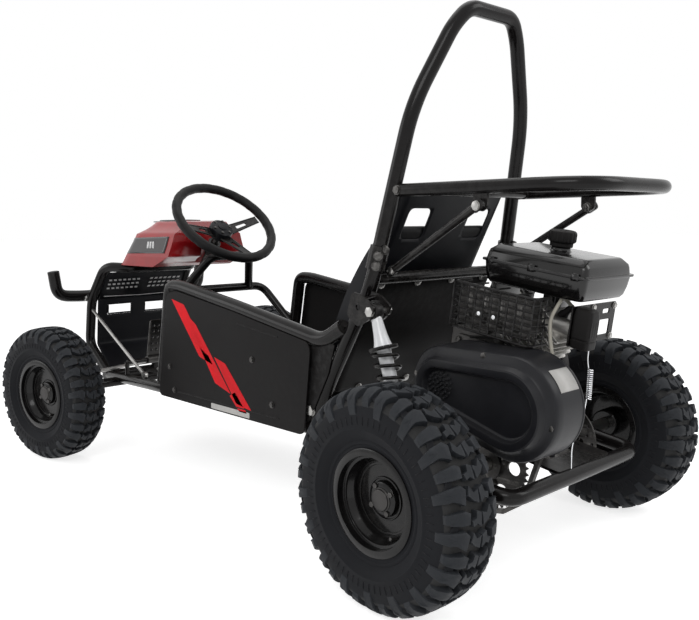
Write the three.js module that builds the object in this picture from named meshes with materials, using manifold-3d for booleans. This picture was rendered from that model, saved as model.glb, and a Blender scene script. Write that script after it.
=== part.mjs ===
import * as THREE from "three";
import { mergeVertices } from "three/addons/utils/BufferGeometryUtils.js";
import Module from "manifold-3d";

// Off road go kart, in millimetres. +X forward, +Y left, +Z up. Lengths along X are measured
// from the rear axle until the whole kart is centred at the end.

const wasm = await Module();
wasm.setup();

// Fits that every piece shares
const seatGap = 0.3;
const runningGap = 0.5;
const overrun = 6;
const weldGrain = 0.001;

// Wheels and tyres
const wheelbase = 1194;
const rearTyreRadius = 176.5;
const rearTyreHalf = 56;
const rearHalfTrack = 332;
const rearRimRadius = 84;
const rearRimHalf = 46;
const frontTyreRadius = 169.5;
const frontTyreHalf = 49;
const frontRimRadius = 88;
const frontRimHalf = 41;
const spindleReach = 60;
const kingpinHalf = 296;
const tyreWall = 9;
const treadDepth = 4.5;
const rimWall = 3.2;
const rimWell = 15;
const rimStep = 9;
const discInset = 8;
const hubRadius = 29;
const hubHalf = 21;
const axleRadius = 12.5;
const axleTail = 5;
const steerRest = 11.2;
const columnRatio = 1.5;

// Lower frame
const tubeRadius = 14;
const tubeBend = 60;
const frameHalf = 200;
const railLevel = 200;
const railRear = 345;
const kneeBehind = 314;
const kneeX = wheelbase - kneeBehind;
const noseHalf = 145;
const noseAhead = 91;
const noseX = wheelbase + noseAhead;
const noseLevel = 172;
const midBeamX = 690;
const beamRadius = 13;
const forkHeight = 33;
const forkPlate = 6;
const forkRadius = 16;
const kingpinRadius = 7;

// Side rails and panels
const sideRadius = 16;
const sideBend = 48;
const sideFootBehind = 301;
const sideFootX = wheelbase - sideFootBehind;
const sideTopBehind = 348;
const sideTopX = wheelbase - sideTopBehind;
const sideTopLevel = 452;
const sideCrestBehind = 394;
const sideCrestX = wheelbase - sideCrestBehind;
const sideMidX = 567;
const sideMidLevel = 418;
const sideLowX = 300;
const sideLowLevel = 373;
const sideEndX = 232;
const sideEndLevel = 413;
const panelThick = 3;
const panelTail = 372;

// Rear frame, firewall and roll bar
const uprightFootX = 345;
const uprightKneeX = 292;
const uprightKneeLevel = 300;
const uprightTopLevel = 478;
const uprightHalf = 190;
const uprightEndLevel = 546;
const crossLevel = 497;
const firewallThick = 2.5;
const barFootX = 167;
const barFootLevel = 530;
const barSleeveLow = 514;
const barSleeveHigh = 556;
const barSleeveWall = 4;
const barKneeX = 110;
const barKneeHalf = 160;
const barKneeLevel = 796;
const barCornerX = 66;
const barCornerHalf = 62;
const barCornerLevel = 966;
const barBend = 70;

// Rear rack
const rackRadius = 11.5;
const rackLevel = 652;
const rackHalf = 150;
const rackReach = 222;
const rackBend = 95;
const rackCrossX = 104;
const rackTabX = -39;
const rackTabDrop = 30;
const rackTabThick = 5;
const strutRadius = 7;
const strutHalf = 163;
const strutFootX = 152;
const strutFootLevel = 512;

// Front frame, bumper, cowl and nose
const legOutAhead = 204;
const legOutX = wheelbase + legOutAhead;
const legOutLevel = 250;
const legTopBack = 24;
const legTopX = legOutX - legTopBack;
const legTopLevel = 385;
const legEndAhead = 106;
const legEndX = wheelbase + legEndAhead;
const legEndLevel = 480;
const legCrossAhead = 31;
const legCrossX = wheelbase + legCrossAhead;
const legCrossHalf = 100;
const legCrossLevel = 477;
const bumperRadius = 17;
const bumperLevel = 392;
const bumperShoulder = 190;
const bumperTipHalf = 243;
const bumperTipLevel = 466;
const cowlThick = 4;
const windowInner = 22;
const windowOuter = 98;
const windowLow = 338;
const windowHigh = 366;
const noseFrontAhead = 124;
const noseFrontX = wheelbase + noseFrontAhead;
const noseShelfLevel = 486;
const noseBrowAhead = 74;
const noseBrowX = wheelbase + noseBrowAhead;
const noseBrowLevel = 572;
const noseCrownAhead = 11;
const noseCrownX = wheelbase + noseCrownAhead;
const noseCrownLevel = 604;
const noseTailBehind = 209;
const noseTailX = wheelbase - noseTailBehind;
const noseHeelBehind = 132;
const noseHeelX = wheelbase - noseHeelBehind;
const noseBottomHalf = 122;
const noseTopHalf = 62;
const noseShell = 3.5;
const noseSkirt = 28;
const noseSetback = 10.5;

// Floor and pedals
const floorThick = 2.5;
const floorMargin = 16;
const floorHalf = frameHalf - floorMargin;
const floorRear = 352;
const floorBehind = 122;
const floorFront = wheelbase - floorBehind;
const pedalBehind = 54;
const pedalX = wheelbase - pedalBehind;
const pedalLevel = 228;
const pedalHalf = 78;
const pedalRise = 112;
const pedalLean = 26;
const pedalWide = 54;
const pedalThick = 6;
const pedalPinRadius = 6;
const pedalHubRadius = 11;

// Steering
const wheelBehind = 291;
const wheelX = wheelbase - wheelBehind;
const wheelLevel = 602;
const wheelRadius = 130;
const gripRadius = 12.5;
const columnTilt = 46.4;
const hubDrop = 38;
const hubPadRadius = 31;
const hubPadHeight = 22;
const spokeWide = 30;
const spokeThick = 5;
const columnRadius = 10;
const spokeLag = 10;
const pitmanReach = 42;
const armReach = 62;
const armRadius = 8;
const studRadius = 4.8;
const kingpinSleeve = 14.5;
const rodRadius = 6;
const rodEndRadius = 10;
const rodLevel = 214;
const rodShort = 26;
const supportRadius = 11;
const supportBehind = 312;
const supportX = wheelbase - supportBehind;
const supportLevel = 516;
const supportHalf = 58;
const supportFootHalf = 104;
const hoopBehind = 244;
const hoopX = wheelbase - hoopBehind;
const hoopLevel = 428;
const hoopHalf = 150;
const hoopFootBehind = 322;
const hoopFootX = wheelbase - hoopFootBehind;
const hoopFootLevel = 330;
const sleeveAt = 88;
const sleeveRadius = 17;
const sleeveHalf = 16;

// Swing arm and shocks
const pivotX = 335;
const pivotLevel = 236;
const armRearX = -126;
const armRearLevel = 168;
const armHalf = 198;
const armBend = 34;
const armNeck = 45;
const armShoulder = 115;
const pivotHalf = 150;
const pivotSleeve = 21;
const pivotPinRadius = 8;
const pivotEarGap = 34;
const pivotEarThick = 7;
const plateThick = 5;
const plateLeft = 62;
const plateRoom = 96;
const plateRight = armHalf - plateRoom;
const plateFront = -212;
const bearingRadius = 36;
const bearingHalf = 15;
const shockHalf = 226;
const shockTopX = 137;
const shockTopLevel = 445;
const shockFootX = 67;
const shockFootLevel = 228;
const shockPinRadius = 5;
const shockEyeRadius = 14;
const shockEyeHalf = 10;
const shockEyeSlack = 5;
const shockEarThick = 5;
const bodyRadius = 13;
const bodyLength = 128;
const flareTop = 9.1;
const flareFoot = 21.75;
const flareShare = 0.6;
const collarRadius = 29;
const collarAt = 62;
const collarThick = 6;
const shaftRadius = 6;
const shaftRoom = 28;
const perchRise = 17;
const perchRadius = 28;
const springRadius = 21;
const springWire = 3.2;

// Rear axle pieces
const sprocketRadius = 80;
const sprocketThick = 5;
const sprocketWeb = 50;
const sprocketWindow = 16;
const sprocketWindows = 4;
const chainPlane = 80;
const chainThick = 9;
const chainHeight = 10;
const chainPlay = 2;
const smallSprocketRadius = 25;
const discRoom = 48;
const discPlane = discRoom - armHalf;
const discRadius = 76;
const discThick = 4;
const caliperRise = 22.8;
const caliperAhead = 30.4;
const caliperWide = 44;
const caliperTall = 34;
const caliperDeep = 30;

// Engine, measured along and above the swing arm from its pivot
const crankAt = -284;
const crankRise = 130;
const blockFront = 74;
const blockRear = 78;
const blockLeft = 64;
const blockRight = 76;
const crankRadius = 10;
const headLean = 50;
const headFrom = 66;
const headLength = 104;
const headWide = 92;
const headTall = 96;
const headOffset = 6;
const finCount = 7;
const finThick = 4;
const finDeep = 9;
const tankFrontAt = -248;
const tankLength = 211;
const tankLeft = 60;
const tankRight = 103;
const tankRise = 336;
const tankFlange = 6;
const tankFlangeThick = 4;
const tankUpper = 26;
const tankLower = 40;
const tankDraft = 11;
const capRadius = 25;
const capFootRadius = 20;
const capHeight = 30;
const capAt = -355;
const capSide = -22;
const neckRadius = 17;
const neckHeight = 6;
const guardFrontAt = -234;
const guardLength = 170;
const guardOuter = 110;
const guardInner = 58;
const guardLow = 216;
const guardHigh = 300;
const guardThick = 2;
const guardAcross = 5;
const guardDown = 3;
const guardWire = 5;
const mufflerInset = 9;
const filterAt = -474;
const filterLength = 38;
const filterLeft = 52;
const filterRight = 4;
const filterLow = 222;
const filterHigh = 290;
const bracketThick = 3;
const bracketRight = -58;
const slotLow = 236;
const slotTall = 17;
const slotInner = -16;
const slotOuter = -46;
const recoilRadius = 82;
const recoilDeep = 34;
const handleRadius = 9;
const handleHalf = 26;
const recoilStep = 8;
const recoilBoss = 57.4;
const deckHalf = 49;
const padInset = 9;
const spacerRadius = 34;
const backThick = 5;
const portShift = 8;
const portShare = 0.62;
const portRadius = 12;
const intakeRise = 246;
const coverInner = 92;
const coverOuter = 186;
const coverWall = 3;
const coverFrontRadius = 68;
const coverRearRadius = 87;
const coverSpread = 140;
const coverShoulder = 16;
const ridgeStep = 9;
const ridgeWide = 14;
const driverRadius = 50;
const drivenRadius = 74;
const sheaveFrom = 112;
const sheaveTo = 160;
const beltThick = 8;
const beltInner = 130;
const beltOuter = 146;
const sheaveCore = 30;
const jackRadius = 9;

// Seat
const seatHalf = 152;
const seatWall = 5;
const seatFrontX = 690;
const seatFrontLevel = 288;
const seatLowX = 390;
const seatLowLevel = 268;
const seatBendX = 318;
const seatBendLevel = 292;
const seatBackX = 238;
const seatBackLevel = 455;
const seatTopX = 140;
const seatTopLevel = 645;
const wingDepth = 62;
const padThick = 40;
const padCrown = 16;
const padEdge = 10;
const padChannel = 7;
const holeInner = 58;
const holeOuter = 118;
const holeLow = 566;
const holeHigh = 622;

// Shares of a length, a run or a turn that shape the pieces
const cornerShare = 0.45;
const lightShare = 0.8;
const panelTopShare = 1.4;
const panelMidShare = 1.1;
const shoulderXShare = 0.75;
const shoulderHalfShare = 0.42;
const shoulderLevelShare = 0.8;
const legEndShare = 0.56;
const hornMidShare = 0.54;
const hornRootShare = 0.9;
const hornBendShare = 0.6;
const browShare = 0.84;
const swellShare = 0.55;
const spokeRootShare = 0.6;
const spokeSinkShare = 0.3;
const spokeTipShare = 0.7;
const wingRunShare = 1.15;
const wingEaseShare = 0.6;
const wingLowShare = 0.35;
const channelShare = 0.045;
const channelShares = [0.2, 0.34, 0.62, 0.76, 0.9];
const seamShares = [0.28, 0.72];
const padFrontShare = 0.08;
const padTopShare = 0.06;
const padSideShare = 0.16;

// Counts of facets
const tubeSides = 8;
const smallSides = 8;
const pinSides = 6;
const trackSteps = 9;
const bendSteps = 2;
const wheelSides = 18;
const roundSides = 14;
const springCurls = 7;
const springSteps = 8;
const springSides = 5;
const seatSteps = 16;
const padColumns = 10;
const noseColumns = 6;

// How far the flats of a tube and of a wheel's facets lie from their centre line
const tubeFlat = tubeRadius * Math.cos(Math.PI / tubeSides);
const facetFlat = Math.cos(Math.PI / wheelSides);
const rearAxleLevel = rearTyreRadius;
const toRadians = THREE.MathUtils.degToRad;
const armTilt = Math.atan2(pivotLevel - armRearLevel, pivotX - armRearX);

// Finishes
const finish = (color, roughness, metalness) =>
  new THREE.MeshStandardMaterial({ color, roughness, metalness });
const steelBlack = finish(0x151517, 0.38, 0.4);
const panelBlack = finish(0x1a1a1b, 0.6, 0.1);
const plasticBlack = finish(0x202225, 0.5, 0.0);
const rubber = finish(0x232427, 0.88, 0.0);
const redGloss = finish(0xa01420, 0.25, 0.0);
const bareSteel = finish(0xb4b5b8, 0.35, 0.9);
const castAlloy = finish(0xa8a69e, 0.5, 0.8);
const seatBlack = finish(0x19191a, 0.75, 0.0);
const shockWhite = finish(0xe2e4e8, 0.3, 0.5);

// Solids

function solid(geometry) {
  const bare = geometry.index ? geometry.toNonIndexed() : geometry.clone();
  bare.deleteAttribute("normal");
  bare.deleteAttribute("uv");
  const merged = mergeVertices(bare, weldGrain);
  return new wasm.Manifold(
    new wasm.Mesh({
      numProp: 3,
      vertProperties: merged.attributes.position.array,
      triVerts: new Uint32Array(merged.index.array),
    }),
  );
}

function geometryOf(shape) {
  const mesh = shape.getMesh();
  const geometry = new THREE.BufferGeometry();
  geometry.setAttribute("position", new THREE.BufferAttribute(mesh.vertProperties, mesh.numProp));
  geometry.setIndex(new THREE.BufferAttribute(mesh.triVerts, 1));
  return geometry;
}

const joined = (...shapes) => shapes.flat().reduce((a, b) => a.add(b));
const without = (shape, ...cutters) => cutters.flat().reduce((a, b) => a.subtract(b), shape);
const both = (make) => joined(make(1), make(-1));

// A line through points whose corners are rounded, handed to the extrusion ring by ring.
class RoutePath extends THREE.Curve {
  constructor(points) {
    super();
    this.points = points;
  }
  getPointAt(share, target = new THREE.Vector3()) {
    return target.copy(this.points[Math.round(share * (this.points.length - 1))]);
  }
  getPoint(share, target) {
    return this.getPointAt(share, target);
  }
  getTangentAt(share, target = new THREE.Vector3()) {
    const last = this.points.length - 1;
    const at = Math.round(share * last);
    const ahead = this.points[Math.min(at + 1, last)];
    const behind = this.points[Math.max(at - 1, 0)];
    const before = this.points[at].clone().sub(behind).normalize();
    const after = ahead.clone().sub(this.points[at]).normalize();
    return target.copy(before).add(after).normalize();
  }
}

function rounded(corners, bend) {
  const points = corners.map((corner) => new THREE.Vector3(...corner));
  const route = [points[0]];
  for (let i = 1; i < points.length - 1; i += 1) {
    const back = points[i - 1].clone().sub(points[i]);
    const on = points[i + 1].clone().sub(points[i]);
    const reach = Math.min(bend, back.length() * cornerShare, on.length() * cornerShare);
    const from = points[i].clone().addScaledVector(back.normalize(), reach);
    const to = points[i].clone().addScaledVector(on.normalize(), reach);
    const arc = new THREE.QuadraticBezierCurve3(from, points[i], to);
    route.push(...arc.getPoints(bendSteps));
  }
  route.push(points[points.length - 1]);
  return route;
}

function ring(radius, sides) {
  const outline = new THREE.Shape();
  for (let i = 0; i < sides; i += 1) {
    const turn = (2 * Math.PI * (i + 0.5)) / sides;
    const point = [radius * Math.cos(turn), radius * Math.sin(turn)];
    if (i === 0) outline.moveTo(...point);
    else outline.lineTo(...point);
  }
  return outline;
}

function tube(corners, radius = tubeRadius, bend = tubeBend, sides = tubeSides) {
  const route = rounded(corners, bend);
  return solid(
    new THREE.ExtrudeGeometry(ring(radius, sides), {
      steps: route.length - 1,
      extrudePath: new RoutePath(route),
      bevelEnabled: false,
    }),
  );
}

// A round bar between two points, which may taper.
function bar(from, to, radius, sides = roundSides, endRadius = radius) {
  const start = new THREE.Vector3(...from);
  const span = new THREE.Vector3(...to).sub(start);
  const geometry = new THREE.CylinderGeometry(endRadius, radius, span.length(), sides);
  geometry.translate(0, span.length() / 2, 0);
  const turn = new THREE.Quaternion().setFromUnitVectors(
    new THREE.Vector3(0, 1, 0),
    span.clone().normalize(),
  );
  geometry.applyQuaternion(turn);
  geometry.translate(start.x, start.y, start.z);
  return solid(geometry);
}

// A hole for a round bar: its flats, rather than its corners, lie at the radius.
const hole = (from, to, radius, sides = roundSides) =>
  bar(from, to, radius / Math.cos(Math.PI / sides), sides);

const across = (x, z, y0, y1, radius, sides) => bar([x, y0, z], [x, y1, z], radius, sides);

const holeAcross = (x, z, y0, y1, radius, sides) => hole([x, y0, z], [x, y1, z], radius, sides);

function boxGeometry(x0, x1, y0, y1, z0, z1) {
  const geometry = new THREE.BoxGeometry(Math.abs(x1 - x0), Math.abs(y1 - y0), Math.abs(z1 - z0));
  geometry.translate((x0 + x1) / 2, (y0 + y1) / 2, (z0 + z1) / 2);
  return geometry;
}

const block = (...limits) => solid(boxGeometry(...limits));

// A plate whose outline lies in the XZ plane, from y0 to y1.
function sidePlate(outline, y0, y1) {
  const shape = new THREE.Shape(outline.map(([x, z]) => new THREE.Vector2(x, z)));
  const geometry = new THREE.ExtrudeGeometry(shape, {
    depth: Math.abs(y1 - y0),
    bevelEnabled: false,
  });
  geometry.rotateX(Math.PI / 2);
  geometry.translate(0, Math.max(y0, y1), 0);
  return solid(geometry);
}

// A closed section of [radius, y] points turned about a line along Y.
function turned(section, sides = wheelSides) {
  const points = section.map(([radius, y]) => new THREE.Vector2(radius, y));
  if (THREE.ShapeUtils.area(points) < 0) points.reverse();
  const geometry = new THREE.LatheGeometry([...points, points[0].clone()], sides);
  return solid(geometry);
}

// The outline round two circles side by side, as a belt runs, in the XZ plane.
function raceTrack(xa, za, ra, xb, zb, rb, steps = trackSteps) {
  const span = Math.hypot(xb - xa, zb - za);
  const along = Math.atan2(zb - za, xb - xa);
  const lean = Math.acos((ra - rb) / span);
  const outline = [];
  for (let i = 0; i <= steps; i += 1) {
    const turn = along + lean + ((2 * Math.PI - 2 * lean) * i) / steps;
    outline.push([xa + ra * Math.cos(turn), za + ra * Math.sin(turn)]);
  }
  for (let i = 0; i <= steps; i += 1) {
    const turn = along - lean + (2 * lean * i) / steps;
    outline.push([xb + rb * Math.cos(turn), zb + rb * Math.sin(turn)]);
  }
  return outline;
}

// A solid between two surfaces given over shares along and across.
function between(top, bottom, alongSteps, acrossSteps) {
  const positions = [];
  const index = [];
  const columns = acrossSteps + 1;
  for (const surface of [top, bottom]) {
    for (let i = 0; i <= alongSteps; i += 1) {
      for (let j = 0; j <= acrossSteps; j += 1) {
        positions.push(...surface(i / alongSteps, j / acrossSteps));
      }
    }
  }
  const layer = (alongSteps + 1) * columns;
  const quad = (a, b, c, d) => index.push(a, b, c, a, c, d);
  for (let i = 0; i < alongSteps; i += 1) {
    for (let j = 0; j < acrossSteps; j += 1) {
      const a = i * columns + j;
      quad(a, a + columns, a + columns + 1, a + 1);
      quad(layer + a, layer + a + 1, layer + a + columns + 1, layer + a + columns);
    }
  }
  for (let i = 0; i < alongSteps; i += 1) {
    for (const edge of [0, acrossSteps]) {
      const a = i * columns + edge;
      if (edge === 0) quad(a, layer + a, layer + a + columns, a + columns);
      else quad(a, a + columns, layer + a + columns, layer + a);
    }
  }
  for (let j = 0; j < acrossSteps; j += 1) {
    const last = alongSteps * columns + j;
    quad(j, j + 1, layer + j + 1, layer + j);
    quad(last, layer + last, layer + last + 1, last + 1);
  }
  const geometry = new THREE.BufferGeometry();
  geometry.setAttribute("position", new THREE.Float32BufferAttribute(positions, 3));
  geometry.setIndex(index);
  return solid(geometry);
}

// Scene

const kart = new THREE.Group();

function add(name, shape, material, group = kart) {
  const mesh = new THREE.Mesh(geometryOf(shape), material);
  mesh.name = name;
  group.add(mesh);
  return mesh;
}

const sides = [
  ["left", 1],
  ["right", -1],
];

// Where the roll bar's straight leg stands at a height, which its upright and the rack follow
function barAt(level, side) {
  const share = (level - barFootLevel) / (barKneeLevel - barFootLevel);
  return [
    barFootX + (barKneeX - barFootX) * share,
    side * (uprightHalf + (barKneeHalf - uprightHalf) * share),
    level,
  ];
}

const railAt = (x, side) => {
  const share = Math.max(0, (x - kneeX) / (noseX - kneeX));
  return [
    x,
    side * (frameHalf + (noseHalf - frameHalf) * share),
    railLevel + (noseLevel - railLevel) * share,
  ];
};

const frontAxleLevel = frontTyreRadius;
const steer = toRadians(steerRest);
const tilt = toRadians(columnTilt);

// A point on the steering column's axis, counted from the wheel's plane down the column
const onColumn = (reach, lift = 0) => [
  wheelX + reach * Math.cos(tilt) + lift * Math.sin(tilt),
  0,
  wheelLevel - reach * Math.sin(tilt) + lift * Math.cos(tilt),
];
const pitmanAt = (wheelLevel - rodLevel - pitmanReach * Math.cos(tilt)) / Math.sin(tilt);

// Lower frame: two rails, their cross members, the axle beam with its forks and the arm's pivots
const lowerRail = (side, radius = tubeRadius) =>
  tube(
    [[railRear, side * frameHalf, railLevel], [kneeX, side * frameHalf, railLevel], railAt(noseX, side)],
    radius,
  );

const beamFork = (side) => {
  const inner = side * (kingpinHalf - forkHeight);
  const outer = side * (kingpinHalf + forkRadius);
  const web = side * (kingpinHalf - forkHeight + forkPlate);
  const rear = wheelbase - forkRadius;
  const front = wheelbase + forkRadius;
  const top = frontAxleLevel + forkHeight;
  const low = frontAxleLevel - forkHeight;
  return joined(
    block(rear, front, inner, outer, top, top + forkPlate),
    block(rear, front, inner, outer, low - forkPlate, low),
    block(rear, front, inner, web, low - forkPlate, top + forkPlate),
    bar(
      [wheelbase, side * kingpinHalf, low - 2 * forkPlate],
      [wheelbase, side * kingpinHalf, top + 2 * forkPlate],
      kingpinRadius,
      pinSides,
    ),
  );
};

const pivotEar = (side) => {
  const foot = railLevel - tubeRadius / 2;
  const top = pivotLevel + pivotPinRadius * 2;
  const outline = [
    [pivotX - tubeRadius, foot],
    [railRear + 2 * tubeRadius, foot],
    [pivotX + pivotPinRadius * 2, top],
    [pivotX - pivotPinRadius * 2, top],
  ];
  const near = side * (pivotHalf - pivotEarGap / 2);
  const far = side * (pivotHalf + pivotEarGap / 2);
  const head = side * (uprightHalf + tubeRadius + seatGap);
  return joined(
    sidePlate(outline, near, near - side * pivotEarThick),
    sidePlate(outline, far, far + side * pivotEarThick),
    across(pivotX, pivotLevel, near - side * pivotEarThick * 2, head, pivotPinRadius, roundSides),
    across(pivotX, pivotLevel, head, head + side * pivotEarThick, pivotPinRadius * 1.5, pinSides),
  );
};

// The pedals' cross rod, which stands on the rails by two posts
const rodHalf = railAt(pedalX, 1)[1];
const pedalPost = (side) =>
  bar(
    [pedalX, side * rodHalf, railLevel - tubeRadius],
    [pedalX, side * rodHalf, pedalLevel],
    pedalPinRadius,
    pinSides,
  );

const lowerSleeveFrom = onColumn(pitmanAt + 2 * armRadius);
const lowerSleeveTo = onColumn(pitmanAt + 2 * armRadius + sleeveHalf);
const noseBeam = (radius, tail) =>
  across(noseX, noseLevel, -noseHalf - tail, noseHalf + tail, radius, tubeSides);
const lowerFrame = without(
  joined(
    both((side) => lowerRail(side)),
    across(railRear, railLevel, -frameHalf, frameHalf, tubeRadius, tubeSides),
    across(midBeamX, railLevel, -frameHalf, frameHalf, beamRadius, tubeSides),
    across(
      wheelbase,
      frontAxleLevel,
      forkHeight - kingpinHalf,
      kingpinHalf - forkHeight,
      beamRadius,
      tubeSides,
    ),
    noseBeam(tubeRadius, tubeRadius),
    bar([noseX, 0, noseLevel], lowerSleeveTo, sleeveRadius, smallSides),
    bar(lowerSleeveFrom, lowerSleeveTo, sleeveRadius, smallSides),
    both(beamFork),
    both(pivotEar),
    both(pedalPost),
    across(pedalX, pedalLevel, -rodHalf, rodHalf, pedalPinRadius, pinSides),
  ),
  hole(
    onColumn(pitmanAt),
    onColumn(pitmanAt + 2 * armRadius + sleeveHalf + overrun),
    columnRadius + runningGap,
    smallSides,
  ),
);
add("frame_lower", lowerFrame, steelBlack);

// Side rails and the panels that fill them
const sideRoute = (side, radius = sideRadius) =>
  tube(
    [
      [sideFootX, side * frameHalf, railLevel],
      [sideTopX, side * frameHalf, sideTopLevel],
      [sideCrestX, side * frameHalf, sideTopLevel],
      [sideMidX, side * frameHalf, sideMidLevel],
      [sideLowX, side * frameHalf, sideLowLevel],
      [sideEndX, side * frameHalf, sideEndLevel],
    ],
    radius,
    sideBend,
  );

const uprightRoute = (side, radius = tubeRadius, lift = 0) =>
  tube(
    [
      [uprightFootX, side * uprightHalf, railLevel],
      [uprightKneeX, side * uprightHalf, uprightKneeLevel],
      barAt(uprightTopLevel, side),
      barAt(uprightEndLevel + lift, side),
    ],
    radius,
  );

const panelOutline = () => {
  const reach = sideRadius + seatGap;
  return [
    [panelTail, railLevel - tubeRadius],
    [sideFootX - reach, railLevel - tubeRadius],
    [sideTopX - reach * panelTopShare, sideTopLevel - 2 * reach],
    [sideCrestX - reach, sideTopLevel - reach * panelTopShare],
    [sideMidX, sideMidLevel - reach * panelMidShare],
    [sideLowX + 2 * reach, sideLowLevel - reach],
    [sideLowX + reach, sideLowLevel - reach * panelTopShare],
  ];
};

for (const [name, side] of sides) {
  add(
    "side_rail_" + name,
    without(
      sideRoute(side),
      uprightRoute(side, tubeRadius + seatGap),
      lowerRail(side, tubeRadius + seatGap),
    ),
    steelBlack,
  );
  const inner = side * (frameHalf + tubeFlat + seatGap);
  add(
    "side_panel_" + name,
    without(
      sidePlate(panelOutline(), inner, inner + side * panelThick),
      sideRoute(side, sideRadius + seatGap),
      uprightRoute(side, tubeRadius + seatGap),
    ),
    panelBlack,
  );
}

// Rear frame: uprights, cross tube and the shocks' upper brackets
const shockEar = (side) => {
  const inner = side * (uprightHalf + tubeRadius / 2);
  const outline = [
    [shockTopX - shockEyeRadius, shockTopLevel + shockEyeRadius / 2],
    [shockTopX, shockTopLevel - shockEyeRadius],
    [shockTopX + shockEyeRadius * 2, shockTopLevel - shockEyeRadius * 2],
    [barAt(uprightTopLevel, 1)[0] + tubeRadius, uprightTopLevel - 3 * tubeRadius],
    [barAt(uprightTopLevel, 1)[0], uprightTopLevel],
    [shockTopX + shockEyeRadius, shockTopLevel + shockEyeRadius * 2],
  ];
  const outer = side * (shockHalf + shockEyeHalf + runningGap);
  return joined(
    sidePlate(outline, inner, inner + side * shockEarThick),
    across(shockTopX, shockTopLevel, inner, outer + side * shockEarThick, shockPinRadius, pinSides),
    across(shockTopX, shockTopLevel, outer, outer + side * shockEarThick, shockPinRadius * 2, pinSides),
  );
};
const crossAt = barAt(crossLevel, 1);
add(
  "rear_frame",
  without(
    joined(
      both((side) => uprightRoute(side)),
      across(crossAt[0], crossLevel, -crossAt[1], crossAt[1], tubeRadius * lightShare, tubeSides),
      both(shockEar),
    ),
    both((side) => lowerRail(side, tubeRadius + seatGap)),
    across(railRear, railLevel, -frameHalf, frameHalf, tubeRadius + seatGap, tubeSides),
    holeAcross(pivotX, pivotLevel, -frameHalf * 2, frameHalf * 2, pivotPinRadius + seatGap, pinSides),
  ),
  steelBlack,
);

// Firewall between the uprights, behind the seat
const firewallOutline = [
  [uprightFootX - tubeRadius, railLevel + 2 * tubeRadius],
  [uprightKneeX, uprightKneeLevel],
  [crossAt[0] + tubeRadius, crossLevel],
];
const firewallBack = firewallOutline.map(([x, z]) => [x - firewallThick, z]).reverse();
const firewallHalf = uprightHalf - tubeRadius - seatGap;
const earNotch = (side) =>
  block(
    uprightKneeX,
    uprightFootX + tubeRadius,
    side * (pivotHalf - pivotEarGap / 2 - 3 * pivotEarThick),
    side * (pivotHalf + pivotEarGap / 2 + 2 * pivotEarThick),
    railLevel,
    pivotLevel + pivotPinRadius * 3,
  );
add(
  "firewall",
  without(sidePlate([...firewallOutline, ...firewallBack], -firewallHalf, firewallHalf), both(earNotch)),
  panelBlack,
);

// Roll bar: a hoop whose sleeves slip over the uprights
const barStart = (side) => barAt(uprightEndLevel + seatGap, side);
const barKnee = (side) => [barKneeX, side * barKneeHalf, barKneeLevel];
const barCorner = (side) => [barCornerX, side * barCornerHalf, barCornerLevel];
const barShoulder = (side) => [
  barKneeX + (barCornerX - barKneeX) * shoulderXShare,
  side * (barKneeHalf + barCornerHalf) * shoulderHalfShare,
  barKneeLevel + (barCornerLevel - barKneeLevel) * shoulderLevelShare,
];
const barHoop = [
  barStart(1),
  barKnee(1),
  barShoulder(1),
  barCorner(1),
  barCorner(-1),
  barShoulder(-1),
  barKnee(-1),
  barStart(-1),
];
const barSleeve = (side) =>
  bar(barAt(barSleeveLow, side), barAt(barSleeveHigh, side), tubeRadius + barSleeveWall, tubeSides);
add(
  "roll_bar",
  joined(
    without(both(barSleeve), both((side) => uprightRoute(side, tubeRadius + seatGap, seatGap))),
    tube(barHoop, tubeRadius, barBend),
  ),
  steelBlack,
);

// Rear rack: a loop held at the roll bar's legs, its cross tube and the struts' tabs
const rackMount = barAt(rackLevel, 1);
const rackFront = rackMount[0];
const rackSide = (x) => {
  const share = (rackFront - x) / (rackFront + rackReach);
  return rackMount[1] + (rackHalf - rackMount[1]) * share;
};
const rackLoop = [
  [rackFront, rackMount[1], rackLevel],
  [-rackReach, rackHalf, rackLevel],
  [-rackReach, -rackHalf, rackLevel],
  [rackFront, -rackMount[1], rackLevel],
];
const rackTab = (side) => {
  const outer = side * (strutHalf + rackTabThick / 2 - seatGap);
  return block(
    rackTabX - 2 * strutRadius,
    rackTabX + 2 * strutRadius,
    outer,
    outer - side * rackTabThick,
    rackLevel,
    rackLevel - rackTabDrop - strutRadius,
  );
};
add(
  "rear_rack",
  without(
    joined(
      tube(rackLoop, rackRadius, rackBend),
      across(
        rackCrossX,
        rackLevel,
        -rackSide(rackCrossX),
        rackSide(rackCrossX),
        rackRadius * lightShare,
        tubeSides,
      ),
      both(rackTab),
    ),
    tube(barHoop, tubeRadius + seatGap, barBend),
  ),
  steelBlack,
);
for (const [name, side] of sides) {
  const top = side * (strutHalf + rackTabThick / 2 + seatGap + strutRadius);
  const foot = side * (barAt(strutFootLevel, 1)[1] - tubeRadius - barSleeveWall - seatGap - strutRadius);
  add(
    "rack_strut_" + name,
    bar(
      [rackTabX, top, rackLevel - rackTabDrop],
      [strutFootX, foot, strutFootLevel],
      strutRadius,
      pinSides,
    ),
    steelBlack,
  );
}

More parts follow.
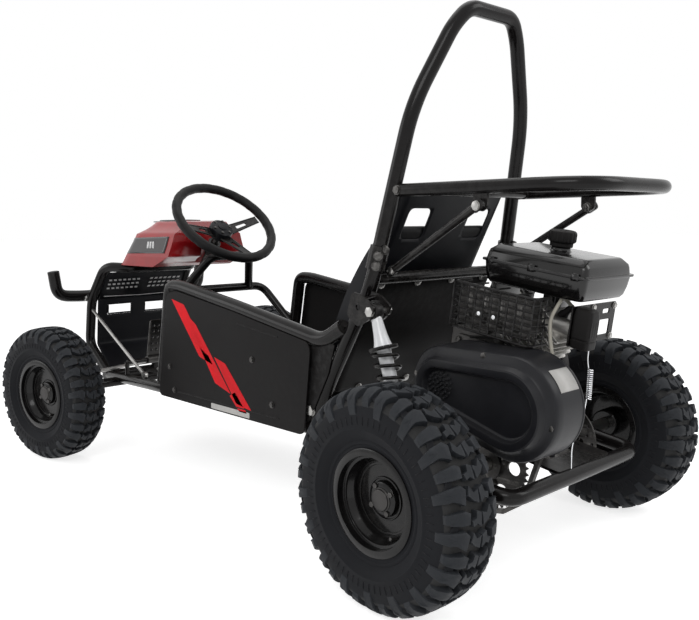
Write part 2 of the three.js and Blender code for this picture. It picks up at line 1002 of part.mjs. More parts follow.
// Front frame: a hoop from the lower rails up and back under the nose
const legRoute = (side) => {
  const foot = railAt(noseX, side);
  return [
    [foot[0], foot[1], foot[2] + tubeRadius / 2],
    [legOutX, foot[1], legOutLevel],
    [legTopX, foot[1], legTopLevel],
    [legEndX, side * (noseHalf + legCrossHalf) * legEndShare, legEndLevel],
    [legCrossX, side * legCrossHalf, legCrossLevel],
  ];
};
const frontHoop = (radius) =>
  without(
    tube([...legRoute(1), ...legRoute(-1).reverse()], radius, tubeBend / 2),
    both((side) => lowerRail(side, tubeRadius + seatGap)),
    noseBeam(tubeRadius + seatGap, 3 * tubeRadius),
  );
add("front_frame", frontHoop(tubeRadius), steelBlack);

// Front bumper: a cross tube ahead of the legs whose ends rise as horns
const bumperX = legTopX + tubeRadius + bumperRadius + seatGap;
const horn = (side) => [
  [bumperX, side * bumperTipHalf, bumperTipLevel],
  [bumperX, side * (bumperTipHalf + bumperShoulder) * hornMidShare, bumperLevel + bumperRadius / 3],
  [bumperX, side * bumperShoulder * hornRootShare, bumperLevel],
];
const bumperLug = (side) =>
  block(
    bumperX - 2 * bumperRadius,
    bumperX,
    side * (noseHalf - tubeRadius),
    side * (noseHalf + tubeRadius),
    bumperLevel - bumperRadius,
    bumperLevel + bumperRadius / 2,
  );
add(
  "front_bumper",
  without(
    joined(
      tube([...horn(1), ...horn(-1).reverse()], bumperRadius, tubeBend * hornBendShare),
      both(bumperLug),
    ),
    frontHoop(tubeRadius + seatGap),
  ),
  steelBlack,
);

// Nose: the black cowl between the legs and the red shell on top of the hoop
const cowlHalf = noseHalf - tubeRadius - 2 * seatGap;
const cowlFace = [
  [noseX + 2 * tubeRadius, noseLevel + tubeRadius],
  [legOutX - tubeRadius, legOutLevel],
  [legTopX - tubeRadius / 2, legTopLevel],
  [legEndX + tubeRadius / 2, legEndLevel - tubeRadius - seatGap],
];
const cowlBack = cowlFace.map(([x, z]) => [x - cowlThick, z]).reverse();
const cowlWindow = (side) =>
  block(noseX, legOutX + overrun, side * windowInner, side * windowOuter, windowLow, windowHigh);
add(
  "nose_cowl",
  without(
    sidePlate([...cowlFace, ...cowlBack], -cowlHalf, cowlHalf),
    both(cowlWindow),
    tube([...legRoute(1), ...legRoute(-1).reverse()], tubeRadius + seatGap, tubeBend / 2),
  ),
  plasticBlack,
);

// The nose as stacked outlines from its shelf to its crown, drawn in by an inset
function noseBody(inset) {
  const low = noseShelfLevel - (inset ? overrun : 0);
  const ringsOf = [
    [low, noseFrontX - inset, noseHeelX + inset, noseBottomHalf - inset],
    [
      noseShelfLevel + noseSkirt,
      noseFrontX - inset - noseSetback,
      noseTailX + inset,
      noseBottomHalf - inset,
    ],
    [noseBrowLevel, noseBrowX - inset, noseTailX + inset - noseShell, noseBottomHalf * browShare - inset],
    [noseCrownLevel - inset, noseCrownX - inset, noseTailX + inset + noseShell, noseTopHalf - inset],
  ];
  const spans = ringsOf.length - 1;
  const outline = (share) => {
    const at = share * spans;
    const i = Math.min(Math.floor(at), spans - 1);
    return ringsOf[i].map((value, k) => value + (ringsOf[i + 1][k] - value) * (at - i));
  };
  const surface = (end) => (along, acrossShare) => {
    const [level, front, rear, half] = outline(along);
    const turn = acrossShare * 2 - 1;
    const swell = Math.sqrt(1 - turn * turn * swellShare);
    const x = end > 0 ? rear + (front - rear) * swell : rear;
    return [x, half * turn, level];
  };
  return between(surface(-1), surface(1), spans, noseColumns);
}

const columnHole = hole(
  onColumn(sleeveAt - 2 * sleeveHalf),
  onColumn(sleeveAt + 4 * sleeveHalf),
  sleeveRadius + overrun,
  pinSides,
);
add(
  "nose_top",
  without(noseBody(0), noseBody(noseShell), columnHole, frontHoop(tubeRadius + seatGap)),
  redGloss,
);

// Floor and its pedals
const floorTop = railLevel + tubeFlat + seatGap + floorThick;
add(
  "floor_pan",
  block(
    floorRear + tubeRadius * 2,
    floorFront,
    -floorHalf,
    floorHalf,
    railLevel + tubeFlat + seatGap,
    floorTop,
  ),
  panelBlack,
);

for (const [name, side] of [
  ["throttle", -1],
  ["brake", 1],
]) {
  const mid = side * pedalHalf;
  const left = mid + pedalWide / 2;
  const right = mid - pedalWide / 2;
  const top = pedalLevel + pedalRise;
  const outline = [
    [pedalX, pedalLevel],
    [pedalX - pedalLean, top],
    [pedalX - pedalLean + pedalThick, top],
    [pedalX + pedalThick, pedalLevel],
  ];
  const pinBore = holeAcross(
    pedalX,
    pedalLevel,
    left + pedalThick,
    right - pedalThick,
    pedalPinRadius + runningGap,
    pinSides,
  );
  add(
    name + "_pedal",
    without(
      joined(
        sidePlate(outline, left, right),
        across(pedalX, pedalLevel, left, right, pedalHubRadius, smallSides),
      ),
      pinBore,
    ),
    bareSteel,
  );
}

// Steering support: the cross hoop, the smaller hoop on it and the column's upper sleeve
const supportLeg = (side) => [
  [hoopX, side * supportFootHalf, hoopLevel],
  [supportX, side * supportHalf, supportLevel],
];
const hoopLeg = (side) => [
  [hoopFootX, side * (frameHalf - sideRadius - seatGap), hoopFootLevel],
  [hoopX, side * hoopHalf, hoopLevel],
];
const sleeveTop = onColumn(sleeveAt - sleeveHalf);
const sleeveLow = onColumn(sleeveAt + sleeveHalf);
add(
  "steering_support",
  without(
    joined(
      tube([...hoopLeg(1), ...hoopLeg(-1).reverse()], supportRadius, tubeBend / 2),
      tube([...supportLeg(1), ...supportLeg(-1).reverse()], supportRadius, tubeBend / 3),
      bar([supportX, 0, supportLevel], onColumn(sleeveAt), supportRadius * lightShare, smallSides),
      bar(sleeveTop, sleeveLow, sleeveRadius, smallSides),
    ),
    hole(onColumn(0), onColumn(sleeveAt * 2), columnRadius + runningGap, smallSides),
    both((side) => sideRoute(side, sideRadius + seatGap)),
  ),
  steelBlack,
);

// Steering wheel and column, turned together about the column's axis
const column = new THREE.Group();
column.position.set(wheelX, 0, wheelLevel);
column.rotation.set(0, tilt - Math.PI / 2, steer * columnRatio);
kart.add(column);

const rim = new THREE.TorusGeometry(wheelRadius, gripRadius, smallSides, wheelSides);
const spoke = (turn) => {
  const out = [Math.cos(turn) * wheelRadius, Math.sin(turn) * wheelRadius];
  const root = [
    Math.cos(turn) * hubPadRadius * spokeRootShare,
    Math.sin(turn) * hubPadRadius * spokeRootShare,
  ];
  const skew = [(-Math.sin(turn) * spokeWide) / 2, (Math.cos(turn) * spokeWide) / 2];
  const corner = (base, level, way) => [base[0] + skew[0] * way, base[1] + skew[1] * way, level];
  const surface = (lift) => (along, acrossShare) => {
    const base = along > 0 ? out : root;
    const level = along > 0 ? -gripRadius * spokeSinkShare : -hubDrop;
    const narrow = along > 0 ? spokeTipShare : 1;
    return corner(base, level + lift, (acrossShare * 2 - 1) * narrow);
  };
  return between(surface(spokeThick / 2), surface(-spokeThick / 2), 1, 1);
};
const spokeTurns = [1, 2, 3].map((quarter) => (quarter * Math.PI) / 2 - toRadians(spokeLag));
add(
  "steering_wheel",
  without(
    joined(
      solid(rim),
      spokeTurns.map(spoke),
      bar([0, 0, -hubDrop - spokeThick], [0, 0, hubPadHeight - hubDrop], hubPadRadius, roundSides),
    ),
    hole([0, 0, -hubDrop * 2], [0, 0, -hubDrop + spokeThick], columnRadius + seatGap, smallSides),
  ),
  steelBlack,
  column,
);
const columnFoot = -pitmanAt - 2 * armRadius - sleeveHalf;
add(
  "steering_column",
  joined(
    bar([0, 0, -hubDrop + spokeThick - seatGap], [0, 0, columnFoot], columnRadius, smallSides),
    block(
      -pitmanReach - armRadius,
      0,
      -armRadius,
      armRadius,
      -pitmanAt - armRadius / 2,
      -pitmanAt + armRadius / 2,
    ),
    bar(
      [-pitmanReach, 0, -pitmanAt - armRadius],
      [-pitmanReach, 0, -pitmanAt + armRadius],
      kingpinRadius,
      pinSides,
    ),
  ),
  bareSteel,
  column,
);

// Wheels: a tyre carcass open towards its rim, and a dished rim
const toeShare = 0.06;
const bulgeShare = 0.42;
const shoulderShare = 0.86;
const crownShare = 0.6;
const flankShare = 0.94;
const wellShare = 0.35;

function tyreSection(radius, half, rimRadius, rimHalf) {
  const seat = rimRadius - rimStep + seatGap;
  const toe = rimHalf - rimWall - seatGap;
  const tall = radius - rimRadius;
  const outer = [
    [seat, toe],
    [rimRadius + tall * toeShare, toe],
    [rimRadius + tall * bulgeShare, half],
    [rimRadius + tall * shoulderShare, half * flankShare],
    [radius, half * crownShare],
  ];
  const inner = [
    [seat, toe - tyreWall],
    [radius - tyreWall - treadDepth, half * crownShare],
  ];
  const mirrored = (points) => points.map(([r, y]) => [r, -y]);
  return [...outer, ...mirrored(outer).reverse(), ...mirrored(inner), ...[...inner].reverse()];
}

function rimBody(radius, half, out) {
  const seat = radius - rimStep;
  const well = seat - rimWell;
  const outer = (way) => [
    [radius, way * half],
    [radius, way * (half - rimWall)],
    [seat, way * (half - rimWall)],
    [well, way * half * wellShare],
  ];
  const barrel = [
    ...outer(1),
    ...outer(-1).reverse(),
    [seat - rimWall, -half],
    [well - rimWall, -half * wellShare],
    [well - rimWall, half * wellShare],
    [seat - rimWall, half],
  ];
  const disc = across(0, 0, out * discInset, out * (discInset + rimWall), well - rimWall / 2, wheelSides);
  const hub = across(0, 0, -hubHalf, hubHalf, hubRadius, roundSides);
  const bore = holeAcross(0, 0, -hubHalf * 2, hubHalf * 2, axleRadius + seatGap, smallSides);
  return without(joined(turned(barrel), disc, hub), bore);
}

// Front corners: spindle, wheel and tie rod
const bushLength = forkHeight - runningGap;
const armLevel = frontAxleLevel + bushLength / 2;
for (const [name, side] of sides) {
  const corner = new THREE.Group();
  corner.position.set(wheelbase, side * kingpinHalf, 0);
  corner.rotation.z = steer;
  kart.add(corner);
  const stubEnd = side * (spindleReach + hubHalf + axleTail);
  add(
    "spindle_" + name,
    without(
      joined(
        bar(
          [0, 0, frontAxleLevel - bushLength],
          [0, 0, frontAxleLevel + bushLength],
          kingpinSleeve,
          smallSides,
        ),
        across(0, frontAxleLevel, side * axleRadius, stubEnd, axleRadius, smallSides),
        across(
          0,
          frontAxleLevel,
          side * axleRadius,
          side * (spindleReach - hubHalf - runningGap),
          axleRadius + axleTail,
          smallSides,
        ),
        block(-armReach - armRadius, 0, -armRadius, armRadius, armLevel, armLevel + armRadius),
        bar([-armReach, 0, armLevel], [-armReach, 0, rodLevel + armRadius], studRadius, pinSides),
      ),
      hole([0, 0, 0], [0, 0, frontAxleLevel * 2], kingpinRadius + runningGap, pinSides),
    ),
    bareSteel,
    corner,
  );
  const wheel = new THREE.Group();
  wheel.position.set(0, side * spindleReach, frontAxleLevel);
  corner.add(wheel);
  add("front_rim_" + name, rimBody(frontRimRadius, frontRimHalf, side), steelBlack, wheel);
  const carcass = turned(tyreSection(frontTyreRadius, frontTyreHalf, frontRimRadius, frontRimHalf));
  add("front_tyre_" + name, carcass, rubber, wheel);
  const eye = [
    wheelbase - armReach * Math.cos(steer),
    side * kingpinHalf - armReach * Math.sin(steer),
    rodLevel,
  ];
  const pitmanTurn = steer * columnRatio;
  const ball = [
    onColumn(pitmanAt)[0] - pitmanReach * Math.cos(pitmanTurn) * Math.sin(tilt),
    -pitmanReach * Math.sin(pitmanTurn) + side * rodShort,
    rodLevel,
  ];
  add(
    "tie_rod_" + name,
    without(
      joined(
        bar(
          [eye[0], eye[1], rodLevel - rodEndRadius / 2],
          [eye[0], eye[1], rodLevel + rodEndRadius / 2],
          rodEndRadius,
          smallSides,
        ),
        bar(eye, ball, rodRadius, smallSides),
      ),
      hole([eye[0], eye[1], 0], [eye[0], eye[1], rodLevel * 2], studRadius + runningGap, pinSides),
    ),
    bareSteel,
  );
}

// Swing arm and all that it carries, measured along it and above it from its pivot
const arm = new THREE.Group();
arm.position.set(pivotX, 0, pivotLevel);
arm.rotation.y = -armTilt;
kart.add(arm);

// A point of the kart seen from the swing arm
function fromArm(x, level) {
  const along = x - pivotX;
  const up = level - pivotLevel;
  return [
    along * Math.cos(armTilt) + up * Math.sin(armTilt),
    up * Math.cos(armTilt) - along * Math.sin(armTilt),
  ];
}
const armLength = Math.hypot(pivotX - armRearX, pivotLevel - armRearLevel);
const [axleAt, axleRise] = fromArm(0, rearAxleLevel);
const [footAt, footRise] = fromArm(shockFootX, shockFootLevel);
const plateTop = beamRadius + plateThick / 2;
const armLoop = [
  [0, pivotHalf, 0],
  [-armNeck, pivotHalf, 0],
  [-armShoulder, armHalf, 0],
  [-armLength, armHalf, 0],
  [-armLength, -armHalf, 0],
  [-armShoulder, -armHalf, 0],
  [-armNeck, -pivotHalf, 0],
  [0, -pivotHalf, 0],
];
const shockFoot = (side) => {
  const inner = side * (armHalf + tubeRadius / 2);
  const outer = side * (shockHalf + shockEyeHalf + runningGap);
  const outline = [
    [footAt - shockEyeRadius, 0],
    [footAt - shockPinRadius * 2, footRise + shockPinRadius * 1.5],
    [footAt + shockPinRadius * 2, footRise + shockPinRadius * 1.5],
    [footAt + shockEyeRadius, 0],
  ];
  return joined(
    sidePlate(outline, inner, inner + side * shockEarThick),
    across(footAt, footRise, inner, outer + side * shockEarThick, shockPinRadius, pinSides),
    across(footAt, footRise, outer, outer + side * shockEarThick, shockPinRadius * 2, pinSides),
  );
};
const pivotTube = (side) =>
  across(
    0,
    0,
    side * (pivotHalf - tubeRadius),
    side * (pivotHalf + tubeRadius),
    pivotSleeve,
    roundSides / 2,
  );
const bearing = (side) =>
  across(
    axleAt,
    axleRise,
    side * (armHalf - bearingHalf),
    side * (armHalf + bearingHalf),
    bearingRadius,
    roundSides,
  );
add(
  "swing_arm",
  without(
    joined(
      tube(armLoop, tubeRadius, armBend),
      across(plateFront - beamRadius, 0, -armHalf, armHalf, beamRadius, tubeSides),
      block(-armLength, plateFront, -plateRight, plateLeft, plateTop - plateThick, plateTop),
      both(shockFoot),
      both(pivotTube),
      both(bearing),
    ),
    holeAcross(0, 0, -frameHalf * 2, frameHalf * 2, pivotPinRadius + runningGap, roundSides),
    holeAcross(axleAt, axleRise, -frameHalf * 2, frameHalf * 2, axleRadius + runningGap, smallSides * 2),
  ),
  steelBlack,
  arm,
);

// Rear axle with its sprocket, disc and wheels
const rear = new THREE.Group();
rear.position.set(0, 0, rearAxleLevel);
kart.add(rear);
const axleHalf = rearHalfTrack + hubHalf + axleTail;
add("rear_axle", across(0, 0, -axleHalf, axleHalf, axleRadius, smallSides * 2), bareSteel, rear);

const windows = (count, at, radius, y0, y1) =>
  Array.from({ length: count }, (_, i) => {
    const turn = (2 * Math.PI * i) / count;
    return across(at * Math.cos(turn), at * Math.sin(turn), y0, y1, radius, pinSides);
  });
add(
  "axle_sprocket",
  without(
    joined(
      across(
        0,
        0,
        chainPlane - sprocketThick / 2,
        chainPlane + sprocketThick / 2,
        sprocketRadius,
        roundSides,
      ),
      across(0, 0, chainPlane - 2 * sprocketThick, chainPlane + 2 * sprocketThick, hubRadius, roundSides),
    ),
    windows(
      sprocketWindows,
      sprocketWeb,
      sprocketWindow,
      chainPlane - sprocketThick,
      chainPlane + sprocketThick,
    ),
    holeAcross(0, 0, 0, chainPlane * 2, axleRadius + seatGap, smallSides * 2),
  ),
  bareSteel,
  rear,
);
add(
  "brake_disc",
  without(
    joined(
      across(0, 0, discPlane - discThick / 2, discPlane + discThick / 2, discRadius, roundSides),
      across(0, 0, discPlane - 2 * discThick, discPlane + 2 * discThick, hubRadius, roundSides),
    ),
    holeAcross(0, 0, discPlane * 2, 0, axleRadius + seatGap, smallSides * 2),
  ),
  bareSteel,
  rear,
);
for (const [name, side] of sides) {
  const wheel = new THREE.Group();
  wheel.position.set(0, side * rearHalfTrack, 0);
  rear.add(wheel);
  add("rear_rim_" + name, rimBody(rearRimRadius, rearRimHalf, side), steelBlack, wheel);
  const carcass = turned(tyreSection(rearTyreRadius, rearTyreHalf, rearRimRadius, rearRimHalf));
  add("rear_tyre_" + name, carcass, rubber, wheel);
}
const caliperTop = axleRise + caliperRise + caliperTall;
const caliperFront = axleAt + caliperAhead + caliperWide;
add(
  "brake_caliper",
  without(
    joined(
      block(
        caliperFront - caliperWide,
        caliperFront,
        discPlane - caliperDeep / 2,
        discPlane + caliperDeep / 2,
        caliperTop - caliperTall,
        caliperTop,
      ),
      block(
        caliperFront - caliperWide / 2,
        caliperFront,
        tubeFlat + seatGap - armHalf,
        discPlane - caliperDeep / 4,
        -tubeRadius / 2,
        caliperTop - caliperTall / 2,
      ),
    ),
    holeAcross(
      axleAt,
      axleRise,
      discPlane - discThick,
      discPlane + discThick,
      discRadius + 2 * runningGap,
      roundSides,
    ),
  ),
  castAlloy,
  arm,
);

// Shocks: body on the upper pin, rod on the lower one, a coil between their seats
const shockLean = Math.atan2(shockTopX - shockFootX, shockTopLevel - shockFootLevel);
const shockLength = Math.hypot(shockTopX - shockFootX, shockTopLevel - shockFootLevel);

function springGeometry() {
  const top = -collarAt - collarThick - seatGap;
  const low = -shockLength + perchRise + collarThick + seatGap;
  const positions = [];
  const index = [];
  const straight = 1;
  const count = springCurls * springSteps + 1 + 2 * straight;
  const centres = [];
  for (let i = -straight; i < count - straight; i += 1) {
    const share = THREE.MathUtils.clamp(i / (springCurls * springSteps), 0, 1);
    const turn = share * springCurls * 2 * Math.PI;
    const level = top - springWire - (top - low - 2 * springWire) * share;
    const centre = new THREE.Vector3(springRadius * Math.cos(turn), springRadius * Math.sin(turn), level);
    const beyond = i < 0 ? i : Math.max(0, i - springCurls * springSteps);
    centre.addScaledVector(new THREE.Vector3(-Math.sin(turn), Math.cos(turn), 0), beyond * springWire * 2);
    centres.push(centre);
  }
  centres.forEach((centre, i) => {
    const ahead = centres[Math.min(i + 1, count - 1)];
    const behind = centres[Math.max(i - 1, 0)];
    const along = ahead.clone().sub(behind).normalize();
    const out = new THREE.Vector3(centre.x, centre.y, 0);
    out.addScaledVector(along, -centre.dot(along)).normalize();
    const lift = along.clone().cross(out);
    for (let k = 0; k < springSides; k += 1) {
      const turn = (2 * Math.PI * k) / springSides;
      const point = centre
        .clone()
        .addScaledVector(out, springWire * Math.cos(turn))
        .addScaledVector(lift, springWire * Math.sin(turn));
      positions.push(...point);
    }
  });
  for (let i = 0; i + 1 < count; i += 1) {
    for (let k = 0; k < springSides; k += 1) {
      const a = i * springSides + k;
      const b = i * springSides + ((k + 1) % springSides);
      index.push(a, b, b + springSides, a, b + springSides, a + springSides);
    }
  }
  for (let k = 1; k + 1 < springSides; k += 1) {
    index.push(0, k + 1, k);
    const last = (count - 1) * springSides;
    index.push(last, last + k, last + k + 1);
  }
  const geometry = new THREE.BufferGeometry();
  geometry.setAttribute("position", new THREE.Float32BufferAttribute(positions, 3));
  geometry.setIndex(index);
  return geometry;
}
const springShape = solid(springGeometry());

for (const [name, side] of sides) {
  const shock = new THREE.Group();
  shock.position.set(shockTopX, side * shockHalf, shockTopLevel);
  shock.rotation.y = shockLean;
  kart.add(shock);
  const eye = (level, slack) => {
    const ears = [side * (shockEyeHalf - runningGap), -side * (shockEyeHalf - runningGap)];
    return [
      across(0, level, ears[0], ears[1], shockEyeRadius, roundSides / 2),
      holeAcross(0, level, ears[0] * 2, ears[1] * 2, shockPinRadius + slack, roundSides / 2),
    ];
  };
  const [topEye, topBore] = eye(0, runningGap);
  add(
    "shock_body_" + name,
    without(
      joined(
        topEye,
        bar([0, 0, -shockEyeRadius * flareShare], [0, 0, -collarAt], flareTop, roundSides / 2, flareFoot),
        bar([0, 0, -collarAt], [0, 0, -collarAt - collarThick], collarRadius, roundSides),
        bar([0, 0, -collarAt - collarThick], [0, 0, -bodyLength], bodyRadius, roundSides / 2),
      ),
      topBore,
      hole([0, 0, -bodyLength - overrun], [0, 0, shaftRoom - collarAt], shaftRadius + runningGap, pinSides),
    ),
    shockWhite,
    shock,
  );
  const [lowEye, lowBore] = eye(-shockLength, shockEyeSlack);
  const perch = -shockLength + perchRise;
  add(
    "shock_rod_" + name,
    without(
      joined(
        lowEye,
        bar([0, 0, perch], [0, 0, -shockLength + shockPinRadius + shockEyeSlack], bodyRadius, smallSides),
        bar([0, 0, perch], [0, 0, perch + collarThick], perchRadius, roundSides),
        bar([0, 0, perch], [0, 0, -collarAt - collarThick * 2], shaftRadius, pinSides),
      ),
      lowBore,
    ),
    bareSteel,
    shock,
  );
  add("shock_spring_" + name, springShape, steelBlack, shock);
}

// Chain from the axle's sprocket to the small one on the jackshaft
const jackAt = crankAt - coverSpread;
const jackRise = crankRise;
const chainRing = (y0, y1) => {
  const outer = chainHeight;
  return without(
    sidePlate(
      raceTrack(axleAt, axleRise, sprocketRadius + outer, jackAt, jackRise, smallSprocketRadius + outer),
      y0,
      y1,
    ),
    sidePlate(
      raceTrack(
        axleAt,
        axleRise,
        sprocketRadius + chainPlay,
        jackAt,
        jackRise,
        smallSprocketRadius + chainPlay,
      ),
      y0 - overrun,
      y1 + overrun,
    ),
  );
};
add("drive_chain", chainRing(chainPlane - chainThick / 2, chainPlane + chainThick / 2), bareSteel, arm);

// Belt drive: pulleys on the crankshaft and the jackshaft, the belt and the cover over them
const grooved = (at, rise, radius) =>
  joined(
    across(at, rise, sheaveFrom, beltInner - runningGap - beltThick / 2, radius, roundSides),
    across(at, rise, sheaveFrom, sheaveTo, sheaveCore, roundSides),
    across(at, rise, beltOuter + runningGap + beltThick / 2, sheaveTo, radius, roundSides),
  );
add(
  "drive_pulley",
  joined(
    grooved(crankAt, crankRise, driverRadius),
    across(crankAt, crankRise, blockLeft - 2 * crankRadius, sheaveFrom, crankRadius, smallSides * 2),
  ),
  bareSteel,
  arm,
);
add(
  "driven_pulley",
  joined(
    grooved(jackAt, jackRise, drivenRadius),
    across(jackAt, jackRise, chainPlane - chainThick, sheaveFrom, jackRadius, smallSides * 2),
    across(
      jackAt,
      jackRise,
      chainPlane - sprocketThick / 2,
      chainPlane + sprocketThick / 2,
      smallSprocketRadius,
      roundSides,
    ),
  ),
  bareSteel,
  arm,
);
const beltPath = (lift) =>
  raceTrack(
    crankAt,
    crankRise,
    driverRadius - beltThick * 1.5 + lift,
    jackAt,
    jackRise,
    drivenRadius - beltThick * 1.5 + lift,
  );
add(
  "drive_belt",
  without(
    sidePlate(beltPath(beltThick), beltInner - beltThick / 2, beltOuter + beltThick / 2),
    sidePlate(beltPath(0), 0, beltOuter * 2),
  ),
  rubber,
  arm,
);
const coverPath = (inset) =>
  raceTrack(crankAt, crankRise, coverFrontRadius - inset, jackAt, jackRise, coverRearRadius - inset);
const shoulderAt = coverOuter - coverShoulder;
const coverSkin = (inset) =>
  joined(
    sidePlate(coverPath(inset), coverInner, shoulderAt - inset),
    sidePlate(coverPath(coverShoulder + inset), coverInner, coverOuter - ridgeStep - inset),
  );
add(
  "drive_cover",
  without(
    joined(
      coverSkin(0),
      sidePlate(coverPath(coverShoulder * 1.5), shoulderAt, coverOuter),
    ),
    sidePlate(coverPath(coverShoulder * 1.5 + ridgeWide), coverOuter - ridgeStep, coverOuter + overrun),
    coverSkin(coverWall),
    block(jackAt * 2, 0, coverInner - overrun, coverInner + coverWall, -jackRise, crankRise * 3),
  ),
  plasticBlack,
  arm,
);

// Engine: a block on the arm's plate, the leaning cylinder head and what is bolted to them
const base = plateTop + seatGap;
const lean = toRadians(headLean);
const onDeck = (shift, from = headFrom - seatGap) => [
  crankAt - from * Math.cos(lean) + shift * Math.sin(lean),
  crankRise + from * Math.sin(lean) + shift * Math.cos(lean),
];
const deckRear = onDeck(((headFrom - seatGap) * Math.cos(lean) - blockRear) / Math.sin(lean));
const deckFront = onDeck(deckHalf);
const blockOutline = [
  [crankAt - blockRear, base],
  [crankAt + blockFront, base],
  [crankAt + blockFront, deckFront[1]],
  deckFront,
  deckRear,
];
const padTop = guardLow - seatGap;
add(
  "engine_block",
  without(
    joined(
      sidePlate(blockOutline, -blockRight, blockLeft),
      block(
        deckFront[0],
        crankAt + blockFront / 2,
        guardInner - 2 * padInset,
        blockLeft,
        crankRise,
        padTop,
      ),
      across(crankAt, crankRise, 0, coverInner - seatGap, spacerRadius, roundSides),
      sidePlate(coverPath(0), coverInner - seatGap - backThick, coverInner - seatGap),
    ),
    holeAcross(
      crankAt,
      crankRise,
      blockLeft - 2 * crankRadius - overrun,
      sheaveFrom,
      crankRadius + runningGap,
      smallSides * 2,
    ),
    holeAcross(jackAt, jackRise, chainPlane, sheaveFrom, jackRadius + runningGap, smallSides * 2),
  ),
  castAlloy,
  arm,
);

// A box of the cylinder head's frame, whose Z runs along the cylinder from the block
const headBlock = (x, y0, y1, z0, z1) => {
  const [at, rise] = onDeck(0, headFrom);
  const geometry = boxGeometry(-x, x, y0, y1, z0, z1);
  geometry.rotateY(lean - Math.PI / 2);
  geometry.translate(at, 0, rise);
  return solid(geometry);
};
const headRight = headOffset - headTall / 2;
const headLeft = headOffset + headTall / 2;
const finPitch = (headLength - finDeep) / finCount;
const fins = Array.from({ length: finCount }, (_, i) => {
  const at = finDeep + finPitch * i;
  return headBlock(headWide / 2, headRight, headLeft, at, at + finThick);
});
const headCore = headBlock(headWide / 2 - finDeep, headRight + finDeep, headLeft - finDeep, 0, headLength);
add("cylinder_head", joined(headCore, fins), castAlloy, arm);
const headClear = headBlock(
  headWide / 2 + seatGap,
  headRight - seatGap,
  headLeft + seatGap,
  0,
  headLength + seatGap,
);

// The tank's two stays: one stands on the block, the other on the cylinder head
const tankFoot = tankRise - tankLower;
const tankStays = () => [
  block(
    crankAt + blockFront / 3,
    crankAt + blockFront / 2,
    capSide - tankLower,
    capSide + tankLower,
    deckFront[1] + seatGap,
    tankFoot + tankDraft,
  ),
  block(
    crankAt - blockFront,
    crankAt - blockFront - tankUpper,
    headRight + finDeep,
    capSide + tankLower,
    tankFoot - tankUpper,
    tankFoot + tankDraft,
  ).subtract(headClear),
];

// Fuel tank: two pressed halves joined at a flange, its neck and its cap
const tankRearAt = tankFrontAt - tankLength;
const tankHalf = (level, inset) => (along, acrossShare) => [
  tankFrontAt - inset - (tankLength - 2 * inset) * along,
  tankLeft - inset - (tankLeft + tankRight - 2 * inset) * acrossShare,
  level,
];
const flangeTop = tankRise + tankFlangeThick;
add(
  "fuel_tank",
  joined(
    between(tankHalf(flangeTop + tankUpper, tankDraft), tankHalf(tankRise, 0), 1, 1),
    between(tankHalf(flangeTop, 0), tankHalf(tankRise - tankLower, tankDraft), 1, 1),
    block(
      tankRearAt - tankFlange,
      tankFrontAt + tankFlange,
      -tankRight - tankFlange,
      tankLeft + tankFlange,
      tankRise,
      flangeTop,
    ),
    bar(
      [capAt, capSide, flangeTop],
      [capAt, capSide, flangeTop + tankUpper + neckHeight],
      neckRadius,
      roundSides,
    ),
    tankStays(),
  ),
  steelBlack,
  arm,
);
const capLow = flangeTop + tankUpper + neckHeight + seatGap;
add(
  "fuel_cap",
  joined(
    bar([capAt, capSide, capLow], [capAt, capSide, capLow + capHeight], capFootRadius, smallSides),
    bar(
      [capAt, capSide, capLow + capHeight / 4],
      [capAt, capSide, capLow + (3 * capHeight) / 4],
      capRadius,
      roundSides,
    ),
  ),
  plasticBlack,
  arm,
);

// Muffler and the guard round it
const guardRearAt = guardFrontAt - guardLength;
const guardBox = (inset, inner) =>
  block(
    guardRearAt + inset,
    guardFrontAt - inset,
    inner,
    guardOuter - inset,
    guardLow + inset,
    guardHigh - inset,
  );
const guardWindows = () => {
  const wide = (guardLength - guardWire) / guardAcross;
  const tall = (guardHigh - guardLow - guardWire) / guardDown;
  const made = [];
  for (let i = 0; i < guardAcross; i += 1) {
    for (let j = 0; j < guardDown; j += 1) {
      const at = guardRearAt + guardWire + wide * i;
      const low = guardLow + guardWire + tall * j;
      made.push(block(
        at,
        at + wide - guardWire,
        guardOuter - overrun,
        guardOuter + overrun,
        low,
        low + tall - guardWire,
      ));
    }
  }
  return made;
};
add(
  "muffler_guard",
  without(guardBox(0, guardInner), guardBox(guardThick, guardInner - overrun), guardWindows()),
  steelBlack,
  arm,
);
const [portAt, portRise] = onDeck(portShift, headFrom + headLength * portShare);
add(
  "muffler",
  joined(
    guardBox(mufflerInset, guardInner + mufflerInset),
    across(portAt, portRise, headLeft + seatGap, guardInner + 2 * mufflerInset, portRadius, smallSides),
  ),
  castAlloy,
  arm,
);

// Air filter box and the slotted bracket it is fixed to
const bracketAt = filterAt + filterLength;
const slot = (low, tall) =>
  block(bracketAt - overrun, bracketAt + overrun, slotInner, slotOuter, low, low + tall);
add(
  "air_filter_box",
  without(
    joined(
      block(filterAt, bracketAt, filterRight, filterLeft, filterLow, filterHigh),
      block(bracketAt - bracketThick, bracketAt, bracketRight, filterLeft, filterLow, filterHigh),
      bar(
        [bracketAt - bracketThick, (filterLeft + filterRight) / 2, intakeRise],
        [bracketAt + headLength / 2, (filterLeft + filterRight) / 2, intakeRise],
        neckRadius,
        smallSides,
      ),
    ),
    headClear,
    slot(slotLow, slotTall),
    slot(slotLow + 2 * slotTall, slotTall / 2),
  ),
  plasticBlack,
  arm,
);

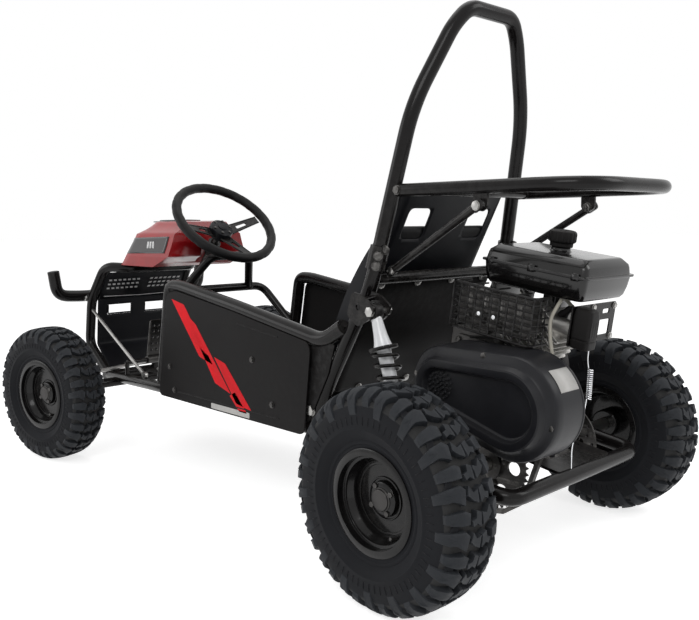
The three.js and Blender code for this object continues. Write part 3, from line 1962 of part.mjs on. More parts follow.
// Recoil starter and its handle
const recoilFace = -blockRight - seatGap - recoilDeep;
add(
  "recoil_starter",
  joined(
    across(crankAt, crankRise, recoilFace + recoilStep, -blockRight - seatGap, recoilRadius, wheelSides),
    across(crankAt, crankRise, recoilFace, -blockRight - recoilStep, recoilBoss, wheelSides),
  ),
  plasticBlack,
  arm,
);
const handleReach = (recoilRadius * facetFlat + handleRadius + seatGap) * Math.SQRT1_2;
const handleMid = recoilFace + recoilDeep / 2;
add(
  "starter_handle",
  across(
    crankAt - handleReach,
    crankRise + handleReach,
    handleMid - handleHalf,
    handleMid + handleHalf,
    handleRadius,
    smallSides,
  ),
  plasticBlack,
  arm,
);

// Seat: a shell bent along one curve, with raised sides, and the pad that fills it
const seatCurve = new THREE.CatmullRomCurve3(
  [
    [seatFrontX, seatFrontLevel],
    [(seatFrontX + seatLowX) / 2, (seatFrontLevel + seatLowLevel) / 2 - seatWall],
    [seatLowX, seatLowLevel],
    [seatBendX, seatBendLevel],
    [seatBackX, seatBackLevel],
    [seatTopX, seatTopLevel],
  ].map(([x, z]) => new THREE.Vector3(x, 0, z)),
  false,
  "centripetal",
);
// A point lifted from the seat's curve towards whoever sits in it
const onSeat = (share, y, lift) => {
  const point = seatCurve.getPointAt(share);
  const along = seatCurve.getTangentAt(share);
  return [point.x + along.z * lift, y, point.z - along.x * lift];
};
const seatBand = (depthAt) => {
  const outer = [];
  const inner = [];
  for (let i = 0; i <= seatSteps; i += 1) {
    const share = i / seatSteps;
    const [x0, , z0] = onSeat(share, 0, 0);
    const [x1, , z1] = onSeat(share, 0, depthAt(share));
    outer.push([x0, z0]);
    inner.push([x1, z1]);
  }
  return [...outer, ...inner.reverse()];
};
const wingDepthAt = (share) => {
  const rise = Math.sin(Math.PI * Math.min(1, share * wingRunShare)) ** wingEaseShare;
  return wingDepth * (wingLowShare + (1 - wingLowShare) * rise);
};
const seatLeg = (x, level, side) => {
  const y = side * (seatHalf - wingDepth);
  return block(x - tubeRadius, x + tubeRadius, y, y + side * seatWall, floorTop + seatGap, level);
};
const harnessHoles = both((side) =>
  block(0, seatBackX, side * holeInner, side * holeOuter, holeLow, holeHigh),
);
add(
  "seat_shell",
  without(
    joined(
      sidePlate(seatBand(() => seatWall), -seatHalf, seatHalf),
      both((side) => sidePlate(seatBand(wingDepthAt), side * (seatHalf - seatWall), side * seatHalf)),
      both((side) => seatLeg(seatLowX + 2 * tubeRadius, seatLowLevel + seatWall / 2, side)),
      both((side) => seatLeg(seatFrontX - 2 * tubeRadius, seatFrontLevel, side)),
    ),
    harnessHoles,
  ),
  plasticBlack,
);
const padHalf = seatHalf - seatWall - seatGap;
const groove = (value, at) => Math.max(0, 1 - Math.abs(value - at) / channelShare);
const padLift = (share, acrossShare) => {
  const turn = acrossShare * 2 - 1;
  const ends = Math.min(1, share / padFrontShare, (1 - share) / padTopShare);
  const edges = Math.min(1, (1 - Math.abs(turn)) / padSideShare);
  const crown = padCrown * Math.cos((turn * Math.PI) / 2) * Math.sin(Math.PI * share);
  const channels = padChannel * Math.max(
    ...channelShares.map((at) => groove(share, at)),
    ...seamShares.map((at) => groove(acrossShare, at)),
  );
  const full = padThick + crown - channels;
  return padEdge + (full - padEdge) * Math.sqrt(Math.max(0, ends)) * Math.sqrt(Math.max(0, edges));
};
const padSurface = (liftAt) => (share, acrossShare) => {
  const within = (1 + share * (seatSteps - 2)) / seatSteps;
  return onSeat(within, padHalf * (acrossShare * 2 - 1), seatWall + seatGap + liftAt(share, acrossShare));
};
add(
  "seat_pad",
  without(between(padSurface(() => 0), padSurface(padLift), seatSteps - 2, padColumns), harnessHoles),
  seatBlack,
);

// The whole kart is centred over its own footprint
kart.position.x = -(bumperX + bumperRadius - rackReach - rackRadius) / 2;

export default kart;
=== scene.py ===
import math
import random

import bmesh
import bpy
from mathutils import Matrix, Quaternion, Vector
from mathutils.geometry import tessellate_polygon
from mathutils.noise import fractal


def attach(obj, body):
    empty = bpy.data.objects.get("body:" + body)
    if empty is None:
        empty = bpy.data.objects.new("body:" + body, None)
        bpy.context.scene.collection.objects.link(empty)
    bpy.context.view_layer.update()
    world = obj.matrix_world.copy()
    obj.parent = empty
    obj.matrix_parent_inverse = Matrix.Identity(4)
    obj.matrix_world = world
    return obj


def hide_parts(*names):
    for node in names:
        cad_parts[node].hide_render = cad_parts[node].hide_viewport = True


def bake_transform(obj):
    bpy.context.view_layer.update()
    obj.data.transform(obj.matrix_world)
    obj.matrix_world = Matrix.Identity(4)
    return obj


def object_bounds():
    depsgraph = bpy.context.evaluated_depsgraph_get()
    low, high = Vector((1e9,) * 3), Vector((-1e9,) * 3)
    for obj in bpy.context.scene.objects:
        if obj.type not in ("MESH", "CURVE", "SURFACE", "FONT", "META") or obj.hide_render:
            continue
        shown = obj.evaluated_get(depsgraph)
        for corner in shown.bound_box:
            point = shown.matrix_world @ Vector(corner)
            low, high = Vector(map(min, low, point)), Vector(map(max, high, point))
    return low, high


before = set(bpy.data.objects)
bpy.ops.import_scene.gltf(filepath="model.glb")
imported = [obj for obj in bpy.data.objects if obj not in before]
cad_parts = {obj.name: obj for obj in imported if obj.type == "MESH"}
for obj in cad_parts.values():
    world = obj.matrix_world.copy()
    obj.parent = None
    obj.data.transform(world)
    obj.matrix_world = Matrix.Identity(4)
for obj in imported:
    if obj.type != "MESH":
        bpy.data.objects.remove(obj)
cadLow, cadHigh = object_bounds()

scene = bpy.context.scene
scene.view_settings.view_transform = "Standard"

# ---- places: millimetres from the rear axle on the ground line, as the frame was measured
layout = {
    "rearAxle": -594.4,       # where the rear axle sits along the centred kart
    "armPivot": (335.0, 236.0),
    "armTilt": math.atan2(68.0, 461.0),
    "tubeRound": 0.97,        # a round tube that fits inside the faceted one
}


def spot(x, y, z):
    return Vector(((x + layout["rearAxle"]) / 1000, y / 1000, z / 1000))


def spots(*points):
    return [spot(*p) for p in points]


def armTurn():
    px, pz = layout["armPivot"]
    return Matrix.Translation(spot(px, 0, pz)) @ Matrix.Rotation(-layout["armTilt"], 4, "Y")


def armSpot(along, y, up):
    return armTurn() @ Vector((along / 1000, y / 1000, up / 1000))


def facing(origin, direction, upward=(0, 0, 1)):
    z = Vector(direction).normalized()
    x = Vector(upward).cross(z)
    if x.length < 1e-6:
        x = Vector((1, 0, 0))
    x.normalize()
    y = z.cross(x)
    turn = Matrix((x, y, z)).transposed().to_4x4()
    return Matrix.Translation(origin) @ turn


# ---- camera, fitted to the wheels and the frame in the photograph
camera = {
    "place": (-1.42875, 1.20506, 0.59533),
    "right": (-0.68777753, -0.72587708, -0.00803349),
    "up": (0.0717516, -0.07898962, 0.99428987),
    "ahead": (0.72236679, -0.68327382, -0.10641013),
    "focalPixels": 806.82,
    "frameWidth": 699,
}
lensData = bpy.data.cameras.new("camera")
lensData.sensor_width = 36
lensData.lens = camera["focalPixels"] * lensData.sensor_width / camera["frameWidth"]
lensData.clip_start = 0.05
cameraObject = bpy.data.objects.new("camera", lensData)
scene.collection.objects.link(cameraObject)
turn = Matrix((camera["right"], camera["up"], tuple(-v for v in camera["ahead"]))).transposed()
cameraObject.matrix_world = Matrix.Translation(camera["place"]) @ turn.to_4x4()
scene.camera = cameraObject
print("camera set")

# ---- shader groups that several finishes share


def groupWith(name, inputs, outputs):
    tree = bpy.data.node_groups.new(name, "ShaderNodeTree")
    for label, kind, value in inputs:
        socket = tree.interface.new_socket(label, in_out="INPUT", socket_type=kind)
        socket.default_value = value
    for label, kind in outputs:
        tree.interface.new_socket(label, in_out="OUTPUT", socket_type=kind)
    return tree, tree.nodes.new("NodeGroupInput"), tree.nodes.new("NodeGroupOutput")


def put(tree, kind, settings=None, **links):
    node = tree.nodes.new(kind)
    for key, value in (settings or {}).items():
        if isinstance(key, str) and hasattr(node, key):
            setattr(node, key, value)
        else:
            node.inputs[key].default_value = value
    for key, source in links.items():
        label = key.replace("_", " ")
        tree.links.new(source, node.inputs[label] if label in node.inputs else node.inputs[int(key[1:])])
    return node


def mathNode(tree, operation, a, b=None, clamp=False):
    node = tree.nodes.new("ShaderNodeMath")
    node.operation = operation
    node.use_clamp = clamp
    for i, value in enumerate((a, b)):
        if value is None:
            continue
        if isinstance(value, (int, float)):
            node.inputs[i].default_value = value
        else:
            tree.links.new(value, node.inputs[i])
    return node.outputs[0]


def mixColor(tree, factor, a, b):
    node = tree.nodes.new("ShaderNodeMix")
    node.data_type = "RGBA"
    for i, value in ((0, factor), (6, a), (7, b)):
        if isinstance(value, (int, float)):
            node.inputs[i].default_value = value
        elif isinstance(value, tuple):
            node.inputs[i].default_value = (*value, 1)[:4]
        else:
            tree.links.new(value, node.inputs[i])
    return node.outputs[2]


def rampNode(tree, source, low, high):
    node = tree.nodes.new("ShaderNodeMapRange")
    node.inputs["From Min"].default_value = low
    node.inputs["From Max"].default_value = high
    tree.links.new(source, node.inputs["Value"])
    return node.outputs[0]


def makeGrain():
    tree, source, out = groupWith(
        "paintGrain",
        [("Scale", "NodeSocketFloat", 900), ("Cloud Scale", "NodeSocketFloat", 9)],
        [("Fine", "NodeSocketFloat"), ("Cloud", "NodeSocketFloat")],
    )
    where = tree.nodes.new("ShaderNodeTexCoord").outputs["Object"]
    fine = put(tree, "ShaderNodeTexNoise", {"Detail": 3.0, "Roughness": 0.6}, Vector=where, Scale=source.outputs["Scale"])
    cloud = put(tree, "ShaderNodeTexNoise", {"Detail": 5.0, "Roughness": 0.65}, Vector=where, Scale=source.outputs["Cloud Scale"])
    tree.links.new(fine.outputs["Fac"], out.inputs["Fine"])
    tree.links.new(cloud.outputs["Fac"], out.inputs["Cloud"])
    return tree


# dust settles on upward faces; on the tyres its bluish colour also paints a sky sheen on the tops, a painted highlight
def makeDustAndSheen():
    tree, source, out = groupWith(
        "settledDustAndSheen",
        [("Amount", "NodeSocketFloat", 0.3), ("Scale", "NodeSocketFloat", 14)],
        [("Mask", "NodeSocketFloat")],
    )
    where = tree.nodes.new("ShaderNodeTexCoord").outputs["Object"]
    patches = put(tree, "ShaderNodeTexNoise", {"Detail": 6.0, "Roughness": 0.7}, Vector=where, Scale=source.outputs["Scale"])
    parts = put(tree, "ShaderNodeSeparateXYZ", None, Vector=tree.nodes.new("ShaderNodeNewGeometry").outputs["Normal"])
    upward = rampNode(tree, parts.outputs["Z"], -0.1, 1.0)
    spread = rampNode(tree, patches.outputs["Fac"], 0.36, 0.72)
    base = mathNode(tree, "MULTIPLY", mathNode(tree, "ADD", upward, 0.25), spread)
    tree.links.new(mathNode(tree, "MULTIPLY", base, source.outputs["Amount"], True), out.inputs["Mask"])
    return tree


# wear lightens sharp edges; on the tyres its bluish colour also paints highlights on the block edges
def makeWearAndSheen():
    tree, source, out = groupWith(
        "edgeWearAndSheen",
        [("Amount", "NodeSocketFloat", 0.3), ("Scale", "NodeSocketFloat", 60)],
        [("Mask", "NodeSocketFloat")],
    )
    where = tree.nodes.new("ShaderNodeTexCoord").outputs["Object"]
    chips = put(tree, "ShaderNodeTexNoise", {"Detail": 4.0, "Roughness": 0.7}, Vector=where, Scale=source.outputs["Scale"])
    edge = rampNode(tree, tree.nodes.new("ShaderNodeNewGeometry").outputs["Pointiness"], 0.53, 0.62)
    chipped = mathNode(tree, "MULTIPLY", edge, rampNode(tree, chips.outputs["Fac"], 0.42, 0.62))
    tree.links.new(mathNode(tree, "MULTIPLY", chipped, source.outputs["Amount"], True), out.inputs["Mask"])
    return tree


groups = {"grain": makeGrain(), "dustAndSheen": makeDustAndSheen(), "wearAndSheen": makeWearAndSheen()}


def useGroup(tree, which, **values):
    node = tree.nodes.new("ShaderNodeGroup")
    node.node_tree = groups[which]
    for key, value in values.items():
        node.inputs[key.replace("_", " ")].default_value = value
    return node


# ---- finishes: one entry for each, with what a user would change
looks = {
    "frameBlack": {"color": (0.0050, 0.0042, 0.0044), "rough": 0.27, "spread": 0.12, "coat": 0.22, "coatRough": 0.14,
                   "specular": 0.08, "grain": 1400, "depth": 0.00004, "dustAndSheen": 0.05, "wearAndSheen": 0.25, "wearAndSheenColor": (0.10, 0.095, 0.09)},
    "panelBlack": {"color": (0.0090, 0.0082, 0.0084), "rough": 0.46, "spread": 0.14, "grain": 1800, "depth": 0.00005,
                   "specular": 0.08, "dustAndSheen": 0.05, "wearAndSheen": 0.2, "wearAndSheenColor": (0.08, 0.08, 0.08)},
    "plasticBlack": {"color": (0.0070, 0.0074, 0.0095), "rough": 0.38, "spread": 0.12, "grain": 2600, "depth": 0.00005,
                     "specular": 0.14, "dustAndSheen": 0.04, "wearAndSheen": 0.1, "wearAndSheenColor": (0.06, 0.06, 0.065)},
    "coverBlack": {"color": (0.0135, 0.0138, 0.0165), "rough": 0.36, "spread": 0.12, "grain": 2600, "depth": 0.00004,
                   "specular": 0.2, "dustAndSheen": 0.05, "wearAndSheen": 0.1, "wearAndSheenColor": (0.10, 0.10, 0.10)},
    "plasticMatte": {"color": (0.0085, 0.0078, 0.0078), "rough": 0.52, "spread": 0.1, "grain": 2200, "depth": 0.00008,
                     "specular": 0.14, "dustAndSheen": 0.07, "wearAndSheen": 0.0, "wearAndSheenColor": (0.06, 0.06, 0.065)},
    "nearBlack": {"color": (0.004, 0.004, 0.0045), "rough": 0.8, "spread": 0.05, "grain": 900, "depth": 0.00003,
                  "dustAndSheen": 0.05, "wearAndSheen": 0.0, "wearAndSheenColor": (0.05, 0.05, 0.05)},
    "rimBlack": {"color": (0.0042, 0.0040, 0.0044), "rough": 0.22, "spread": 0.1, "coat": 0.3, "coatRough": 0.10,
                 "specular": 0.1, "grain": 1200, "depth": 0.00004, "dustAndSheen": 0.06, "wearAndSheen": 0.2, "wearAndSheenColor": (0.12, 0.11, 0.10)},
    # the tyres' bluish-grey dust and wear colours are partly dust and wear and partly painted highlight: a painted sky
    # sheen on the tops and edges of the rubber
    "tyreRubber": {"color": (0.0110, 0.0115, 0.0135), "rough": 0.66, "spread": 0.18, "grain": 700, "depth": 0.00018,
                   "specular": 0.12, "dustAndSheen": 0.15, "dustAndSheenColor": (0.040, 0.043, 0.050), "wearAndSheen": 0.35, "wearAndSheenColor": (0.055, 0.054, 0.054)},
    "treadRubber": {"color": (0.0185, 0.0205, 0.0240), "rough": 0.60, "spread": 0.2, "grain": 600, "depth": 0.00022,
                    "specular": 0.2, "dustAndSheen": 0.2, "dustAndSheenColor": (0.080, 0.086, 0.095), "wearAndSheen": 0.5, "wearAndSheenColor": (0.090, 0.095, 0.105)},
    "beltRubber": {"color": (0.016, 0.016, 0.016), "specular": 0.15, "rough": 0.85, "spread": 0.1, "grain": 1600, "depth": 0.0001,
                   "dustAndSheen": 0.1, "wearAndSheen": 0.0, "wearAndSheenColor": (0.05, 0.05, 0.05)},
    "gripRubber": {"color": (0.0065, 0.0065, 0.0070), "specular": 0.14, "rough": 0.46, "spread": 0.14, "grain": 2400, "depth": 0.00012,
                   "dustAndSheen": 0.1, "wearAndSheen": 0.0, "wearAndSheenColor": (0.05, 0.05, 0.05)},
    "seatVinyl": {"color": (0.0085, 0.0085, 0.0095), "specular": 0.16, "rough": 0.42, "spread": 0.12, "grain": 520, "depth": 0.0004,
                  "dustAndSheen": 0.1, "wearAndSheen": 0.0, "wearAndSheenColor": (0.05, 0.05, 0.05)},
    "noseRed": {"color": (0.36, 0.004, 0.008), "specular": 0.25, "rough": 0.30, "spread": 0.08, "coat": 0.35, "coatRough": 0.14,
                "grain": 300, "depth": 0.00003, "dustAndSheen": 0.08, "wearAndSheen": 0.1, "wearAndSheenColor": (0.5, 0.1, 0.09)},
    "glossDark": {"color": (0.010, 0.006, 0.008), "specular": 0.3, "rough": 0.16, "spread": 0.06, "coat": 0.5, "coatRough": 0.05,
                  "grain": 300, "depth": 0.00002, "dustAndSheen": 0.06, "wearAndSheen": 0.0, "wearAndSheenColor": (0.05, 0.05, 0.05)},
    "decalWhite": {"color": (0.78, 0.78, 0.78), "rough": 0.35, "spread": 0.1, "grain": 900, "depth": 0.00002,
                   "dustAndSheen": 0.15, "wearAndSheen": 0.0, "wearAndSheenColor": (0.5, 0.5, 0.5)},
    "decalRed": {"color": (0.80, 0.010, 0.018), "specular": 0.1, "rough": 0.38, "spread": 0.1, "grain": 900, "depth": 0.00002,
                 "dustAndSheen": 0.06, "wearAndSheen": 0.0, "wearAndSheenColor": (0.5, 0.1, 0.1)},
    "labelPale": {"color": (0.55, 0.54, 0.52), "rough": 0.42, "spread": 0.1, "grain": 700, "depth": 0.00002,
                  "dustAndSheen": 0.2, "wearAndSheen": 0.0, "wearAndSheenColor": (0.4, 0.4, 0.4)},
    "zincSteel": {"color": (0.36, 0.355, 0.345), "rough": 0.34, "spread": 0.16, "metal": 1.0, "grain": 1500,
                  "depth": 0.00006, "dustAndSheen": 0.12, "wearAndSheen": 0.2, "wearAndSheenColor": (0.62, 0.6, 0.57)},
    "darkSteel": {"color": (0.055, 0.053, 0.052), "rough": 0.42, "spread": 0.18, "metal": 1.0, "grain": 1200,
                  "depth": 0.00008, "dustAndSheen": 0.15, "wearAndSheen": 0.3, "wearAndSheenColor": (0.4, 0.39, 0.37)},
    "brightChrome": {"color": (0.72, 0.73, 0.75), "rough": 0.13, "spread": 0.08, "metal": 1.0, "grain": 600,
                     "depth": 0.00001, "dustAndSheen": 0.05, "wearAndSheen": 0.0, "wearAndSheenColor": (0.6, 0.6, 0.6)},
    "shockWhite": {"color": (0.86, 0.87, 0.89), "rough": 0.24, "spread": 0.08, "coat": 0.5, "coatRough": 0.1,
                   "grain": 800, "depth": 0.00002, "dustAndSheen": 0.08, "wearAndSheen": 0.1, "wearAndSheenColor": (0.4, 0.4, 0.4)},
    "castAlloy": {"color": (0.50, 0.49, 0.47), "rough": 0.38, "spread": 0.2, "metal": 1.0, "grain": 520,
                  "depth": 0.00035, "dustAndSheen": 0.22, "wearAndSheen": 0.2, "wearAndSheenColor": (0.5, 0.49, 0.47)},
    "engineBlack": {"color": (0.0075, 0.0068, 0.0070), "rough": 0.36, "spread": 0.14, "grain": 700, "depth": 0.0002,
                    "specular": 0.18, "dustAndSheen": 0.06, "wearAndSheen": 0.3, "wearAndSheenColor": (0.12, 0.12, 0.12)},
    "tankGloss": {"color": (0.0050, 0.0046, 0.0048), "specular": 0.2, "rough": 0.20, "spread": 0.08, "coat": 0.4, "coatRough": 0.08,
                  "grain": 300, "depth": 0.00003, "dustAndSheen": 0.05, "wearAndSheen": 0.1, "wearAndSheenColor": (0.1, 0.1, 0.1)},
    "leadPale": {"color": (0.42, 0.40, 0.34), "rough": 0.55, "spread": 0.1, "grain": 1200, "depth": 0.00005,
                 "dustAndSheen": 0.1, "wearAndSheen": 0.0, "wearAndSheenColor": (0.4, 0.4, 0.4)},
    "cableBlack": {"color": (0.012, 0.012, 0.012), "specular": 0.15, "rough": 0.5, "spread": 0.1, "grain": 1500, "depth": 0.00005,
                   "dustAndSheen": 0.1, "wearAndSheen": 0.0, "wearAndSheenColor": (0.4, 0.4, 0.4)},
}


def makeFinish(name, look):
    material = bpy.data.materials.new(name)
    material.use_nodes = True
    tree = material.node_tree
    shader = tree.nodes["Principled BSDF"]
    grain = useGroup(tree, "grain", Scale=look["grain"], Cloud_Scale=11.0)
    dustAndSheen = useGroup(tree, "dustAndSheen", Amount=look["dustAndSheen"], Scale=16.0)
    wearAndSheen = useGroup(tree, "wearAndSheen", Amount=look["wearAndSheen"], Scale=70.0)
    r, g, b = look["color"]
    cloud = rampNode(tree, grain.outputs["Cloud"], 0.3, 0.7)
    painted = mixColor(tree, cloud, (r * 0.82, g * 0.82, b * 0.82), (r * 1.18, g * 1.18, b * 1.18))
    wornAndSheened = mixColor(tree, wearAndSheen.outputs["Mask"], painted, look["wearAndSheenColor"])
    dustyAndSheened = mixColor(tree, dustAndSheen.outputs["Mask"], wornAndSheened, look.get("dustAndSheenColor", (0.13, 0.12, 0.105)))
    tree.links.new(dustyAndSheened, shader.inputs["Base Color"])
    rough = mathNode(tree, "ADD", mathNode(tree, "MULTIPLY", cloud, look["spread"]), look["rough"] - look["spread"] / 2)
    rough = mathNode(tree, "ADD", rough, mathNode(tree, "MULTIPLY", dustAndSheen.outputs["Mask"], 0.5), True)
    tree.links.new(rough, shader.inputs["Roughness"])
    if look.get("metal"):
        metal = mathNode(tree, "SUBTRACT", look["metal"], dustAndSheen.outputs["Mask"], True)
        tree.links.new(metal, shader.inputs["Metallic"])
    if look.get("specular"):
        shader.inputs["Specular IOR Level"].default_value = look["specular"]
    if look.get("coat"):
        shader.inputs["Coat Weight"].default_value = look["coat"]
        shader.inputs["Coat Roughness"].default_value = look["coatRough"]
    bump = put(tree, "ShaderNodeBump", {"Strength": 1.0, "Distance": look["depth"]}, Height=grain.outputs["Fine"])
    tree.links.new(bump.outputs["Normal"], shader.inputs["Normal"])
    return material


finishes = {name: makeFinish(name, look) for name, look in looks.items()}
print("finishes made:", len(finishes))

# ---- mesh helpers; every one adds to an open bmesh, in metres in the kart's frame


def smoothRoute(corners, bend, steps):
    route = [corners[0]]
    for before, here, after in zip(corners, corners[1:], corners[2:]):
        back, on = before - here, after - here
        reach = min(bend, back.length * 0.45, on.length * 0.45)
        start, end = here + back.normalized() * reach, here + on.normalized() * reach
        for i in range(steps + 1):
            t = i / steps
            route.append(start * (1 - t) ** 2 + here * 2 * t * (1 - t) + end * t * t)
    route.append(corners[-1])
    return route


def bridge(mesh, first, second, material=0, closed=True):
    count = len(first)
    for i in range(count if closed else count - 1):
        j = (i + 1) % count
        face = mesh.faces.new((first[i], first[j], second[j], second[i]))
        face.material_index = material
        face.smooth = True


def capLoop(mesh, loop, material=0, flip=False):
    face = mesh.faces.new(list(reversed(loop)) if flip else loop)
    face.material_index = material


def sweep(mesh, route, radius, sides=18, material=0, closed=False, radiusAt=None):
    loops = []
    count = len(route)
    tangents = []
    for i in range(count):
        if closed:
            ahead, behind = route[(i + 1) % count], route[i - 1]
        else:
            ahead, behind = route[min(i + 1, count - 1)], route[max(i - 1, 0)]
        tangents.append((ahead - behind).normalized())
    side = tangents[0].orthogonal().normalized()
    for i, (point, tangent) in enumerate(zip(route, tangents)):
        if i:
            side = tangents[i - 1].rotation_difference(tangent) @ side
        side = (side - tangent * side.dot(tangent)).normalized()
        lift = tangent.cross(side)
        r = radiusAt(i / (count - 1)) if radiusAt else radius
        loops.append([
            mesh.verts.new(point + (side * math.cos(a) + lift * math.sin(a)) * r)
            for a in (2 * math.pi * k / sides for k in range(sides))
        ])
    for a, b in zip(loops, loops[1:]):
        bridge(mesh, a, b, material)
    if closed:
        bridge(mesh, loops[-1], loops[0], material)
    else:
        capLoop(mesh, loops[0], material, True)
        capLoop(mesh, loops[-1], material)


def addTube(mesh, corners, radius, bend=0.06, sides=18, material=0, steps=8):
    sweep(mesh, smoothRoute([Vector(c) for c in corners], bend, steps), radius, sides, material)


def addTurned(mesh, profile, place, sides=40, material=0, closed=False):
    loops = []
    for radius, height in profile:
        if radius < 1e-6:
            loops.append([mesh.verts.new(place @ Vector((0, 0, height)))])
        else:
            loops.append([
                mesh.verts.new(place @ Vector((radius * math.cos(a), radius * math.sin(a), height)))
                for a in (2 * math.pi * k / sides for k in range(sides))
            ])
    pairs = list(zip(loops, loops[1:])) + ([(loops[-1], loops[0])] if closed else [])
    for a, b in pairs:
        if len(a) == 1 and len(b) == 1:
            continue
        if len(a) == 1 or len(b) == 1:
            point, round_ = (a[0], b) if len(a) == 1 else (b[0], a)
            for i in range(sides):
                j = (i + 1) % sides
                order = (point, round_[j], round_[i]) if len(a) == 1 else (round_[i], round_[j], point)
                face = mesh.faces.new(order)
                face.material_index = material
                face.smooth = True
        else:
            bridge(mesh, a, b, material)
    if not closed:
        for loop, flip in ((loops[0], True), (loops[-1], False)):
            if len(loop) > 1:
                capLoop(mesh, loop, material, flip)


def addRod(mesh, start, end, radius, sides=18, material=0, edge=0.0, endRadius=None):
    start, end = Vector(start), Vector(end)
    place = facing(start, end - start, (0.13, 0.2, 0.9))
    length = (end - start).length
    last = radius if endRadius is None else endRadius
    profile = [(radius - edge, 0), (radius, edge), (last, length - edge), (last - edge, length)] if edge else \
        [(radius, 0), (last, length)]
    addTurned(mesh, profile, place, sides, material)


def addBox(mesh, low, high, place=None, material=0, edge=0.0):
    place = place or Matrix()
    low, high = Vector(low), Vector(high)
    corners = [Vector((x, y, z)) for z in (low.z, high.z) for y in (low.y, high.y) for x in (low.x, high.x)]
    verts = [mesh.verts.new(place @ c) for c in corners]
    faces = []
    for loop in ((0, 2, 3, 1), (4, 5, 7, 6), (0, 1, 5, 4), (2, 6, 7, 3), (0, 4, 6, 2), (1, 3, 7, 5)):
        face = mesh.faces.new([verts[i] for i in loop])
        face.material_index = material
        faces.append(face)
    if edge:
        edges = {e for f in faces for e in f.edges}
        made = bmesh.ops.bevel(mesh, geom=list(edges), offset=edge, segments=2, affect="EDGES", profile=0.5)
        for face in made["faces"]:
            face.material_index = material
            face.smooth = True


def addPlate(mesh, outline, thick, place, holes=(), material=0):
    loops = [list(outline), *[list(h) for h in holes]]
    flat = [Vector((x, y, 0)) for loop in loops for x, y in loop]
    triangles = tessellate_polygon([[Vector((x, y, 0)) for x, y in loop] for loop in loops])
    low = [mesh.verts.new(place @ Vector((p.x, p.y, -thick / 2))) for p in flat]
    high = [mesh.verts.new(place @ Vector((p.x, p.y, thick / 2))) for p in flat]
    for a, b, c in triangles:
        if (flat[b] - flat[a]).cross(flat[c] - flat[a]).z < 0:
            a, c = c, a
        for order in ((high[a], high[b], high[c]), (low[c], low[b], low[a])):
            mesh.faces.new(order).material_index = material
    first = 0
    for loop in loops:
        count = len(loop)
        area = sum(loop[i - 1][0] * loop[i][1] - loop[i][0] * loop[i - 1][1] for i in range(count))
        outward = (area > 0) == (first == 0)
        for i in range(count):
            a, b = first + i, first + (i + 1) % count
            order = (low[a], low[b], high[b], high[a]) if outward else (low[b], low[a], high[a], high[b])
            face = mesh.faces.new(order)
            face.material_index = material
            face.smooth = count > 12
        first += count


def circle(x, y, radius, count=20):
    return [(x + radius * math.cos(2 * math.pi * i / count), y + radius * math.sin(2 * math.pi * i / count))
            for i in range(count)]


def roundedOutline(points, radius, steps=5):
    made = []
    count = len(points)
    for i in range(count):
        here = Vector(points[i]).to_2d()
        back = Vector(points[i - 1]).to_2d() - here
        on = Vector(points[(i + 1) % count]).to_2d() - here
        reach = min(radius, back.length * 0.45, on.length * 0.45)
        start, end = here + back.normalized() * reach, here + on.normalized() * reach
        for k in range(steps + 1):
            t = k / steps
            p = start * (1 - t) ** 2 + here * 2 * t * (1 - t) + end * t * t
            made.append((p.x, p.y))
    return made


def rectangle(x0, x1, y0, y1, radius=0.0, steps=4):
    corners = [(x0, y0), (x1, y0), (x1, y1), (x0, y1)]
    return roundedOutline(corners, radius, steps) if radius else corners


def addBolt(mesh, origin, direction, size=0.013, head=0.006, washer=0.009, material=0, nut=False):
    place = facing(Vector(origin), direction, (0.1, 0.3, 0.9))
    addTurned(mesh, [(washer, 0), (washer, 0.0014), (size * 0.3, 0.0014)], place, 20, material)
    hexagon = [(size / 2 / 0.866, 0.0014), (size / 2 / 0.866, head * 0.86), (size * 0.46, head)]
    if nut:
        hexagon += [(size * 0.28, head), (size * 0.28, head + 0.003), (size * 0.2, head + 0.004)]
        addTurned(mesh, hexagon[3:], place, 12, material)
        hexagon = hexagon[:3]
    addTurned(mesh, hexagon, place, 6, material)


def finishPiece(name, mesh, materials, body, replaced=(), angle=38, edge=0.0, segments=2, normals=True):
    if normals:
        bmesh.ops.recalc_face_normals(mesh, faces=mesh.faces)
    data = bpy.data.meshes.new(name)
    mesh.to_mesh(data)
    mesh.free()
    for m in materials:
        data.materials.append(finishes[m])
    data.shade_smooth()
    data.set_sharp_from_angle(angle=math.radians(angle))
    piece = bpy.data.objects.new(name, data)
    scene.collection.objects.link(piece)
    if edge:
        bevel = piece.modifiers.new("edges", "BEVEL")
        bevel.width, bevel.segments, bevel.limit_method = edge, segments, "ANGLE"
        bevel.angle_limit = math.radians(angle)
        bevel.harden_normals = False
    if body:
        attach(piece, body)
    if replaced:
        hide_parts(*replaced)
    return piece


sides = (("left", 1), ("right", -1))

# ---- stage: a white floor and backdrop, soft lamps
stage = {
    "white": (1.0, 1.0, 1.0),
    "floorShade": 0.74,
    "keyPower": 52.0,
    "fillPower": 20.0,
    "rimPower": 24.0,
    "topPower": 27.0,
}


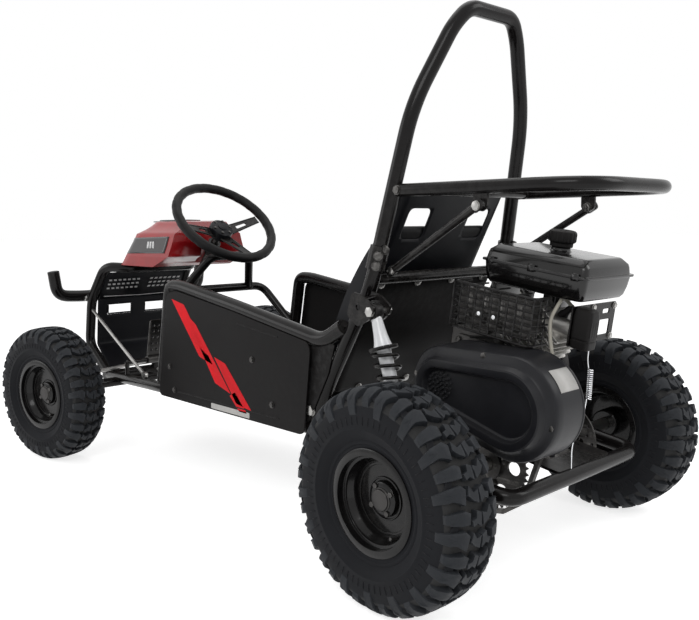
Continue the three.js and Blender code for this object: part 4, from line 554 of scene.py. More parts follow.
def makeStage():
    material = bpy.data.materials.new("studioFloor")
    material.use_nodes = True
    tree = material.node_tree
    shader = tree.nodes["Principled BSDF"]
    shader.inputs["Base Color"].default_value = (0.82, 0.82, 0.82, 1)
    shader.inputs["Roughness"].default_value = 0.9
    shader.inputs["Specular IOR Level"].default_value = 0.1
    out = tree.nodes["Material Output"]
    path = tree.nodes.new("ShaderNodeLightPath")
    glow = tree.nodes.new("ShaderNodeEmission")
    glow.inputs["Color"].default_value = (1, 1, 1, 1)
    seen = mathNode(tree, "MAXIMUM", path.outputs["Is Camera Ray"], path.outputs["Is Glossy Ray"])
    tree.links.new(mathNode(tree, "MULTIPLY", seen, stage["floorShade"]), glow.inputs["Strength"])
    both = tree.nodes.new("ShaderNodeAddShader")
    tree.links.new(shader.outputs[0], both.inputs[0])
    tree.links.new(glow.outputs[0], both.inputs[1])
    tree.links.new(both.outputs[0], out.inputs["Surface"])
    data = bpy.data.meshes.new("floor")
    reach = 30.0
    low = cadLow.z - 0.0005
    data.from_pydata([(-reach, -reach, low), (reach, -reach, low), (reach, reach, low), (-reach, reach, low)], [], [(0, 1, 2, 3)])
    data.materials.append(material)
    floor = bpy.data.objects.new("floor", data)
    scene.collection.objects.link(floor)
    world = bpy.data.worlds.new("world")
    scene.world = world
    world.use_nodes = True
    tree = world.node_tree
    path = tree.nodes.new("ShaderNodeLightPath")
    background = tree.nodes["Background"]
    background.inputs["Color"].default_value = (1, 1, 1, 1)
    seen = mathNode(tree, "MAXIMUM", path.outputs["Is Camera Ray"], path.outputs["Is Transmission Ray"])
    seen = mathNode(tree, "MAXIMUM", seen, path.outputs["Is Glossy Ray"])
    strength = mathNode(tree, "ADD", mathNode(tree, "MULTIPLY", seen, 0.62), 0.38)
    tree.links.new(strength, background.inputs["Strength"])


def addLamp(name, place, target, size, power):
    data = bpy.data.lights.new(name, "AREA")
    data.shape = "RECTANGLE"
    data.size, data.size_y = size
    data.energy = power
    lamp = bpy.data.objects.new(name, data)
    scene.collection.objects.link(lamp)
    direction = Vector(target) - Vector(place)
    lamp.matrix_world = Matrix.Translation(place) @ direction.to_track_quat("-Z", "Y").to_matrix().to_4x4()


makeStage()
addLamp("keyLamp", (-2.4, 3.0, 3.0), (0, 0, 0.4), (2.4, 1.6), stage["keyPower"])
addLamp("fillLamp", (2.6, 2.6, 1.6), (0.1, 0, 0.3), (2.0, 1.6), stage["fillPower"])
addLamp("rimLamp", (-2.6, -1.8, 2.4), (-0.2, 0, 0.4), (1.4, 1.8), stage["rimPower"])
addLamp("topLamp", (0.4, -0.4, 3.6), (0, 0, 0), (2.6, 2.6), stage["topPower"])
print("stage set")

# ---- tube frame
tubes = {"frame": 0.014, "beam": 0.013, "side": 0.016, "bar": 0.014, "rack": 0.0115, "strut": 0.007,
         "bumper": 0.017, "support": 0.011, "pedalRod": 0.006}
for key in tubes:
    tubes[key] *= layout["tubeRound"]


def barAt(level, side):
    share = (level - 530) / (796 - 530)
    return (167 + (110 - 167) * share, side * (190 + (160 - 190) * share), level)


def railAt(x, side):
    share = max(0, (x - 880) / (1285 - 880))
    return (x, side * (200 + (145 - 200) * share), 200 + (172 - 200) * share)


def weldBead(mesh, centre, axis, radius, material=0):
    route = []
    place = facing(centre, axis, (0.2, 0.1, 1))
    for i in range(28):
        a = 2 * math.pi * i / 28
        wave = 1 + 0.012 * math.sin(i * 5.1)
        route.append(place @ Vector((radius * wave * math.cos(a), radius * wave * math.sin(a), 0)))
    sweep(mesh, route, 0.0019, 6, material, closed=True)


def platePath(points, y, thick, mesh, material=0, holes=(), bolts=()):
    outline = [spot(x, 0, z) for x, z in points]
    place = Matrix.Translation((0, y / 1000, 0)) @ Matrix.Rotation(math.pi / 2, 4, "X")
    flat = [(p.x, p.z) for p in outline]
    cut = []
    for x, z, r in holes:
        centre = spot(x, 0, z)
        cut.append(circle(centre.x, centre.z, r / 1000))
    addPlate(mesh, flat, thick / 1000, place, cut, material)


def makeLowerFrame():
    mesh = bmesh.new()
    for _, s in sides:
        addTube(mesh, spots((345, s * 200, 200), (880, s * 200, 200), railAt(1285, s)), tubes["frame"], 0.06)
        # axle fork and kingpin
        inner, outer, web = s * 263, s * 312, s * 269
        for low, high in ((202.5, 208.5), (130.5, 136.5)):
            addBox(mesh, spot(1178, min(inner, outer), low), spot(1210, max(inner, outer), high), edge=0.0012)
        addBox(mesh, spot(1178, min(inner, web), 130.5), spot(1210, max(inner, web), 208.5), edge=0.0012)
        addBolt(mesh, spot(1194, s * 296, 208.5), (0, 0, 1), 0.019, 0.010, 0.013, 1)
        addBolt(mesh, spot(1194, s * 296, 130.5), (0, 0, -1), 0.017, 0.005, 0.012, 1)
        addRod(mesh, spot(1194, s * 296, 131), spot(1194, s * 296, 208), 0.0068, 16, 1)
        # the swing arm's pivot: two ears on the cross tube and a bolt
        ears = [(331, 195), (373, 195), (351, 251), (319, 251)]
        rounded = roundedOutline(ears, 9)
        for y in (s * 136.5 - s * 7, s * 163.5 + s * 7):
            platePath(rounded, y, 7, mesh)
        addRod(mesh, spot(335, s * 126, 236), spot(335, s * 204, 236), 0.0078, 18, 1)
        addBolt(mesh, spot(335, s * 204.4, 236), (0, s, 0), 0.019, 0.0065, 0.0125, 1)
        addBolt(mesh, spot(335, s * 125.5, 236), (0, -s, 0), 0.019, 0.009, 0.0125, 1, nut=True)
        post = railAt(1140, s)
        addRod(mesh, spot(1140, post[1], 188), spot(1140, post[1], 230), tubes["pedalRod"], 14)
        weldBead(mesh, spot(690, s * 185, 200), (0, 1, 0), 0.0133)
        weldBead(mesh, spot(345, s * 186, 200), (0, 1, 0), 0.014)
        weldBead(mesh, spot(1194, s * 262, 169.5), (0, 1, 0), 0.0133)
    addTube(mesh, spots((345, -200, 200), (345, 200, 200)), tubes["frame"])
    addTube(mesh, spots((690, -200, 200), (690, 200, 200)), tubes["beam"])
    addTube(mesh, spots((1194, -264, 169.5), (1194, 264, 169.5)), tubes["beam"])
    addTube(mesh, spots((1285, -159, 172), (1285, 159, 172)), tubes["frame"])
    addTube(mesh, spots((1140, -railAt(1140, 1)[1], 228), (1140, railAt(1140, 1)[1], 228)), tubes["pedalRod"])
    # the steering column's lower bush on its stay
    low, high = columnAt(pitmanReach + 16), columnAt(pitmanReach + 32)
    axis = (high - low).normalized()
    place = facing(low, axis, (0, 1, 0))
    addTurned(mesh, [(0.0108, 0), (0.0168, 0), (0.0168, 0.016), (0.0108, 0.016)], place, 28, 0, closed=True)
    addTube(mesh, [spot(1285, 0, 172), high + Vector((0, 0, -0.016))], 0.0125, sides=18)
    return finishPiece("lowerFrame", mesh, ["frameBlack", "zincSteel"], "frame", ["frame_lower"])


columnTilt = math.radians(46.4)
pitmanReach = (602 - 214 - 42 * math.cos(columnTilt)) / math.sin(columnTilt)


def columnAt(reach, lift=0.0, y=0.0):
    x = 903 + reach * math.cos(columnTilt) + lift * math.sin(columnTilt)
    return spot(x, y, 602 - reach * math.sin(columnTilt) + lift * math.cos(columnTilt))


sideCorners = [(893, 200), (846, 452), (800, 452), (567, 418), (300, 373), (232, 413)]


def makeSideRails():
    for name, s in sides:
        mesh = bmesh.new()
        corners = [(893, 212), *sideCorners[1:-1], (243, 406.5)]
        addTube(mesh, spots(*[(x, s * 200, z) for x, z in corners]), tubes["side"], 0.048, 20)
        weldBead(mesh, spot(889, s * 200, 216), (-0.18, 0, 0.98), 0.0162)
        finishPiece("sideRail." + name, mesh, ["frameBlack"], "frame", ["side_rail_" + name])


def makeRearFrame():
    mesh = bmesh.new()
    for _, s in sides:
        top = barAt(546, s)
        addTube(mesh, spots((340, s * 190, 216), (292, s * 190, 300), barAt(478, s), top), tubes["frame"], 0.06, 20)
        ear = roundedOutline([(123, 452), (137, 431), (165, 417), (192, 436), (178, 478), (151, 473)], 8)
        platePath(ear, s * 199.5, 5, mesh, holes=[(163, 452, 6)])
        platePath(ear, s * 239.5, 4, mesh, holes=[(163, 452, 6)])
        addRod(mesh, spot(137, s * 197, 445), spot(137, s * 241.5, 445), 0.0049, 16, 1)
        addBolt(mesh, spot(137, s * 236.8, 445), (0, s, 0), 0.016, 0.0062, 0.0098, 1)
        addBolt(mesh, spot(137, s * 197, 445), (0, -s, 0), 0.014, 0.007, 0.009, 1, nut=True)
        addTube(mesh, spots((160, s * 206, 466), (158, s * 236, 463)), 0.005)
        weldBead(mesh, spot(*barAt(497, s)), (0, 1, 0), 0.0112)
    cross = barAt(497, 1)
    addTube(mesh, spots((cross[0], -cross[1], 497), (cross[0], cross[1], 497)), 0.011, sides=18)
    return finishPiece("rearFrame", mesh, ["frameBlack", "zincSteel"], "frame", ["rear_frame"])


def makeRollBar():
    mesh = bmesh.new()
    corners = []
    for s in (1, -1):
        leg = [barAt(546.5, s), (110, s * 160, 796), (77, s * 93.24, 932), (66, s * 62, 966)]
        corners += leg if s > 0 else leg[::-1]
    sweep(mesh, smoothRoute(spots(*corners), 0.052, 10), tubes["bar"], 24)
    for _, s in sides:
        low, high = spot(*barAt(514.5, s)), spot(*barAt(555.5, s))
        place = facing(low, high - low, (0, 1, 0))
        length = (high - low).length
        inner, outer = 0.0145, 0.0176
        addTurned(mesh, [(inner, 0), (outer, 0), (outer, length), (inner, length)], place, 28, 0, closed=True)
        # the clamp bolts that hold the hoop on its uprights, two at each foot
        for level, turn in ((521, 0.35), (539, 0.35), (549, -1.1)):
            centre = spot(*barAt(level, s))
            out = Vector((-math.cos(turn), s * math.sin(turn + 1.2), 0)).normalized()
            addBolt(mesh, centre + out * 0.0165, out, 0.0125, 0.006, 0.0085, 1)
            if level == 539:
                addBolt(mesh, centre - out * 0.0165, -out, 0.0125, 0.007, 0.0085, 1, nut=True)
    return finishPiece("rollBar", mesh, ["frameBlack", "darkSteel"], "frame", ["roll_bar"])


def makeRack():
    mesh = bmesh.new()
    mount = barAt(652, 1)
    front, half = mount[0] + 14, mount[1]
    loop = [(mount[0] - 13, half, 652), (-221.2, 150, 652), (-221.2, -150, 652), (mount[0] - 13, -half, 652)]
    addTube(mesh, spots(*loop), tubes["rack"], 0.095, 22, steps=12)

    def rackSide(x):
        return half + (150 - half) * (mount[0] - x) / (mount[0] + 222)

    addTube(mesh, spots((104, -rackSide(104), 652), (104, rackSide(104), 652)), 0.0092)
    for _, s in sides:
        y = s * 163.1
        tab = roundedOutline([(-53, 655), (-25, 655), (-25, 620), (-39, 612), (-53, 620)], 6)
        platePath(tab, y, 5, mesh, holes=[])
        addBolt(mesh, spot(-39, y - s * 3, 622), (0, -s, 0), 0.013, 0.0075, 0.009, 2, nut=True)
        # flat lug that bolts the loop to the roll bar's leg
        lug = roundedOutline([(mount[0] - 30, 659), (mount[0] + 8, 664), (mount[0] + 8, 642), (mount[0] - 30, 645)], 5)
        platePath(lug, s * (half + 6.5), 3.5, mesh)
        addBolt(mesh, spot(mount[0] - 18, s * (half + 9), 652), (0, s, 0), 0.012, 0.0055, 0.0085, 1)
        weldBead(mesh, spot(104, s * rackSide(104) * 0.94, 652), (0, 1, 0), 0.0094)
    rack = finishPiece("rearRack", mesh, ["frameBlack", "darkSteel"], "frame", ["rear_rack"])
    for name, s in sides:
        mesh = bmesh.new()
        top = Vector((-39, s * 172.8, 622))
        foot = Vector((152, s * (barAt(512, 1)[1] - 25.3), 512))
        run = foot - top
        addTube(mesh, spots(tuple(top + run * 0.035), tuple(foot - run * 0.03)), tubes["strut"], sides=16)
        # flattened ends with their bolts
        for end, toward in ((top, 1), (foot, -1)):
            along = run.normalized() * toward
            place = facing(spot(*end), (0, s, 0), tuple(along))
            outline = roundedOutline([(-0.0085, -0.013), (0.0085, -0.013), (0.0085, 0.013), (-0.0085, 0.013)], 0.007, 6)
            addPlate(mesh, outline, 0.0052, place)
            addBolt(mesh, spot(*(end + Vector((0, s * 2.6, 0)))), (0, s, 0), 0.013, 0.0045, 0.008, 1)
        finishPiece("rackStrut." + name, mesh, ["frameBlack", "zincSteel"], "frame", ["rack_strut_" + name])
    return rack


def legRoute(s):
    foot = railAt(1285, s)
    return [(foot[0] + 13, foot[1], foot[2] + 9), (1398, foot[1], 250), (1374, foot[1], 385),
            (1300, s * 245 * 0.56, 480), (1225, s * 100, 477)]


def makeFront():
    mesh = bmesh.new()
    addTube(mesh, spots(*legRoute(1), *legRoute(-1)[::-1]), tubes["frame"], 0.030, 20)
    finishPiece("frontFrame", mesh, ["frameBlack"], "frame", ["front_frame"])
    # thin plated stays from the frame's front legs back to the lower rails
    mesh = bmesh.new()
    for _, s in sides:
        high, low = spot(1376, s * 146, 356), spot(1018, s * 181, 211)
        addRod(mesh, high, low, 0.0042, 14, 0)
        for end in (high, low):
            addTurned(mesh, [(0.0042, -0.004), (0.0095, -0.004), (0.0095, 0.004), (0.0042, 0.004)],
                      facing(end, (0, 1, 0), (1, 0, 0)), 18, 0, closed=True)
    finishPiece("frontStays", mesh, ["zincSteel"], "frame", [])
    mesh = bmesh.new()
    bumperX = 1374 + 14 + 17 - 0.9
    horn = lambda s: [(bumperX, s * 243, 466), (bumperX, s * 233.8, 397.7), (bumperX, s * 171, 392)]
    addTube(mesh, spots(*horn(1), *horn(-1)[::-1]), tubes["bumper"], 0.036, 22)
    for _, s in sides:
        addBox(mesh, spot(bumperX - 28, s * 145 - 12, 377), spot(bumperX, s * 145 + 12, 396), edge=0.002)
        # round plug in each horn's end
        place = Matrix.Translation(spot(bumperX, s * 243, 466)) @ Matrix.Rotation(-s * 0.13, 4, "X")
        addTurned(mesh, [(0.0160, -0.008), (0.0163, -0.004), (0.0154, 0.001), (0.010, 0.0022), (0, 0.0024)], place, 24, 1)
        addBolt(mesh, spot(bumperX - 20, s * 157, 386), (0, s, 0), 0.012, 0.005, 0.008, 2)
    finishPiece("frontBumper", mesh, ["frameBlack", "plasticBlack", "zincSteel"], "frame", ["front_bumper"])


def makeSupport():
    mesh = bmesh.new()
    hoop = [(872, 184, 330), (950, 150, 428), (950, -150, 428), (872, -184, 330)]
    addTube(mesh, spots(*hoop), tubes["support"], 0.030)
    upper = [(950, 104, 428), (882, 58, 516), (882, -58, 516), (950, -104, 428)]
    addTube(mesh, spots(*upper), tubes["support"], 0.020)
    sleeve = columnAt(88)
    addTube(mesh, [spot(882, 0, 516), sleeve], 0.0085)
    top, low = columnAt(72), columnAt(104)
    place = facing(top, low - top, (0, 1, 0))
    addTurned(mesh, [(0.0106, 0), (0.0168, 0), (0.0168, 0.032), (0.0106, 0.032)], place, 28, 0, closed=True)
    for _, s in sides:
        weldBead(mesh, spot(948, s * 103, 430), (-0.55, -s * 0.3, 0.7), 0.0112)
    finishPiece("steeringSupport", mesh, ["frameBlack"], "frame", ["steering_support"])


makeLowerFrame()
makeSideRails()
makeRearFrame()
makeRollBar()
makeRack()
makeFront()
makeSupport()
print("tube frame made")

# ---- side panels, with a plain striped decal of our own and their bolts
panel = {
    "outline": [(344, 186), (886, 186), (838, 436), (800, 444), (567, 411), (330, 371), (322, 356)],
    "thick": 3.0,
    "bolts": [(833, 262), (815, 208), (507, 316), (442, 231)],
    # four slanted bars that step down from the front corner
    "bars": [
        [(816, 424), (764, 414), (652, 288), (704, 300)],
        [(760, 396), (716, 372), (586, 232), (644, 248)],
        [(646, 306), (604, 296), (512, 206), (566, 214)],
        [(590, 228), (570, 238), (528, 198), (556, 198)],
    ],
    "label": [(662, 189), (520, 189), (520, 201), (662, 201)],
}


def makePanels():
    for name, s in sides:
        mesh = bmesh.new()
        middle = 213.2 + panel["thick"] / 2
        outline = roundedOutline(panel["outline"], 16, 6)
        platePath(outline, s * middle, panel["thick"], mesh)
        # a rolled flange and a pressed swage stiffen the sheet
        face = s * (middle + panel["thick"] / 2)
        for x0, x1, z0, z1 in ((420, 800, 206, 206), (420, 560, 372, 388)):
            addTube(mesh, [spot(x0, face - s * 1.2, z0), spot(x1, face - s * 1.2, z1)], 0.0022, sides=10)
        for x, z in panel["bolts"]:
            addBolt(mesh, spot(x, face, z), (0, s, 0), 0.0095, 0.0040, 0.0070, 1)
        piece = finishPiece("sidePanel." + name, mesh, ["panelBlack", "darkSteel"], "frame",
                            ["side_panel_" + name], edge=0.0007)
        # a gusset closes the corner between the panel, the rail and the frame's leg
        mesh = bmesh.new()
        gusset = roundedOutline([(350, 208), (338, 214), (280, 316), (262, 372), (300, 372), (334, 366)], 5)
        platePath(gusset, s * 206, 2, mesh)
        finishPiece("cornerGusset." + name, mesh, ["panelBlack"], "frame")
        mesh = bmesh.new()
        for bar in panel["bars"]:
            platePath(roundedOutline(bar, 2.5, 3), face + s * 0.2, 0.4, mesh, 0)
        platePath(roundedOutline(panel["label"], 2, 3), face + s * 0.2, 0.4, mesh, 1)
        finishPiece("panelDecal." + name, mesh, ["decalRed", "labelPale"], "frame")
    return piece


def makeFirewall():
    mesh = bmesh.new()
    line = [(331, 230), (292, 300), (192, 495)]
    route = smoothRoute(spots(*[(x, 0, z) for x, z in line]), 0.05, 8)
    columns = 14
    grid = []
    for i, p in enumerate(route):
        row = []
        for j in range(columns + 1):
            y = -0.175 + 0.35 * j / columns
            row.append(mesh.verts.new((p.x, y, p.z)))
        grid.append(row)
    for a, b in zip(grid, grid[1:]):
        for j in range(columns):
            # leaves room for the pivot ears at the foot
            y = abs(a[j].co.y + a[j + 1].co.y) / 2
            if a[j].co.z < 0.262 and 0.112 < y:
                continue
            mesh.faces.new((a[j], a[j + 1], b[j + 1], b[j]))
    piece = finishPiece("firewall", mesh, ["panelBlack", "zincSteel"], "frame", ["firewall"])
    skin = piece.modifiers.new("thickness", "SOLIDIFY")
    skin.thickness, skin.offset = 0.0022, 0
    mesh = bmesh.new()
    for y in (-150, -50, 50, 150):
        addBolt(mesh, spot(196, y, 484), (-0.89, 0, -0.45), 0.012, 0.0045, 0.0085)
        addBolt(mesh, spot(306, y * 0.7, 272), (-0.87, 0, -0.48), 0.012, 0.0045, 0.0085)
    finishPiece("firewallBolts", mesh, ["zincSteel"], "frame")
    return piece


def makeFloor():
    mesh = bmesh.new()
    low, high = 213.4, 215.7
    holes = [circle(*spot(x, 0, 0).to_2d(), 0.009, 20) for x in ()]
    for x in (470, 540, 930, 1000):
        for y in (-110, 110):
            centre = spot(x, y, 0)
            holes.append(circle(centre.x, centre.y, 0.008, 18))
    outline = [(spot(x, y, 0).x, y / 1000) for x, y in
               roundedOutline([(380, -184), (1072, -184 + 38), (1072, 184 - 38), (380, 184)], 14)]
    addPlate(mesh, outline, (high - low) / 1000, Matrix.Translation((0, 0, (low + high) / 2000)), holes)
    for y in (-120, -60, 0, 60, 120):
        addTube(mesh, spots((730, y, high - 1.2), (1040, y * 0.85, high - 1.2)), 0.0026, sides=10)
    for x, y in ((400, 170), (680, 170), (860, 165), (400, -170), (680, -170), (860, -165), (1050, 120), (1050, -120)):
        addBolt(mesh, spot(x, y, high), (0, 0, 1), 0.012, 0.0045, 0.0085, 1)
    finishPiece("floorPan", mesh, ["panelBlack", "zincSteel"], "frame", ["floor_pan"], edge=0.0006)


nose = {
    "rings": [(486, 1318, 1062, 122), (514, 1308, 985, 122), (572, 1268, 981.5, 102.5), (603.4, 1205, 988.5, 62)],
    "frontSteps": 26,
    "sideSteps": 8,
}


def noseRing(t):
    rings = nose["rings"]
    at = min(t * 3, 2.9999)
    i = int(at)
    f = at - i
    # eased between the pressed creases, so that the skin is gently domed
    ease = f + 0.10 * math.sin(math.pi * f) * (1 if i == 2 else 0.4)
    return [a + (b - a) * (f if k == 0 else (ease if k in (1, 3) else f)) for k, (a, b) in
            enumerate(zip(rings[i], rings[i + 1]))]


def nosePoint(t, turn):
    level, front, rear, half = noseRing(t)
    x = rear + (front - rear) * math.sqrt(1 - turn * turn * 0.55)
    return x, half * turn, level


def noseOutline(t):
    level, front, rear, half = noseRing(t)
    shoulder = rear + (front - rear) * math.sqrt(0.45)
    points = [(rear + (shoulder - rear) * i / nose["sideSteps"], half) for i in range(nose["sideSteps"])]
    for i in range(nose["frontSteps"] + 1):
        x, y, _ = nosePoint(t, 1 - 2 * i / nose["frontSteps"])
        points.append((x, y))
    points += [(rear + (shoulder - rear) * (1 - (i + 1) / nose["sideSteps"]), -half) for i in range(nose["sideSteps"])]
    return [spot(x, y, level) for x, y in points]


def makeNose():
    mesh = bmesh.new()
    steps = 18
    loops = []
    for k in range(steps + 1):
        loops.append([mesh.verts.new(p) for p in noseOutline(k / steps)])
    for a, b in zip(loops, loops[1:]):
        bridge(mesh, a, b)
    # the crown: rings drawn in to a shallow dome
    last = noseOutline(1)
    centre = sum(last, Vector()) / len(last)
    previous = loops[-1]
    for share, rise in ((0.93, 1.8), (0.8, 2.6), (0.5, 3.4), (0.2, 3.8)):
        loop = [mesh.verts.new(centre + (p - centre) * share + Vector((0, 0, rise / 1000))) for p in last]
        bridge(mesh, previous, loop)
        previous = loop
    mesh.faces.new(previous)
    piece = finishPiece("noseShell", mesh, ["noseRed"], "frame", ["nose_top"], angle=50)
    # room for the steering column at the rear
    cutter = bmesh.new()
    addTurned(cutter, [(0.023, 0), (0.023, 0.22)], facing(columnAt(60), columnAt(100) - columnAt(60), (0, 1, 0)), 32)
    data = bpy.data.meshes.new("noseCutter")
    cutter.to_mesh(data)
    cutter.free()
    helper = bpy.data.objects.new("noseCutter", data)
    scene.collection.objects.link(helper)
    cut = piece.modifiers.new("columnRoom", "BOOLEAN")
    cut.operation, cut.object, cut.solver = "DIFFERENCE", helper, "EXACT"
    applyModifiers(piece)
    bpy.data.objects.remove(helper)
    # dark glossy inserts on both flanks and a plain pale tick on each
    for name, s in sides:
        mesh = bmesh.new()
        drawPatch(mesh, lambda u, v: flankPoint(u, v, s, 0.8), 22, 8, 0)
        for k in range(3):
            drawPatch(mesh, lambda u, v, k=k: flankPoint(0.24 + 0.055 * k + 0.035 * u + 0.06 * v, 0.30 + 0.42 * v, s, 1.4), 2, 3, 1)
        piece = finishPiece("noseInsert." + name, mesh, ["glossDark", "decalWhite"], "frame")
        skin = piece.modifiers.new("thickness", "SOLIDIFY")
        skin.thickness, skin.offset = 0.0009, 0
    # a scooped vent and the seam strip over the crown
    mesh = bmesh.new()
    for k in range(5):
        x = 1075 + k * 22
        addTube(mesh, spots((x, -36, 607), (x + 5, 0, 608.4), (x, 36, 607)), 0.0022, 0.02, 10)
    for s in (1, -1):
        addTube(mesh, spots((1000, s * 57, 604.5), (1120, s * 56, 605), (1190, s * 40, 604.6)), 0.002, 0.03, 10)
    finishPiece("noseVents", mesh, ["glossDark"], "frame")


def flankPoint(u, v, s, lift):
    t = 0.385 + 0.245 * v - 0.03 * u
    level, front, rear, half = noseRing(t)
    shoulder = rear + (front - rear) * math.sqrt(0.45)
    x = rear + 22 + (shoulder - rear + 48 - 30 * v) * u
    run = min(1.0, max(0.0, (x - shoulder) / (front - shoulder)))
    y = half
    if x > shoulder:
        span = (x - rear) / (front - rear)
        y = half * math.sqrt(max(0.0, (1 - span * span) / 0.55))
    inset = 0.35 * half / 122
    return spot(x + lift * run * 0.8, s * (y + lift * (1 - run * inset)), level + lift * 0.3)


def drawPatch(mesh, surface, uSteps, vSteps, material=0):
    rows = [[mesh.verts.new(surface(i / uSteps, j / vSteps)) for j in range(vSteps + 1)] for i in range(uSteps + 1)]
    for a, b in zip(rows, rows[1:]):
        for j in range(vSteps):
            face = mesh.faces.new((a[j], a[j + 1], b[j + 1], b[j]))
            face.material_index = material
            face.smooth = True
    return rows


def applyModifiers(piece):
    depsgraph = bpy.context.evaluated_depsgraph_get()
    data = bpy.data.meshes.new_from_object(piece.evaluated_get(depsgraph), depsgraph=depsgraph)
    piece.modifiers.clear()
    piece.data = data


cowl = {"face": [(1313, 186), (1384, 250), (1367, 385), (1307, 465.5)], "half": 130, "thick": 3.6}


def cowlPoint(u, y):
    # u runs up the face; the face bows back a little towards its edges
    line = [Vector((x, z)) for x, z in cowl["face"]]
    lengths = [(b - a).length for a, b in zip(line, line[1:])]
    at = u * sum(lengths)
    for a, b, length in zip(line, line[1:], lengths):
        if at <= length:
            break
        at -= length
    p = a.lerp(b, min(1, at / length))
    return p.x - 3.5 * (y / cowl["half"]) ** 2 - 0.5, p.y


def makeCowl():
    mesh = bmesh.new()
    rows = 44
    columns = 44
    grid = []
    for i in range(rows + 1):
        grid.append([])
        for j in range(columns + 1):
            y = cowl["half"] * (2 * j / columns - 1)
            x, z = cowlPoint(i / rows, y)
            grid[-1].append(mesh.verts.new(spot(x, y, z)))
    for a, b in zip(grid, grid[1:]):
        for j in range(columns):
            y = abs(a[j].co.y + a[j + 1].co.y) / 2 * 1000
            z = (a[j].co.z + b[j].co.z) / 2 * 1000
            if 338 < z < 366 and 22 < y < 98:
                continue
            mesh.faces.new((a[j], a[j + 1], b[j + 1], b[j]))
    piece = finishPiece("noseCowl", mesh, ["plasticBlack"], "frame", ["nose_cowl"], angle=50)
    skin = piece.modifiers.new("thickness", "SOLIDIFY")
    skin.thickness, skin.offset = cowl["thick"] / 1000, -1
    # window frames, a pale pinstripe and two short rows of pale bars
    mesh = bmesh.new()
    for s in (1, -1):
        corners = [(22, 338), (98, 338), (98, 366), (22, 366)]
        ring = []
        for (y0, z0), (y1, z1) in zip(corners, corners[1:] + corners[:1]):
            for k in range(6):
                y, z = y0 + (y1 - y0) * k / 6, z0 + (z1 - z0) * k / 6
                ring.append(spot(cowlAtLevel(z, y) + 0.6, s * y, z))
        sweep(mesh, ring, 0.0022, 8, 0, closed=True)
        for lift in (0.5, -cowl["thick"] - 0.7):
            for level in (412, 424, 436):
                for k in range(7):
                    y0 = 16 + k * 15
                    drawPatch(mesh, lambda u, v: spot(cowlAtLevel(level + 5 * v, y0 + 9 * u) + lift,
                                                      s * (y0 + 9 * u + 2 * v), level + 5 * v), 1, 1, 1)
            line = [spot(cowlAtLevel(388 + 3 * (y / 130), y) + lift, s * y, 388 + 3 * (y / 130)) for y in range(0, 126, 9)]
            sweep(mesh, line, 0.0011, 8, 1)
    finishPiece("cowlTrim", mesh, ["plasticBlack", "decalWhite"], "frame", normals=False)


def cowlAtLevel(level, y):
    low, high = 0.0, 1.0
    for _ in range(24):
        middle = (low + high) / 2
        if cowlPoint(middle, y)[1] < level:
            low = middle
        else:
            high = middle
    return cowlPoint(low, y)[0]


def makePedals():
    for name, s in (("throttle", -1), ("brake", 1)):
        mesh = bmesh.new()
        middle = s * 78
        addTurned(mesh, [(0.0066, -0.027), (0.0107, -0.027), (0.0107, 0.027), (0.0066, 0.027)],
                  Matrix.Translation(spot(1140, middle, 228)) @ Matrix.Rotation(math.pi / 2, 4, "X"), 24, 0, closed=True)
        lean = math.atan2(26, 112)
        place = Matrix.Translation(spot(1143, middle, 232)) @ Matrix.Rotation(-lean, 4, "Y")
        face = rectangle(-0.026, 0.026, 0.002, 0.110, 0.008)
        holes = [circle(y, z, 0.0042, 14) for z in (0.024, 0.042, 0.060, 0.078, 0.094) for y in (-0.014, 0, 0.014)]
        flat = place @ Matrix.Rotation(math.pi / 2, 4, "Z") @ Matrix.Rotation(math.pi / 2, 4, "X")
        addPlate(mesh, face, 0.004, flat, holes)
        for y in (-0.0235, 0.0235):
            addTube(mesh, [place @ Vector((-0.001, y, 0.006)), place @ Vector((-0.001, y, 0.104))], 0.0028, sides=10)
        finishPiece(name + "Pedal", mesh, ["darkSteel"], name, [name + "_pedal"], edge=0.0004)


# ---- steering wheel and column, tie rods and spindles
steering = {"rest": math.radians(11.2), "ratio": 1.5, "radius": 0.130, "grip": 0.0122, "spokes": (80, 170, 260)}
columnTurn = (Matrix.Translation(spot(903, 0, 602)) @ Matrix.Rotation(columnTilt - math.pi / 2, 4, "Y")
              @ Matrix.Rotation(steering["rest"] * steering["ratio"], 4, "Z"))


